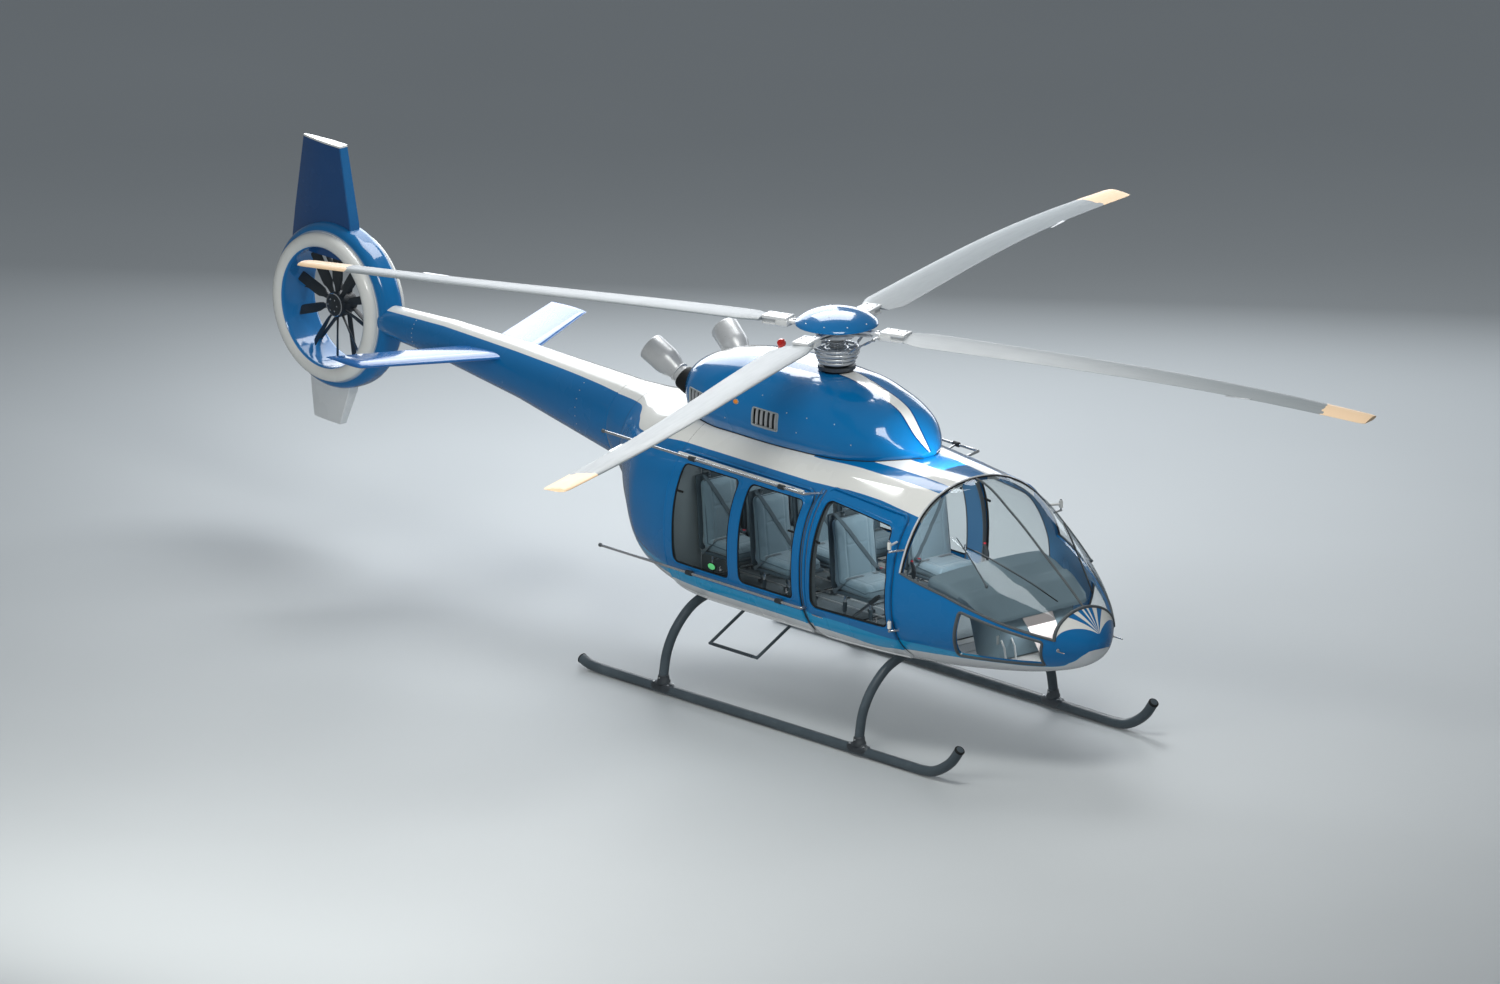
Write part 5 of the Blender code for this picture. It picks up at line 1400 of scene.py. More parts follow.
def tubeHole(start, end, radius):
    # the outline a slanting pipe cuts in the cowl, as x and arc
    way = (end - start).normalized()
    side = way.cross(Vector((0, 0, 1))).normalized()
    up = side.cross(way)
    backX, frontX = cowlRows[0][0], cowlRows[-1][0]
    reach = np.linspace(-0.25, 0.45, 281)
    outline = []
    for k in range(36):
        a = 2 * math.pi * k / 36
        foot = start + (side * math.cos(a) + up * math.sin(a)) * radius
        line = np.array(foot)[None, :] + np.array(way)[None, :] * reach[:, None]
        inside = fullness(cowl, np.clip(line[:, 0], backX, frontX), line[:, 1], line[:, 2]) < 1
        last = np.nonzero(inside & (line[:, 0] > backX + 0.004))[0]
        spot = line[last[-1]] if len(last) else line[0]
        outline.append((spot[0], float(turnAt(cowl, *spot)) * arcScale))
    return outline


def addSlat(shape, line, sign):
    # one upright louvre slat, turned so that its back edge stands in
    rings = []
    for point in line:
        corners = ((-0.0075, 0), (0.0045, -0.016), (0.0085, -0.016), (-0.002, 0))
        rings.append([Vector(point) + Vector((x, sign * y, 0)) for x, y in corners])
    addLoft(shape, rings, 2)


def makeExhausts():
    print("exhausts and beacon")
    narrow, wide = upperDeck["exhaustRadii"]
    for side, sign in sides:
        start, end = (Vector((p[0], sign * p[1], p[2])) for p in upperDeck["exhaust"])
        length, place = (end - start).length, towards(start, end)
        outer = [(narrow, -0.06), (narrow, 0.08), (narrow + 0.001, 0.155)]
        for t in np.linspace(0.08, 1, 14):
            outer.append((narrow + (wide - 0.002 - narrow) * t * t * (3 - 2 * t), length * (0.30 + 0.34 * t)))
        outer += [(wide - 0.001, length * 0.80), (wide, length - 0.010), (wide - 0.001, length - 0.003),
                  (wide - 0.004, length)]
        inner = [(r - 0.007, h - (0.004 if k == 0 else 0)) for k, (r, h) in enumerate(reversed(outer))]
        shape = bmesh.new()
        addLathe(shape, outer + inner, place, 56, 0, True)
        # a soot-dark liner inside and a clamp ring where the pipe leaves its collar
        liner = [(narrow - 0.004, 0.02), (narrow - 0.009, 0.02), (0, 0.018), (0, 0.014), (narrow - 0.004, 0.014)]
        addLathe(shape, liner, place, 40, 1)
        ring = [(narrow + 0.011 * math.cos(a) + 0.003, 0.165 + 0.010 * math.sin(a)) for a in fullTurn(10)]
        addLathe(shape, ring, place, 48, 0, True)
        makePiece("exhaust" + side, shape, [heatedSteel, rubber], stands=["exhaust_" + side.lower()],
                  sharp=50)
        # rubber collar at the cowl
        shape = bmesh.new()
        tube = ((0.026, -0.10), (0.028, 0.06), (0.026, 0.095), (0.018, 0.112), (0.008, 0.116), (0.003, 0.112),
                (0.003, -0.10))
        addLathe(shape, [(narrow + r, h) for r, h in tube], place, 48, 0, True)
        makePiece("exhaustCollar" + side, shape, [rubber], sharp=50)
    place = Matrix.Translation((upperDeck["beaconX"], 0, float(topZ(cowl, upperDeck["beaconX"], 0.0))))
    shape = bmesh.new()
    foot = [(0, -0.01), (0.042, -0.01), (0.042, 0.012), (0.038, 0.020), (0.034, 0.040), (0.031, 0.043), (0, 0.043)]
    addLathe(shape, foot, place, 36, 0)
    dome = [(0.040 * math.sin(a), 0.086 - 0.040 * math.cos(a)) for a in np.linspace(0.9, math.pi, 14)[:-1]]
    addLathe(shape, [(0.029, 0.040), *dome, (0, 0.126)], place, 36, 1)
    makePiece("beacon", shape, [blackPlastic, redLens], stands=["beacon"])


# Rotor
rotor = {
    "radius": 5.2, "root": 0.70, "chords": (0.380, 0.240), "bow": 0.090, "pitch": 2.9, "turn": 20.9,
    "height": 3.284, "droop": 0.124, "thick": 0.034, "tab": (3.82, 4.06, 0.72), "mast": 0.055,
    "swashRings": ((0.150, 2.992, 0.016), (0.165, 3.030, 0.017), (0.180, 3.070, 0.017), (0.192, 3.108, 0.014)),
    "starPlates": ((3.212, 3.246), (3.278, 3.3125)),
    "cap": ((0.0, 3.460), (0.06, 3.458), (0.12, 3.450), (0.18, 3.436), (0.24, 3.416), (0.29, 3.392), (0.33, 3.365),
            (0.352, 3.346), (0.3625, 3.330)),
    "capRim": ((0.3615, 3.321), (0.352, 3.3165), (0.30, 3.3160), (0.0, 3.3160)),
}
bladeNames = ("Front", "Left", "Rear", "Right")


def bladeTurn(k):
    return Matrix.Rotation(math.radians(rotor["turn"]) + k * math.pi / 2, 4, "Z")


def bladeSection(chord, thick, ahead):
    upper = [(1.0, 0.03), (0.88, 0.15), (0.75, 0.32), (0.62, 0.43), (0.50, 0.51), (0.38, 0.57), (0.28, 0.58),
             (0.18, 0.53), (0.10, 0.42), (0.05, 0.30), (0.02, 0.20), (0.006, 0.10)]
    lower = [(0.0, 0.0), (0.006, -0.09), (0.02, -0.16), (0.06, -0.25), (0.12, -0.32), (0.22, -0.40), (0.32, -0.42),
             (0.45, -0.38), (0.60, -0.30), (0.78, -0.17), (0.90, -0.08), (1.0, -0.03)]
    rise = math.sin(math.radians(rotor["pitch"]))
    spots = [((0.42 - along) * chord + ahead, up * thick) for along, up in upper + lower]
    return [(y, z + y * rise) for y, z in spots]


def bladeShape(share):
    # chord, and how far the blade is bowed ahead of its straight line, from root to tip
    root, end = rotor["chords"]
    swell = min(1.0, share / 0.045)
    chord = (root + (end - root) * share) * (0.72 + 0.28 * swell * swell * (3 - 2 * swell))
    return chord, rotor["bow"] * math.sin(math.pi * share ** 1.4) + 0.02 * (1 - share)


def makeBlades():
    print("rotor blades")
    shares = {*np.round(np.linspace(0, 0.14, 15), 4), *np.round(np.linspace(0.14, 0.985, 60), 4), 0.992, 0.997, 1.0}
    tabFrom, tabTo, tabShare = rotor["tab"]
    for k, name in enumerate(bladeNames):
        shape = bmesh.new()
        rings = []
        for share in sorted(shares):
            reach = rotor["root"] + (rotor["radius"] - rotor["root"]) * share
            chord, ahead = bladeShape(share)
            tip = 1.0 - 0.12 * max(0.0, (share - 0.985) / 0.015) ** 2
            height = rotor["height"] - rotor["droop"] * share ** 1.6
            rings.append([(reach, y * tip, height + z * (tip if share > 0.99 else 1)) for y, z in
                          bladeSection(chord, rotor["thick"], ahead)])
        addLoft(shape, rings)
        # trim tab at the trailing edge
        chord, ahead = bladeShape(tabShare)
        trail = ahead - 0.58 * chord
        z = rotor["height"] - rotor["droop"] * tabShare ** 1.6 + trail * math.sin(math.radians(rotor["pitch"]))
        addBlock(shape, (tabFrom, trail - 0.020, z - 0.0012), (tabTo, trail + 0.008, z + 0.0012), 0.0005, 1, None, 1)
        makePiece("rotorBlade" + name, shape, [bladeEnamel, turnedAluminium], "main_rotor",
                  ["rotor_blade_" + name.lower()], 40, pose=bladeTurn(k))


def addTorus(shape, radius, height, thick, slot, steps=56):
    ring = [(radius + thick * math.cos(a), height + thick * math.sin(a)) for a in fullTurn(12)]
    addLathe(shape, ring, None, steps, slot, True)


def makeHub():
    print("rotor head")
    shape = bmesh.new()
    mast = rotor["mast"]
    # mast, with a nut and a splined collar
    addLathe(shape, [(0, 2.9762), (mast, 2.9762), (mast, 3.13), (mast + 0.014, 3.136), (mast + 0.014, 3.166),
                     (mast, 3.172), (mast, 3.20), (0, 3.20)], None, 40, 0)
    for k in range(20):
        spin = Matrix.Rotation(2 * math.pi * k / 20, 4, "Z")
        addBlock(shape, (mast + 0.004, -0.004, 3.176), (mast + 0.010, 0.004, 3.200), 0.001, 0, spin, 1)
    # swashplate: stacked rings that widen upwards, joined by spokes and lugs
    for radius, height, thick in rotor["swashRings"]:
        addTorus(shape, radius, height, thick, 1)
    plate = [(mast + 0.004, 2.985), (0.140, 2.985), (0.144, 3.000), (mast + 0.03, 3.012), (mast + 0.004, 3.06)]
    addLathe(shape, plate, None, 48, 1, True)
    addTorus(shape, 0.100, 3.098, 0.011, 1, 40)
    for k in range(8):
        a = math.radians(rotor["turn"]) + k * math.pi / 4
        spoke = ((0.150, 2.995), (0.176, 3.05), (0.192, 3.108))
        lug = ((mast - 0.005, 3.085), (0.105, 3.098), (0.188, 3.106))
        for route, radius in ((spoke, 0.010), (lug, 0.009)) if k % 2 else ((spoke, 0.010),):
            addTube(shape, [(math.cos(a) * r, math.sin(a) * r, z) for r, z in route], radius, 8, 1)
    # star plate: two discs set apart, bolts round the rim
    for low, high in rotor["starPlates"]:
        disc = [(0, low), (0.160, low), (0.168, low + 0.006), (0.168, high - 0.006), (0.160, high), (0, high)]
        addLathe(shape, disc, None, 56, 2)
    addLathe(shape, [(0, 3.20), (0.110, 3.20), (0.118, 3.21), (0.118, 3.30), (0, 3.30)], None, 48, 1)
    for k in range(12):
        a = 2 * math.pi * (k + 0.5) / 12
        addHexBolt(shape, (0.143 * math.cos(a), 0.143 * math.sin(a), 3.213), (0, 0, -1), 0.011, 0.010, 0)
    for k in range(4):
        addArm(shape, bladeTurn(k), rotor["height"])
    makePiece("rotorHead", shape, [polishedSteel, turnedAluminium, whiteMetal], "main_rotor", ["rotor_hub"],
              42)

    shape = bmesh.new()
    addLathe(shape, smoothProfile(rotor["cap"]) + list(rotor["capRim"]), None, 96, 0)
    for k in range(10):
        a = 2 * math.pi * (k + 0.3) / 10
        for radius in (0.322,) if k % 2 else (0.322, 0.20):
            height = float(np.interp(radius, *zip(*rotor["cap"])))
            addLathe(shape, [(0, -0.003), (0.0075, -0.003), (0.0075, 0.0005), (0.005, 0.0035), (0, 0.0045)],
                     Matrix.Translation((radius * math.cos(a), radius * math.sin(a), height)), 14, 1)
    makePiece("rotorCap", shape, [blueEnamel, turnedAluminium], "main_rotor", ["rotor_cap"], 50)


def smoothProfile(points):
    return [(max(0.0, p.x), p.z) for p in smoothRoute([(r, 0, h) for r, h in points], 4)]


def addHexBolt(shape, spot, way, radius, height, slot):
    # a washer and a six-sided head
    place = towards(spot, Vector(spot) + Vector(way).normalized())
    wide, head = radius * 1.15, radius * 0.95
    addLathe(shape, [(0, 0), (wide, 0), (wide, height * 0.2), (0, height * 0.2)], place, 20, slot)
    bolt = [(0, height * 0.15), (head, height * 0.15), (head, height * 0.85), (radius * 0.8, height), (0, height)]
    addLathe(shape, bolt, place, 6, slot)


def addArm(shape, place, hub):
    # flexible arm with its clamp plates, the blade's grip block, its pitch horn and link
    section = ((-1, -0.6), (-0.6, -1), (0.6, -1), (1, -0.6), (1, 0.6), (0.6, 1), (-0.6, 1), (-1, 0.6))
    arm = ((0.14, 0.062, 0.020), (0.20, 0.055, 0.018), (0.28, 0.034, 0.014), (0.38, 0.030, 0.014),
           (0.44, 0.045, 0.018), (0.47, 0.060, 0.022), (0.50, 0.062, 0.022))
    addLoft(shape, [[(x, y * w, hub + z * h) for y, z in section] for x, w, h in arm], 2, place)
    section = ((-1, -0.040), (1, -0.040), (1, -0.026), (-1, -0.026))
    clamp = ((0.13, 0.070), (0.22, 0.050), (0.34, 0.020))
    addLoft(shape, [[(x, y * w, hub + z) for y, z in section] for x, w in clamp], 1, place)
    for x0, x1, y0, y1, z0, z1, edge, slot, segments in (
            (0.440, 0.560, -0.083, 0.083, -0.040, 0.016, 0.009, 2, 3),
            (0.452, 0.692, -0.076, 0.080, 0.012, 0.039, 0.006, 2, 3),
            (0.530, 0.692, -0.072, 0.074, -0.0395, -0.022, 0.005, 2, 3),
            (0.540, 0.6985, -0.055, 0.060, -0.030, 0.022, 0.004, 1, 2)):
        addBlock(shape, (x0, y0, hub + z0), (x1, y1, hub + z1), edge, slot, place, segments)
    for x in (0.49, 0.575, 0.655):
        for y in (-0.045, 0.048):
            addHexBolt(shape, place @ Vector((x, y, hub + 0.0385)), (0, 0, 1), 0.0085, 0.0065, 0)
    # damper ball between the arm and the grip, and the pitch horn with its link
    addBall(shape, place @ Vector((0.405, 0.0, hub)), 0.030, 0, (0.8, 1, 0.9), 18)
    horn = [place @ Vector((x, y, hub + z)) for x, y, z in
            ((0.45, -0.075, -0.012), (0.438, -0.110, -0.014), (0.430, -0.141, -0.016))]
    addTube(shape, horn, [0.020, 0.015, 0.012], 12, 1, squash=0.7)
    top, low = place @ Vector((0.430, -0.140, hub - 0.022)), place @ Vector((0.150, -0.104, 3.100))
    addTube(shape, [top, top.lerp(low, 0.14), top.lerp(low, 0.86), low], 0.0085)
    for start, end in ((0.14, 0.34), (0.66, 0.86)):
        addTube(shape, [top.lerp(low, start), top.lerp(low, end)], 0.0125, 6)
    for spot in (top, low):
        addBall(shape, spot, 0.0165, 0, (1, 1, 1), 16)


# Tail
tail = {
    "boom": ((-6.02, 0.125, 2.085), (-5.00, 0.185, 2.075), (-4.00, 0.245, 2.015), (-2.6003, 0.354, 1.8825)),
    "fanX": -6.48, "fanZ": 2.085, "duct": 0.530, "shroud": 0.735, "lip": 0.590, "lipTube": 0.065, "lipY": 0.155,
    "barrel": ((0.654, 0.128), (0.678, 0.126), (0.702, 0.115), (0.723, 0.090), (0.7335, 0.055)),
    "rivetXs": (-5.35, -3.05), "bands": ((-2.62, 0.016), (-6.00, 0.020)), "vanes": 7, "fanBlades": 10,
    # fins: height, back, front, half thickness
    "fins": (((2.50, -7.08, -6.24, 0.062), (2.84, -7.035, -6.275, 0.058), (3.514, -6.926, -6.421, 0.048)),
             ((1.023, -6.79, -6.42, 0.040), (1.34, -6.83, -6.29, 0.055), (1.55, -6.85, -6.25, 0.060))),
    # stabiliser at its root and tip: front edge, chord, thickness
    "span": 1.30, "stabiliserZ": 2.140, "stabiliser": ((-4.04, -4.73), (0.52, 0.44), (0.060, 0.045)),
}


def aroundFan(turn, axis, y=0.0):
    return Matrix.Translation((tail["fanX"], y, tail["fanZ"])) @ Matrix.Rotation(turn, 4, axis)


def boomAt(x):
    # straight runs between the rows
    xs = [row[0] for row in tail["boom"]]
    return np.interp(x, xs, [row[1] for row in tail["boom"]]), np.interp(x, xs, [row[2] for row in tail["boom"]])


def shroudProfile():
    # radius and height: the duct, round one lip, over the barrel and round the other lip
    profile = [(tail["duct"], 0.0), (tail["duct"], 0.05), (tail["duct"], 0.10)]
    for a in np.linspace(math.pi, -0.35, 24):
        profile.append((tail["lip"] + tail["lipTube"] * math.cos(a), tail["lipY"] + tail["lipTube"] * math.sin(a)))
    profile += smoothProfile([*tail["barrel"], (tail["shroud"], 0.015)]) + [(tail["shroud"], 0.0)]
    return profile + [(r, -h) for r, h in reversed(profile[1:-1])]


def makeTail():
    print("tail boom and shroud")
    xs = np.linspace(tail["boom"][0][0], tail["boom"][-1][0], 48)
    radius, middle = boomAt(xs)
    turns = fullTurn(64)
    shape = bmesh.new()
    rows = zip(xs, radius, middle)
    addLoft(shape, [[(x, r * math.sin(t), m + r * math.cos(t)) for t in turns] for x, r, m in rows])
    for x in tail["rivetXs"]:
        r, m = boomAt(x)
        for a in fullTurn(26):
            spot = Vector((x, r * math.sin(a), m + r * math.cos(a)))
            addLathe(shape, [(0, -0.002), (0.005, -0.002), (0.005, 0.0006), (0.003, 0.002), (0, 0.0024)],
                     towards(spot, spot + Vector((0, math.sin(a), math.cos(a)))), 10, 1)
    makePiece("tailBoom", shape, [boomEnamel, turnedAluminium], stands=["tail_boom"], sharp=50)

    # joint bands at the boom's root and at the shroud
    shape = bmesh.new()
    for x, wide in tail["bands"]:
        r, m = boomAt(x)
        strip = ((-wide, -0.002), (-wide * 0.6, 0.0022), (wide * 0.6, 0.0022), (wide, -0.002))
        band = [[(x + dx, (r + h) * math.sin(t), m + (r + h) * math.cos(t)) for dx, h in strip] for t in turns]
        addLoft(shape, band + band[:1], 0, None, False)
    makePiece("boomJointBands", shape, [boomEnamel], sharp=60)

    shape = bmesh.new()
    addLathe(shape, shroudProfile(), aroundFan(math.pi / 2, "X"), 112, 0, True)
    for fin in tail["fins"]:
        addFin(shape, fin, 1)
    # stator: a hub with a spun cone and seven vanes with rounded leading edges
    addLathe(shape, [(0, 0.047), (0.088, 0.047), (0.094, 0.055), (0.095, 0.115), (0.085, 0.140), (0.060, 0.153),
                     (0.030, 0.158), (0, 0.1595)], aroundFan(-math.pi / 2, "X"), 48, 2)
    vane = [(0.011 * math.sin(a) * (1 if math.cos(a) < 0 else 0.6), 0.1025 - 0.027 * math.cos(a))
            for a in fullTurn(14)]
    for k in range(tail["vanes"]):
        addLoft(shape, [[(x, y, r) for x, y in vane] for r in (0.085, 0.30, tail["duct"] + 0.006)], 2,
                aroundFan(2 * math.pi * (k + 0.3) / tail["vanes"], "Y"))
    makePiece("tailShroud", shape, [shroudEnamelAndPaintedReflection, finEnamelAndPaintedLight, blackPlastic], stands=["tail_shroud"],
              sharp=32)

    print("stabiliser")
    shape = bmesh.new()
    rows = []
    span, soft = tail["span"], 0.03  # the tips are rounded over the last 30 mm
    for y in np.concatenate([[-1.30, -1.297, -1.29], np.linspace(-1.27, 1.27, 45), [1.29, 1.297, 1.30]]):
        share = abs(y) / span
        front, chord, thick = (root + (end - root) * share for root, end in tail["stabiliser"])
        flat = 1 - max(0.0, (abs(y) - span + soft) / soft) ** 2 * 0.55
        rows.append([(front - a * chord, y, tail["stabiliserZ"] + u * thick * flat) for a, u in stabiliserSection()])
    addLoft(shape, rows)
    makePiece("stabiliser", shape, [stabiliserEnamel], stands=["stabiliser"], sharp=45)


def stabiliserSection():
    upper = [(1.0, 0.10), (0.85, 0.24), (0.65, 0.39), (0.45, 0.48), (0.28, 0.50), (0.15, 0.44), (0.06, 0.31),
             (0.015, 0.16)]
    return upper + [(0.0, 0.0)] + [(a, -u) for a, u in reversed(upper)]


def addFin(shape, rows, slot):
    # slab-sided fin with a flat leading face
    fine = []
    for low, high in zip(rows, rows[1:]):
        for t in np.linspace(0, 1, 9)[:-1]:
            fine.append([a + (b - a) * t for a, b in zip(low, high)])
    fine.append(list(rows[-1]))
    rings = []
    soft = 0.007
    for z, back, front, half in fine:
        side = [(back, half * 0.22), (back + 0.10, half * 0.62), (back + 0.30, half), (front - soft, half),
                (front, half - soft)]
        rings.append([(x, -y, z) for x, y in side] + [(x, y, z) for x, y in reversed(side)])
    addLoft(shape, rings, slot)


def makeFan():
    print("tail fan")
    shape = bmesh.new()
    spin = aroundFan(math.pi / 2, "X")  # its axis points to starboard after the turn
    addLathe(shape, [(0, -0.044), (0.100, -0.044), (0.113, -0.036), (0.1145, 0.0), (0.1145, 0.030), (0.108, 0.046),
                     (0.090, 0.062), (0.060, 0.074), (0.030, 0.079), (0, 0.080)], spin, 56, 0)
    addLathe(shape, [(0.093, 0.058), (0.099, 0.052), (0.103, 0.058), (0.097, 0.064)], spin, 48, 1, True)
    for k in range(6):
        a = 2 * math.pi * k / 6
        spot = spin @ Vector((0.055 * math.cos(a), 0.055 * math.sin(a), 0.074))
        addHexBolt(shape, spot, (0, -1, 0), 0.007, 0.005, 1)
    # a blade from root to tip: radius, half chord, pitch, half thickness
    stations = ((0.09, 0.020, 60, 0.010), (0.12, 0.021, 58, 0.010), (0.165, 0.026, 48, 0.009),
                (0.21, 0.044, 40, 0.008), (0.26, 0.047, 36, 0.007), (0.34, 0.047, 33, 0.0065),
                (0.43, 0.046, 31, 0.006), (0.490, 0.045, 30, 0.0055), (0.504, 0.040, 30, 0.004),
                (0.506, 0.034, 30, 0.002))
    rings = []
    for r, wide, angle, thick in stations:
        sine, cosine = math.sin(math.radians(angle)), math.cos(math.radians(angle))
        ring = []
        for a in fullTurn(16):
            across = wide * math.cos(a)
            up = thick * math.sin(a) * (1.15 if math.cos(a) > 0 else 0.85)
            ring.append((across * cosine - up * sine, across * sine + up * cosine, r))
        rings.append(ring)
    for k in range(tail["fanBlades"]):
        addLoft(shape, rings, 0, aroundFan(2 * math.pi * k / tail["fanBlades"], "Y", -0.015))
    makePiece("tailFan", shape, [blackPlastic, polishedSteel], "tail_fan", ["tail_fan"], 40)


# Landing gear
gear = {
    "skidY": 1.1135, "skidRadius": 0.045, "tubeRadius": 0.042, "crossXs": {"front": 1.555, "rear": -0.992},
    "skid": ((-2.05, 0.085), (-1.95, 0.055), (-1.80, 0.045), (2.36, 0.045), (2.50, 0.062), (2.63, 0.115),
             (2.76, 0.205), (2.86, 0.325)),
    "cross": ((0, 0.828), (0.35, 0.825), (0.60, 0.798), (0.80, 0.720), (0.97, 0.560), (1.07, 0.380),
              (1.1085, 0.200), (1.1135, 0.11)),
    "wearShoes": ((-1.60, -1.12), (1.72, 2.20), (-0.2, 0.5)), "band": (0.43, 0.816),
    "stepArm": ((0.42, 0.772), (0.60, 0.672), (0.80, 0.559), (0.895, 0.505), (0.914, 0.494)),
    "stepArmXs": (-0.614, -0.003), "stepBar": (0.914, 0.495), "stepRadius": 0.014,
}


def makeSkids():
    print("landing gear")
    for side, sign in sides:
        y = sign * gear["skidY"]
        low, straightTo = gear["skidRadius"], gear["skid"][3][0]
        corner = smoothRoute([(x, y, z) for x, z in gear["skid"][:3]], 6)[:-1]
        straight = [Vector((x, y, low)) for x in np.linspace(gear["skid"][2][0], straightTo, 22)][:-1]
        toe = smoothRoute([(x, y, z) for x, z in gear["skid"][3:]], 8)
        shape = bmesh.new()
        addTube(shape, corner + straight + toe, gear["skidRadius"], 28)
        # rubber toe and heel plugs, wear shoes under the tube
        for end, inner, out in ((toe[-1], toe[-2], 0.014), (corner[0], corner[1], 0.012)):
            way = (end - inner).normalized()
            addRod(shape, end - way * 0.012, end + way * out, 0.047, 1, 28, 0.008)
        shoe = [(0.046 * math.sin(a), 0.046 * math.cos(a)) for a in np.linspace(-1.1, 1.1, 11)]
        shoe += [(0.043 * math.sin(a), 0.043 * math.cos(a)) for a in np.linspace(1.1, -1.1, 11)]
        for x0, x1 in gear["wearShoes"]:
            addLoft(shape, [[(x, y + a, low - b) for a, b in shoe] for x in (x0, x0 + 0.01, x1 - 0.01, x1)], 2)
        makePiece("skid" + side, shape, [powderCoat, rubber, castAluminium], stands=["skid_" + side.lower()],
                  sharp=40)
    for end, x in gear["crossXs"].items():
        half = smoothRoute([(x, y, z) for y, z in gear["cross"]], 7)
        route = [Vector((p.x, -p.y, p.z)) for p in reversed(half)] + half[1:]
        shape = bmesh.new()
        addTube(shape, route, gear["tubeRadius"], 24)
        for sign in (-1, 1):
            addShoe(shape, x, sign * gear["skidY"])
            addBand(shape, x, sign * gear["band"][0], gear["band"][1])
        makePiece("crossTube" + end.capitalize(), shape, [powderCoat, castAluminium, turnedAluminium],
                  stands=["cross_tube_" + end], sharp=40)
    barY, barZ = gear["stepBar"]
    for side, sign in sides:
        shape = bmesh.new()
        for x in gear["stepArmXs"]:
            inward = 0.006 if x < -0.3 else -0.006  # the arm's end turns into the bar
            arm = [(x + (inward if k >= 4 else 0), sign * y, z) for k, (y, z) in enumerate(gear["stepArm"])]
            addTube(shape, arm, gear["stepRadius"], 14)
            near, far = sorted((sign * 0.40, sign * 0.44))
            addBlock(shape, (x - 0.03, near, 0.758), (x + 0.03, far, 0.772), 0.003, 1)
        bar = [(x, sign * barY, barZ) for x in np.linspace(-0.620, 0.003, 12)]
        addTube(shape, bar, gear["stepRadius"], 14)
        addTread(shape, sign * barY, barZ)
        makePiece("step" + side, shape, [powderCoat, castAluminium, rubber], stands=["step_" + side.lower()],
                  sharp=40)


def addShoe(shape, x, y):
    # cast saddle on the skid, with four bolts and a foot for the tube
    rings = []
    for dx in (-0.128, -0.118, -0.06, 0.0, 0.06, 0.118, 0.128):
        full = 1 - 0.35 * (abs(dx) / 0.13) ** 3
        ring = []
        for a in np.linspace(-0.25 * math.pi, 1.25 * math.pi, 22):
            ring.append((x + dx, y + (0.058 * full) * math.cos(a), 0.052 + 0.060 * full * max(math.sin(a), -0.35)))
        rings.append(ring)
    addLoft(shape, rings, 1)
    foot = [(0, 0.09), (0.060, 0.09), (0.060, 0.118), (0.052, 0.130), (0.049, 0.165), (0.043, 0.170), (0, 0.170)]
    addLathe(shape, foot, Matrix.Translation((x, y, 0)), 32, 1)
    for dx in (-0.09, 0.09):
        for dy in (-0.030, 0.030):
            addHexBolt(shape, Vector((x + dx, y + dy, 0.094)), (0, 0, 1), 0.009, 0.007, 2)
    addRod(shape, (x, y - 0.055, 0.148), (x, y + 0.055, 0.148), 0.007, 2, 12)


def addBand(shape, x, y, z, radius=0.047):
    # clamp band where the tube meets the belly
    rings = []
    for a in np.linspace(0, 2 * math.pi, 25)[:-1]:
        across, up = radius * math.cos(a), radius * math.sin(a)
        rings.append([(x + across * share, y + shift, z + up * share)
                      for share, shift in ((1, -0.018), (1, 0.018), (0.93, 0.018), (0.93, -0.018))])
    addLoft(shape, rings + rings[:1], 2, None, False)


def addTread(shape, y, z):
    # grip rings on the step's outer bar
    ring = [(0.0146, -0.004), (0.0156, -0.002), (0.0156, 0.002), (0.0146, 0.004), (0.0135, 0.004), (0.0135, -0.004)]
    for x in np.linspace(-0.56, -0.06, 21):
        addLathe(shape, ring, Matrix.Translation((x, y, z)) @ Matrix.Rotation(math.pi / 2, 4, "Y"), 18, 2, True)


whiteMetal = metalOf("lacqueredAluminium", "#e2e5e6", 0.38, 180, 0.10, tarnish=0.05, bare=0.3)
stabiliserEnamel = plainPaint("clearCoatedStabiliserEnamel", "#1b66ac")
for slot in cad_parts["engine_and_gearbox"].material_slots:
    slot.material = castAluminium
makeCowl()
makeExhausts()
makeBlades()
makeHub()
makeTail()
makeFan()
makeSkids()

# Cabin
cabin = {
    "floorZ": 0.93, "wallX": -1.06, "pilotYs": (-0.42, 0.42), "mats": ((-1.02, -0.06), (0.0, 0.86), (0.92, 1.86)),
    "seatRails": (-0.28, -0.12, 0.12, 0.28), "wallRibs": (-0.62, -0.25, 0.25, 0.62),
    # seat rows: x, half a seat's width, the middles of the seats
    "rows": {"front": (0.66, 0.25, (-0.42, 0.42)), "middle": (-0.32, 0.22, (-0.5, 0.0, 0.5)),
             "rear": (-1.00, 0.22, (-0.5, 0.0, 0.5))},
    "pedestal": ((2.30, 0.93), (2.60, 0.93), (2.60, 1.29), (2.40, 1.45), (2.18, 1.50), (2.16, 1.40)),
    "hood": ((2.62, 1.27), (2.62, 1.30), (2.40, 1.47), (2.14, 1.575), (1.93, 1.612), (1.905, 1.56), (2.10, 1.44)),
}
padWork = {"voxel": 0.017, "pressure": 4.0, "cap": 0.016, "frames": 20, "sewDepth": 0.006, "sewWidth": 0.009,
           "piping": 0.0042}


def floorHalf(x):
    # half the cabin's width inside the lining, at the floor
    return sidePoint(hull, x, 0.905, 1, -0.042)[..., 1]


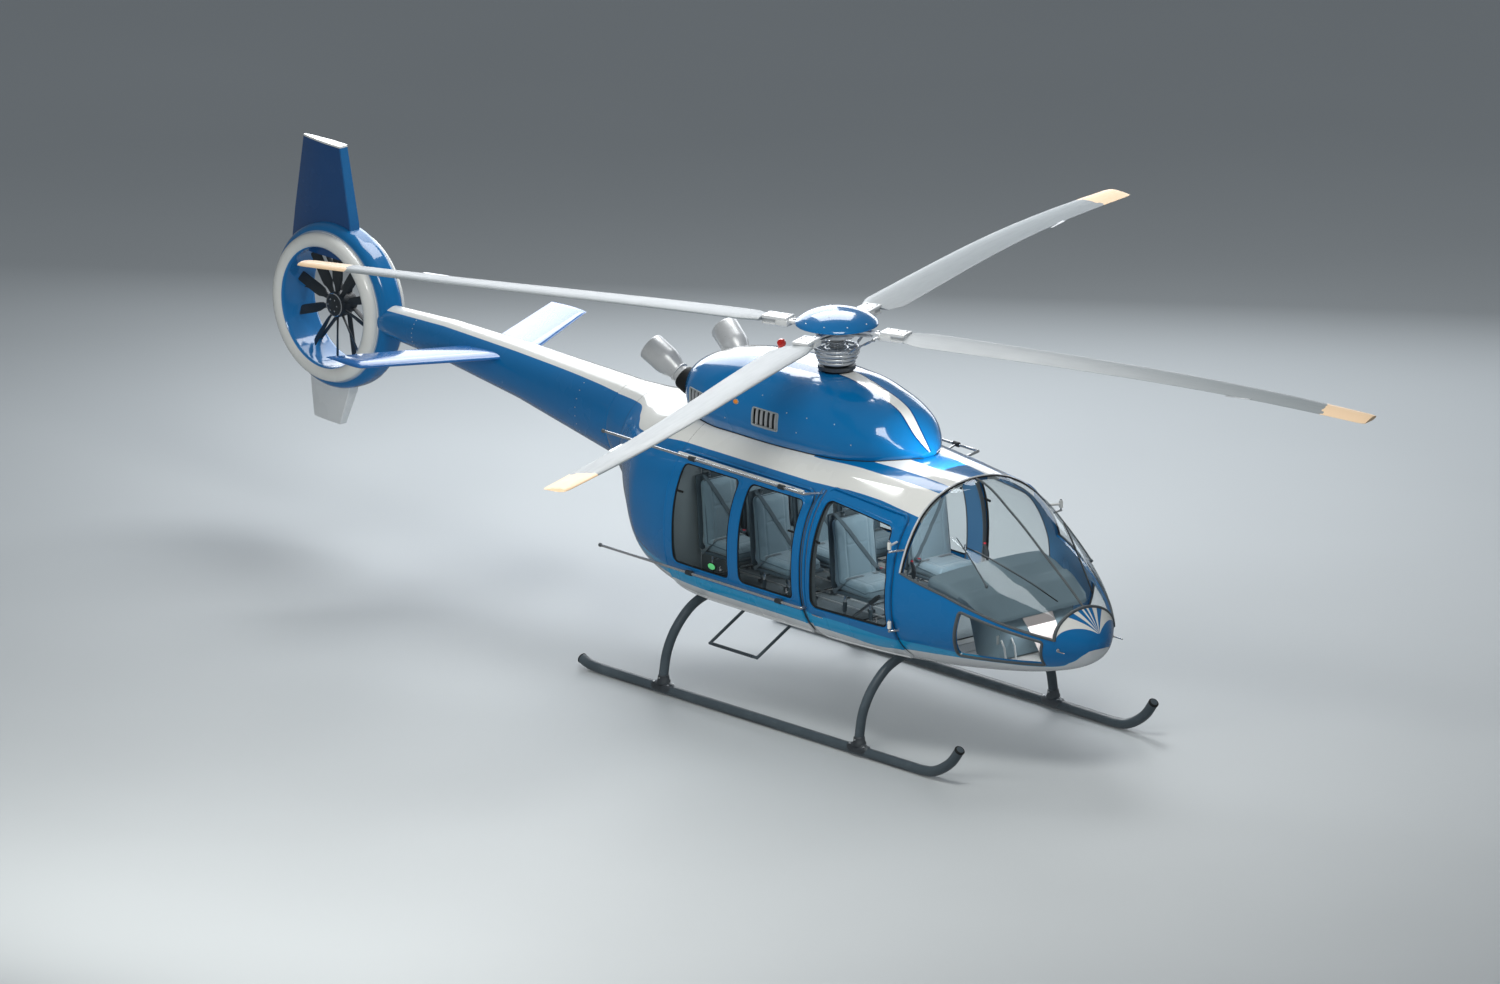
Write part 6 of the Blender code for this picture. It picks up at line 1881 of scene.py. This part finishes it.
def makeCabinFloor():
    print("cabin floor and rear wall")
    top, wallX = cabin["floorZ"], cabin["wallX"]

    def onFloor(x, y, out):
        return np.stack([x, y, np.full(np.shape(x), top) + out], -1)

    xs = np.linspace(-1.085, 2.88, 80)
    half = floorHalf(xs)
    outline = [*zip(xs, -half), *zip(xs[::-1], half[::-1])]
    shape = bmesh.new()
    addSheet(shape, onFloor, cleaned(outline), (), 0.12, 0.0, -0.022)
    # carpet in three mats with bound edges, and a pale front floor
    for x0, x1 in cabin["mats"]:
        mat = [(x, sign * (float(floorHalf(x)) - 0.05)) for x, sign in ((x0, -1), (x1, -1), (x1, 1), (x0, 1))]
        mat = roundOutline(mat, 0.05, 6, 0.04)
        addSheet(shape, onFloor, mat, (), 0.08, 0.007, 0.0, (1, 1, 1))
        addTube(shape, [(x, y, top + 0.005) for x, y in mat], 0.005, 8, 2, loop=True)
    for y in cabin["seatRails"]:
        addBlock(shape, (-1.0, y - 0.014, top + 0.004), (1.20, y + 0.014, top + 0.013), 0.002, 3, None, 1)
    for x in np.linspace(1.98, 2.78, 5):
        half = float(floorHalf(x)) - 0.06
        addBlock(shape, (x - 0.008, -half, top - 0.001), (x + 0.008, half, top + 0.004), 0.0015, 0, None, 1)
    wall = ringPoint(hull, np.full(160, -1.085), fullTurn(160), -0.040)
    loop = [(p[1], p[2]) for p in wall if p[2] > top + 0.001]
    start = next(i for i, (a, b) in enumerate(zip(loop, loop[1:] + loop[:1])) if abs(a[0] - b[0]) > 0.3) + 1
    loop = cleaned(loop[start:] + loop[:start])
    addSheet(shape, lambda y, z, out: np.stack([np.full(np.shape(y), wallX) + out, y, z], -1), loop, (), 0.08,
             0.0, -0.028, (4, 4, 4))
    for y in cabin["wallRibs"]:
        addTube(shape, [(wallX + 0.001, y, z) for z in np.linspace(1.0, 2.0, 8)], 0.006, 6, 3)
    makePiece("cabinFloor", shape, [paleFloor, carpet, rubber, turnedAluminium, lining], stands=["cabin_floor"],
              sharp=45)


def puffPad(shape):
    # the pad is remeshed, blown up a little as filled cloth, and smoothed
    mesh = bpy.data.meshes.new("padStart")
    shape.to_mesh(mesh)
    shape.free()
    holder = bpy.data.objects.new("padStart", mesh)
    bpy.context.scene.collection.objects.link(holder)
    remesh = holder.modifiers.new("remesh", "REMESH")
    remesh.mode = "VOXEL"
    remesh.voxel_size = padWork["voxel"]
    graph = bpy.context.evaluated_depsgraph_get()
    even = bpy.data.meshes.new_from_object(holder.evaluated_get(graph))
    bpy.data.objects.remove(holder)
    bpy.data.meshes.remove(mesh)
    count = len(even.vertices) * 3
    before, after = np.zeros(count, np.float32), np.zeros(count, np.float32)
    even.vertices.foreach_get("co", before)
    holder = bpy.data.objects.new("padCloth", even)
    bpy.context.scene.collection.objects.link(holder)
    cloth = holder.modifiers.new("filling", "CLOTH")
    cloth.settings.use_pressure = True
    cloth.settings.uniform_pressure_force = padWork["pressure"]
    cloth.settings.quality = 5
    cloth.settings.effector_weights.gravity = 0
    for number in range(1, padWork["frames"] + 1):
        bpy.context.scene.frame_set(number)
    graph = bpy.context.evaluated_depsgraph_get()
    holder.evaluated_get(graph).data.vertices.foreach_get("co", after)
    bpy.context.scene.frame_set(1)
    bpy.data.objects.remove(holder)
    before, after = before.reshape(-1, 3), after.reshape(-1, 3)
    move = after - before
    length = np.maximum(np.linalg.norm(move, axis=1), 1e-9)[:, None]
    even.vertices.foreach_set("co", (before + move * np.minimum(1, padWork["cap"] / length)).ravel())
    work = bmesh.new()
    work.from_mesh(even)
    bpy.data.meshes.remove(even)
    bmesh.ops.smooth_vert(work, verts=work.verts, factor=0.5, use_axis_x=True, use_axis_y=True, use_axis_z=True)
    holder = bpy.data.objects.new("padFine", bpy.data.meshes.new("padFine"))
    work.to_mesh(holder.data)
    work.free()
    bpy.context.scene.collection.objects.link(holder)
    finer = holder.modifiers.new("finer", "SUBSURF")
    finer.levels = 1
    graph = bpy.context.evaluated_depsgraph_get()
    fine = bpy.data.meshes.new_from_object(holder.evaluated_get(graph))
    spare = holder.data
    bpy.data.objects.remove(holder)
    bpy.data.meshes.remove(spare)
    return fine


def sewChannels(mesh, lines, way):
    # stitched valleys along lines given in two axes; way is the side of the pad they are sewn into
    count = len(mesh.vertices)
    spots, normals = np.zeros(count * 3, np.float32), np.zeros(count * 3, np.float32)
    mesh.vertices.foreach_get("co", spots)
    mesh.vertices.foreach_get("normal", normals)
    spots, normals = spots.reshape(-1, 3), normals.reshape(-1, 3)
    facing = np.clip((normals @ np.array(way) - 0.35) / 0.3, 0, 1)
    flat = np.delete(spots, int(np.argmax(np.abs(way))), axis=1)
    nearest = np.full(count, 1.0)
    for line in lines:
        for a, b in zip(line, line[1:]):
            a, b = np.array(a), np.array(b)
            along = b - a
            t = np.clip(((flat - a) @ along) / (along @ along), 0, 1)
            nearest = np.minimum(nearest, np.linalg.norm(flat - a - t[:, None] * along, axis=1))
    sink = padWork["sewDepth"] * np.exp(-((nearest / padWork["sewWidth"]) ** 2)) * facing
    mesh.vertices.foreach_set("co", (spots - normals * sink[:, None]).ravel())


def backSlope(z):
    # the seat back's front and rear faces lean: x at a height
    return np.interp(z, (1.22, 1.86), (0.13, 0.052)), np.interp(z, (1.22, 1.86), (0.028, -0.022))


def padShapes(half):
    pan = bmesh.new()
    addBlock(pan, (0.035, -half + 0.016, 1.212), (0.488, half - 0.016, 1.308), 0.034, 0, None, 4)
    for vert in pan.verts:
        vert.co.z -= 0.022 * max(0.0, (vert.co.x - 0.36) / 0.13) ** 2
    back = bmesh.new()
    rings = []
    for z, inset in ((1.232, 0.030), (1.240, 0.012), (1.262, 0.0), (1.45, 0.0), (1.65, 0.0), (1.80, 0.0),
                     (1.832, 0.010), (1.846, 0.032)):
        front, rear = (float(v) for v in backSlope(z))
        front, rear, wide = front - 0.006 - inset * 0.5, rear + 0.006 + inset * 0.5, half - 0.016 - inset
        ring = roundCorners(rectangle(rear, front, -wide, wide), 0.026 - inset * 0.3, 4)
        rings.append([(p.x, p.y, z) for p in ring])
    addLoft(back, rings)
    head = bmesh.new()
    addBlock(head, (-0.024, -0.122, 1.906), (0.054, 0.122, 2.034), 0.030, 0, None, 4)
    return pan, back, head


def rectangle(x0, x1, y0, y1):
    return (x0, y0), (x1, y0), (x1, y1), (x0, y1)


def addPiping(mesh, corners, radius, place, way):
    # a cord sewn round the pad's edge, laid where rays from its rounded outline meet the pad
    work = bmesh.new()
    work.from_mesh(mesh)
    tree = BVHTree.FromBMesh(work)
    line = []
    for p in roundCorners(corners, radius, 6 if radius > 0.03 else 5):
        hit = tree.ray_cast(Vector(place(p.x, p.y)), Vector(way))[0]
        if hit is not None:
            line.append(hit)
    addTube(work, evenSteps(line, 0.02), padWork["piping"], 8, 1, loop=True)
    work.to_mesh(mesh)
    work.free()


def makePads(half):
    pan, back, head = (puffPad(shape) for shape in padShapes(half))
    seam, rim = half * 0.52, half - 0.030
    sewChannels(pan, [((0.06, y), (0.47, y)) for y in (-seam, seam)] + [((0.36, -seam), (0.36, seam))], (0, 0, 1))
    sewChannels(back, [((y, 1.27), (y, 1.83)) for y in (-seam, seam)] + [((-seam, 1.60), (seam, 1.60))], (1, 0, 0))
    addPiping(pan, rectangle(0.062, 0.470, -rim, rim), 0.035, lambda x, y: (x, y, 1.5), (0, 0, -1))
    addPiping(back, rectangle(-rim, rim, 1.262, 1.826), 0.035, lambda y, z: (0.6, y, z), (-1, 0, 0))
    addPiping(head, rectangle(-0.100, 0.100, 1.926, 2.014), 0.022, lambda y, z: (0.6, y, z), (-1, 0, 0))
    return {"Pan": pan, "Back": back, "Head": head}


def addWeb(shape, points, normals, width=0.038):
    # flat webbing along points, lying flat against the given directions
    thick = 0.0022
    points = [Vector(p) for p in points]
    rings = []
    for i, point in enumerate(points):
        along = (points[min(i + 1, len(points) - 1)] - points[max(i - 1, 0)]).normalized()
        up = Vector(normals[i]).normalized()
        side = along.cross(up).normalized()
        up = side.cross(along)
        ring = []
        for a, u in ((-1, -1), (-0.9, 1), (0, 1.25), (0.9, 1), (1, -1), (0, -1)):
            ring.append(point + side * a * width / 2 + up * u * thick / 2)
        rings.append(ring)
    addLoft(shape, rings, 2)


def addSeatFrame(shape, half, pads, outward):
    # everything of a seat that isn't padded, in the seat's own place: x from the row, y from its middle
    rings = []
    for z in (1.215, 1.24, 1.5, 1.75, 1.862, 1.868):
        rear = float(backSlope(z)[1])
        inset = 0.02 if z in (1.215, 1.868) else 0.0
        ring = roundCorners(((rear - 0.020, -half + 0.012 + inset), (rear + 0.002, -half + 0.004 + inset),
                             (rear + 0.002, half - 0.004 - inset), (rear - 0.020, half - 0.012 - inset)), 0.009, 3)
        rings.append([(p.x, p.y, z) for p in ring])
    addLoft(shape, rings, 1)
    addBlock(shape, (0.03, -half + 0.012, 1.186), (0.485, half - 0.012, 1.214), 0.010, 1, None, 3)
    for y in (-0.08, 0.08):
        addTube(shape, [(0.005, y, z) for z in np.linspace(1.84, 1.925, 4)], 0.0065, 14, 0)
        addRod(shape, (0.005, y, 1.858), (0.005, y, 1.872), 0.013, 1, 18)
    # energy-absorbing legs, cross bars and floor rails
    for x, lean in ((0.11, -0.02), (0.42, 0.02)):
        for y in (-half * 0.62, half * 0.62):
            addTube(shape, [(x, y, 1.195), (x + lean * 0.5, y, 1.08), (x + lean, y, 0.965)], 0.013, 14, 0)
            addRod(shape, (x + lean * 0.5, y, 1.10), (x + lean * 0.8, y, 1.01), 0.018, 1, 16)
            addBlock(shape, (x + lean - 0.03, y - 0.020, 0.944), (x + lean + 0.03, y + 0.020, 0.972), 0.004, 3)
        addTube(shape, [(x, y, 1.13) for y in np.linspace(-half * 0.62, half * 0.62, 4)], 0.009, 12, 0)
    # belts: one over the shoulder, two lap straps, a red-buttoned buckle at the inner hip
    work = bmesh.new()
    for name in ("Back", "Pan"):
        work.from_mesh(pads[name])
    tree = BVHTree.FromBMesh(work)
    work.free()
    start, end = Vector((0, outward * (half - 0.07), 1.835)), Vector((0, -outward * (half - 0.05), 1.33))
    line, normals = [Vector((-0.035, start.y, 1.85)), Vector((0.0, start.y, 1.868))], [(0, 0, 1), (0.3, 0, 1)]
    for t in np.linspace(0, 1, 16):
        spot = start.lerp(end, t)
        hit, normal = tree.ray_cast(Vector((0.6, spot.y, spot.z)), Vector((-1, 0, 0)))[:2]
        if hit is not None:
            line.append(hit + normal * 0.006)
            normals.append((1, 0, 0.1))
    addWeb(shape, line, normals)
    for side in (1, -1):
        lap, flat = [], []
        for t in np.linspace(0, 1, 10):
            x = 0.10 + 0.05 * math.sin(t * math.pi)
            y = side * (half - 0.012 - t * (half - 0.012 - (0.10 if side == -outward else 0.02)))
            if t < 0.06:
                lap.append(Vector((0.06, side * (half + 0.002), 1.20)))
                flat.append((0, side, 0))
            hit = tree.ray_cast(Vector((0.16 + 0.02 * t, y, 1.6)), Vector((0, 0, -1)))[0]
            if hit is not None:
                lap.append(hit + Vector((0, 0, 0.005)))
                flat.append((0, 0, 1))
        addWeb(shape, lap, flat, 0.040)
    spot = line[-1] + Vector((0.030, 0, 0.004))
    addBlock(shape, spot - Vector((0.030, 0.020, 0.010)), spot + Vector((0.030, 0.020, 0.012)), 0.005, 1, None, 2)
    addBlock(shape, spot + Vector((0.004, -0.014, 0.006)), spot + Vector((0.027, 0.014, 0.016)), 0.003, 4, None, 2)
    addRod(shape, (0.06, -outward * (half + 0.002), 1.17), (0.10, -outward * (half - 0.02), 1.335), 0.007, 1, 10)


def makeSeats():
    print("seats")
    sizes = {half: makePads(half) for half in (0.25, 0.22)}
    for row, (rowX, half, ys) in cabin["rows"].items():
        node, label = "seats_" + row, row.capitalize()
        shape = bmesh.new()
        for number, y in enumerate(ys, 1):
            place = Matrix.Translation((rowX, y, 0))
            part = bmesh.new()
            addSeatFrame(part, half, sizes[half], -1 if y < 0.01 else 1)
            spare = bpy.data.meshes.new("spare")
            part.transform(place)
            part.to_mesh(spare)
            part.free()
            shape.from_mesh(spare)
            bpy.data.meshes.remove(spare)
            for name, pad in sizes[half].items():
                cushion = bmesh.new()
                cushion.from_mesh(pad)
                cushion.transform(place)
                for face in cushion.faces:
                    face.smooth = True
                piece = makePiece("seat" + name + label + str(number), cushion, [seatCloth, pipingCord],
                                  stands=[node] if name == "Pan" else (), sharp=70)
        makePiece("seatFrames" + label, shape, [polishedSteel, seatShell, beltWeb, castAluminium, redPlastic],
                  stands=[node], sharp=45)
    for pads in sizes.values():
        for pad in pads.values():
            bpy.data.meshes.remove(pad)


def makePanel():
    print("instrument panel and controls")
    shape = bmesh.new()
    pedestal = roundOutline(cabin["pedestal"], 0.014, 4, 0.04)
    addLoft(shape, [[(x, y, z) for x, z in pedestal] for y in cabin["pilotYs"]])
    ring = roundOutline(cabin["hood"], 0.012, 5)
    middle = ring.mean(axis=0)
    rings = []
    ends = np.array([0.575, 0.588, 0.597, 0.60])
    for y in np.concatenate([-ends[::-1], np.linspace(-0.55, 0.55, 29), ends]):
        # the hood's ends are rounded over, and its lip dips towards them
        end = 1 - 0.35 * max(0.0, (abs(y) - 0.55) / 0.05) ** 2.5
        dip = 0.030 * (abs(y) / 0.60) ** 3
        across = [y * float(np.interp(x, (1.90, 2.62), (1.13, 0.98))) for x in ring[:, 0]]
        rings.append([(middle[0] + (x - middle[0]) * (0.6 + 0.4 * end), wide,
                       middle[1] + (z - middle[1]) * end - dip * (x < 2.3)) for (x, z), wide in zip(ring, across)])
    addLoft(shape, rings)
    # instrument face, set back under the hood; in its place x runs up, y across, z towards the crew
    tilt = math.atan2(0.14, 0.47) + math.pi / 2
    place = Matrix.Translation((2.138, 0, 1.40)) @ Matrix.Rotation(-tilt, 4, "Y")
    addBlock(shape, (-0.36, -0.40, -0.03), (0.03, 0.40, 0.006), 0.008, 1, place)
    for y in (-0.27, 0.27):  # two screens with their keys
        addBlock(shape, (-0.165, y - 0.105, 0.004), (0.005, y + 0.105, 0.014), 0.004, 1, place)
        addBlock(shape, (-0.152, y - 0.090, 0.013), (-0.010, y + 0.090, 0.0155), 0.002, 3, place, 1)
        for k in range(5):
            left = y - 0.080 + k * 0.036
            addBlock(shape, (-0.163, left, 0.012), (-0.156, left + 0.016, 0.018), 0.001, 2, place, 1)
    for row, x in enumerate((-0.045, -0.135)):
        for y in (-0.095, 0.0, 0.095):
            addDial(shape, place @ Matrix.Translation((x, y, 0.006)), 1.1 + row + y * 9)
    for k in range(14):
        y = -0.35 + k * 0.0535
        addRod(shape, place @ Vector((-0.225, y, 0.004)), place @ Vector((-0.225, y, 0.022)), 0.009, 2, 14)
        switch = [place @ Vector((-0.285, y, 0.004)), place @ Vector((-0.278, y, 0.026))]
        addTube(shape, switch, [0.0035, 0.0045], 8, 4)
    # pale centre console ahead of the panel
    console = ((2.60, 0.17, 1.30), (2.655, 0.16, 1.235), (2.74, 0.145, 1.10), (2.80, 0.13, 0.99), (2.83, 0.12, 0.935))
    rings = []
    for x, half, z in console:
        ring = roundCorners(rectangle(-half, half, -0.05, 0.0), 0.018, 4)
        rings.append([(x - p.y * 0.5, p.x, z + p.y) for p in ring])
    addLoft(shape, rings, 6)
    # pedals with grip ribs
    for seatY in cabin["pilotYs"]:
        for shift in (-0.085, 0.085):
            y = max(-0.47, min(0.47, seatY + shift)) * 0.86
            addTube(shape, [(2.66, y, 0.95), (2.64, y, 1.06), (2.60, y, 1.12)], 0.009, 10, 4)
            addBlock(shape, (2.575, y - 0.040, 1.085), (2.592, y + 0.040, 1.165), 0.006, 2)
            for z in (1.097, 1.113, 1.129, 1.145):
                addBlock(shape, (2.572, y - 0.034, z), (2.577, y + 0.034, z + 0.006), 0.001, 7, None, 1)
    makePiece("instrumentPanel", shape,
              [darkLining, blackPlastic, greyTrim, screenFace, turnedAluminium, dialWhite, paleConsole, rubber],
              stands=["instrument_panel"], sharp=45)

    shape = bmesh.new()
    for y in cabin["pilotYs"]:
        stick = smoothRoute([(1.62, y, 0.935), (1.60, y, 1.08), (1.52, y, 1.24), (1.47, y, 1.38),
                             (1.475, y, 1.46)], 5)
        addTube(shape, stick, 0.011)
        grip = smoothRoute([(1.475, y, 1.44), (1.478, y, 1.50), (1.465, y, 1.55), (1.45, y, 1.575)], 4)
        addTube(shape, grip, [0.017 + 0.004 * math.sin(i * 0.5) for i in range(len(grip))], 14, 1)
        addRod(shape, (1.455, y, 1.575), (1.448, y, 1.590), 0.012, 2, 14)
        boot = [(0.012, 0.13), (0.022, 0.11), (0.030, 0.08), (0.033, 0.05), (0.046, 0.02), (0.050, 0.0), (0, 0.0)]
        addLathe(shape, boot, Matrix.Translation((1.617, y, 0.934)), 24, 1)
        side = y - 0.29
        lever = smoothRoute([(0.92, side, 0.98), (1.06, side, 1.08), (1.22, side, 1.20),
                             (1.33, side + 0.005, 1.285)], 5)
        addTube(shape, lever, 0.013)
        addTube(shape, [lever[-5], lever[-1]], 0.021, 14, 1)
        addRod(shape, lever[-1], lever[-1] + (lever[-1] - lever[-3]).normalized() * 0.03, 0.016, 1, 14)
        addBlock(shape, (0.86, side - 0.02, 0.936), (0.98, side + 0.02, 0.995), 0.008, 1)
    makePiece("flightControls", shape, [castAluminium, blackPlastic, redPlastic], sharp=45)


def addDial(shape, place, needle):
    # a round instrument: its rim, its face, ten marks and a needle
    rim = [(0, -0.002), (0.040, -0.002), (0.041, 0.008), (0.036, 0.010), (0.034, 0.005), (0, 0.004)]
    addLathe(shape, rim, place, 32, 2)
    addLathe(shape, [(0, 0.0042), (0.0335, 0.0042), (0.0335, 0.0052), (0, 0.0052)], place, 32, 3)
    for k in range(10):
        spin = place @ Matrix.Rotation(2 * math.pi * k / 12 + 0.6, 4, "Z")
        addBlock(shape, (0.024, -0.001, 0.005), (0.031, 0.001, 0.0062), 0, 5, spin)
    spin = place @ Matrix.Rotation(needle, 4, "Z")
    addBlock(shape, (-0.006, -0.0012, 0.0055), (0.026, 0.0012, 0.0070), 0, 5, spin)


def onHull(x, y, out):
    spot = Vector((x, y, topZ(hull, x, y)))
    return spot + Vector(outwardAt(hull, [spot])[0]) * out


def makeNoseFittings():
    print("wipers, pitots, lamps")
    # x and y; the arm swings from a hub at its low end; the blade lies along the glass
    arm = ((2.625, 0.597), (2.52, 0.590), (2.36, 0.580), (2.205, 0.570))
    blade = ((2.316, 0.557), (2.46, 0.490), (2.605, 0.424), (2.861, 0.305), (3.098, 0.197))
    for side, sign in sides:
        shape = bmesh.new()
        route = smoothRoute([onHull(x, sign * y, 0.010) for x, y in arm], 5)
        addTube(shape, route, [0.0075 - 0.003 * i / len(route) for i in range(len(route))], 10)
        hub = onHull(arm[0][0], sign * arm[0][1], -0.004)
        addRod(shape, hub, hub + Vector(outwardAt(hull, [hub])[0]) * 0.026, 0.015, 0, 18)
        route = ontoSurface(hull, [list(p) for p in smoothRoute([onHull(x, sign * y, 0.0) for x, y in blade], 6)])
        addTrim(shape, route, [(-0.004, 0.0012), (-0.0035, 0.009), (-0.002, 0.012), (0.002, 0.012), (0.0035, 0.009),
                               (0.004, 0.0012)], slot=1)
        addTrim(shape, route[3:-3], [(-0.005, 0.011), (-0.004, 0.0155), (0.004, 0.0155), (0.005, 0.011)])
        makePiece("wiper" + side, shape, [powderCoat, rubber], sharp=50)
        shape = bmesh.new()
        foot = Vector(sidePoint(hull, 3.236, 1.156, sign))
        way = Vector(outwardAt(hull, [foot])[0])
        knee = foot + way * 0.028
        route = [foot - way * 0.004, *(knee + Vector((x, 0, 0)) for x in (-0.012, 0.02, 0.085))]
        addTube(shape, smoothRoute(route, 4), 0.0055)
        addRod(shape, foot - way * 0.002, foot + way * 0.006, 0.014)
        makePiece("pitotTube" + side, shape, [polishedSteel], sharp=50)
    # landing light and antennas under the belly
    shape = bmesh.new()
    place = Matrix.Translation((2.30, 0, float(rowsAt(hull, 2.30)[3]) + 0.004))
    addLathe(shape, [(0, -0.012), (0.070, -0.012), (0.074, 0.0), (0.074, 0.02), (0, 0.02)], place, 40, 0)
    addLathe(shape, [(0, -0.020), (0.030, -0.018), (0.050, -0.013), (0.056, -0.010), (0, -0.009)], place, 40, 1)
    for x, tall in ((0.45, 0.13), (-1.35, 0.11)):
        low = float(rowsAt(hull, x)[3])
        rings = []
        stations = ((low + 0.012, 0.085), (low - tall * 0.4, 0.07), (low - tall * 0.9, 0.052), (low - tall, 0.040))
        for z, chord in stations:
            middle = x - 0.02 * (low - z) / tall
            rings.append([(middle + chord * 0.5 * math.cos(a), 0.0065 * math.sin(a), z) for a in fullTurn(16)])
        addLoft(shape, rings)
    makePiece("bellyFittings", shape, [whiteEnamel, clearGlassLens], sharp=45)


seatShell = mouldedOf("mouldedSeatShell", "#46545c", "#5f6c74", 0.5, 240, 0.25, 0.4)
pipingCord = mouldedOf("twistedPipingCord", "#566873", "#6a7b85", 0.7, 300, 0.3, 0.25)
screenFace = mouldedOf("coatedDisplayGlass", "#0b0f12", "#1a2126", 0.12, 40, 0.02, 0.6)
dialWhite = mouldedOf("silkscreenedDialPaint", "#e8e6df", "#f4f3ee", 0.6, 200, 0.05)
paleConsole = mouldedOf("mouldedConsoleSkin", "#c6bdbc", "#d5cecd", 0.55, 150, 0.2, 0.4)
clearGlassLens = lensOf("pressedGlassLens", "#dfe6ea", "#9aa6ad", 0.05)
makeCabinFloor()
makePanel()
makeSeats()
makeNoseFittings()

bpy.context.view_layer.update()
print(pieceCount, "pieces")
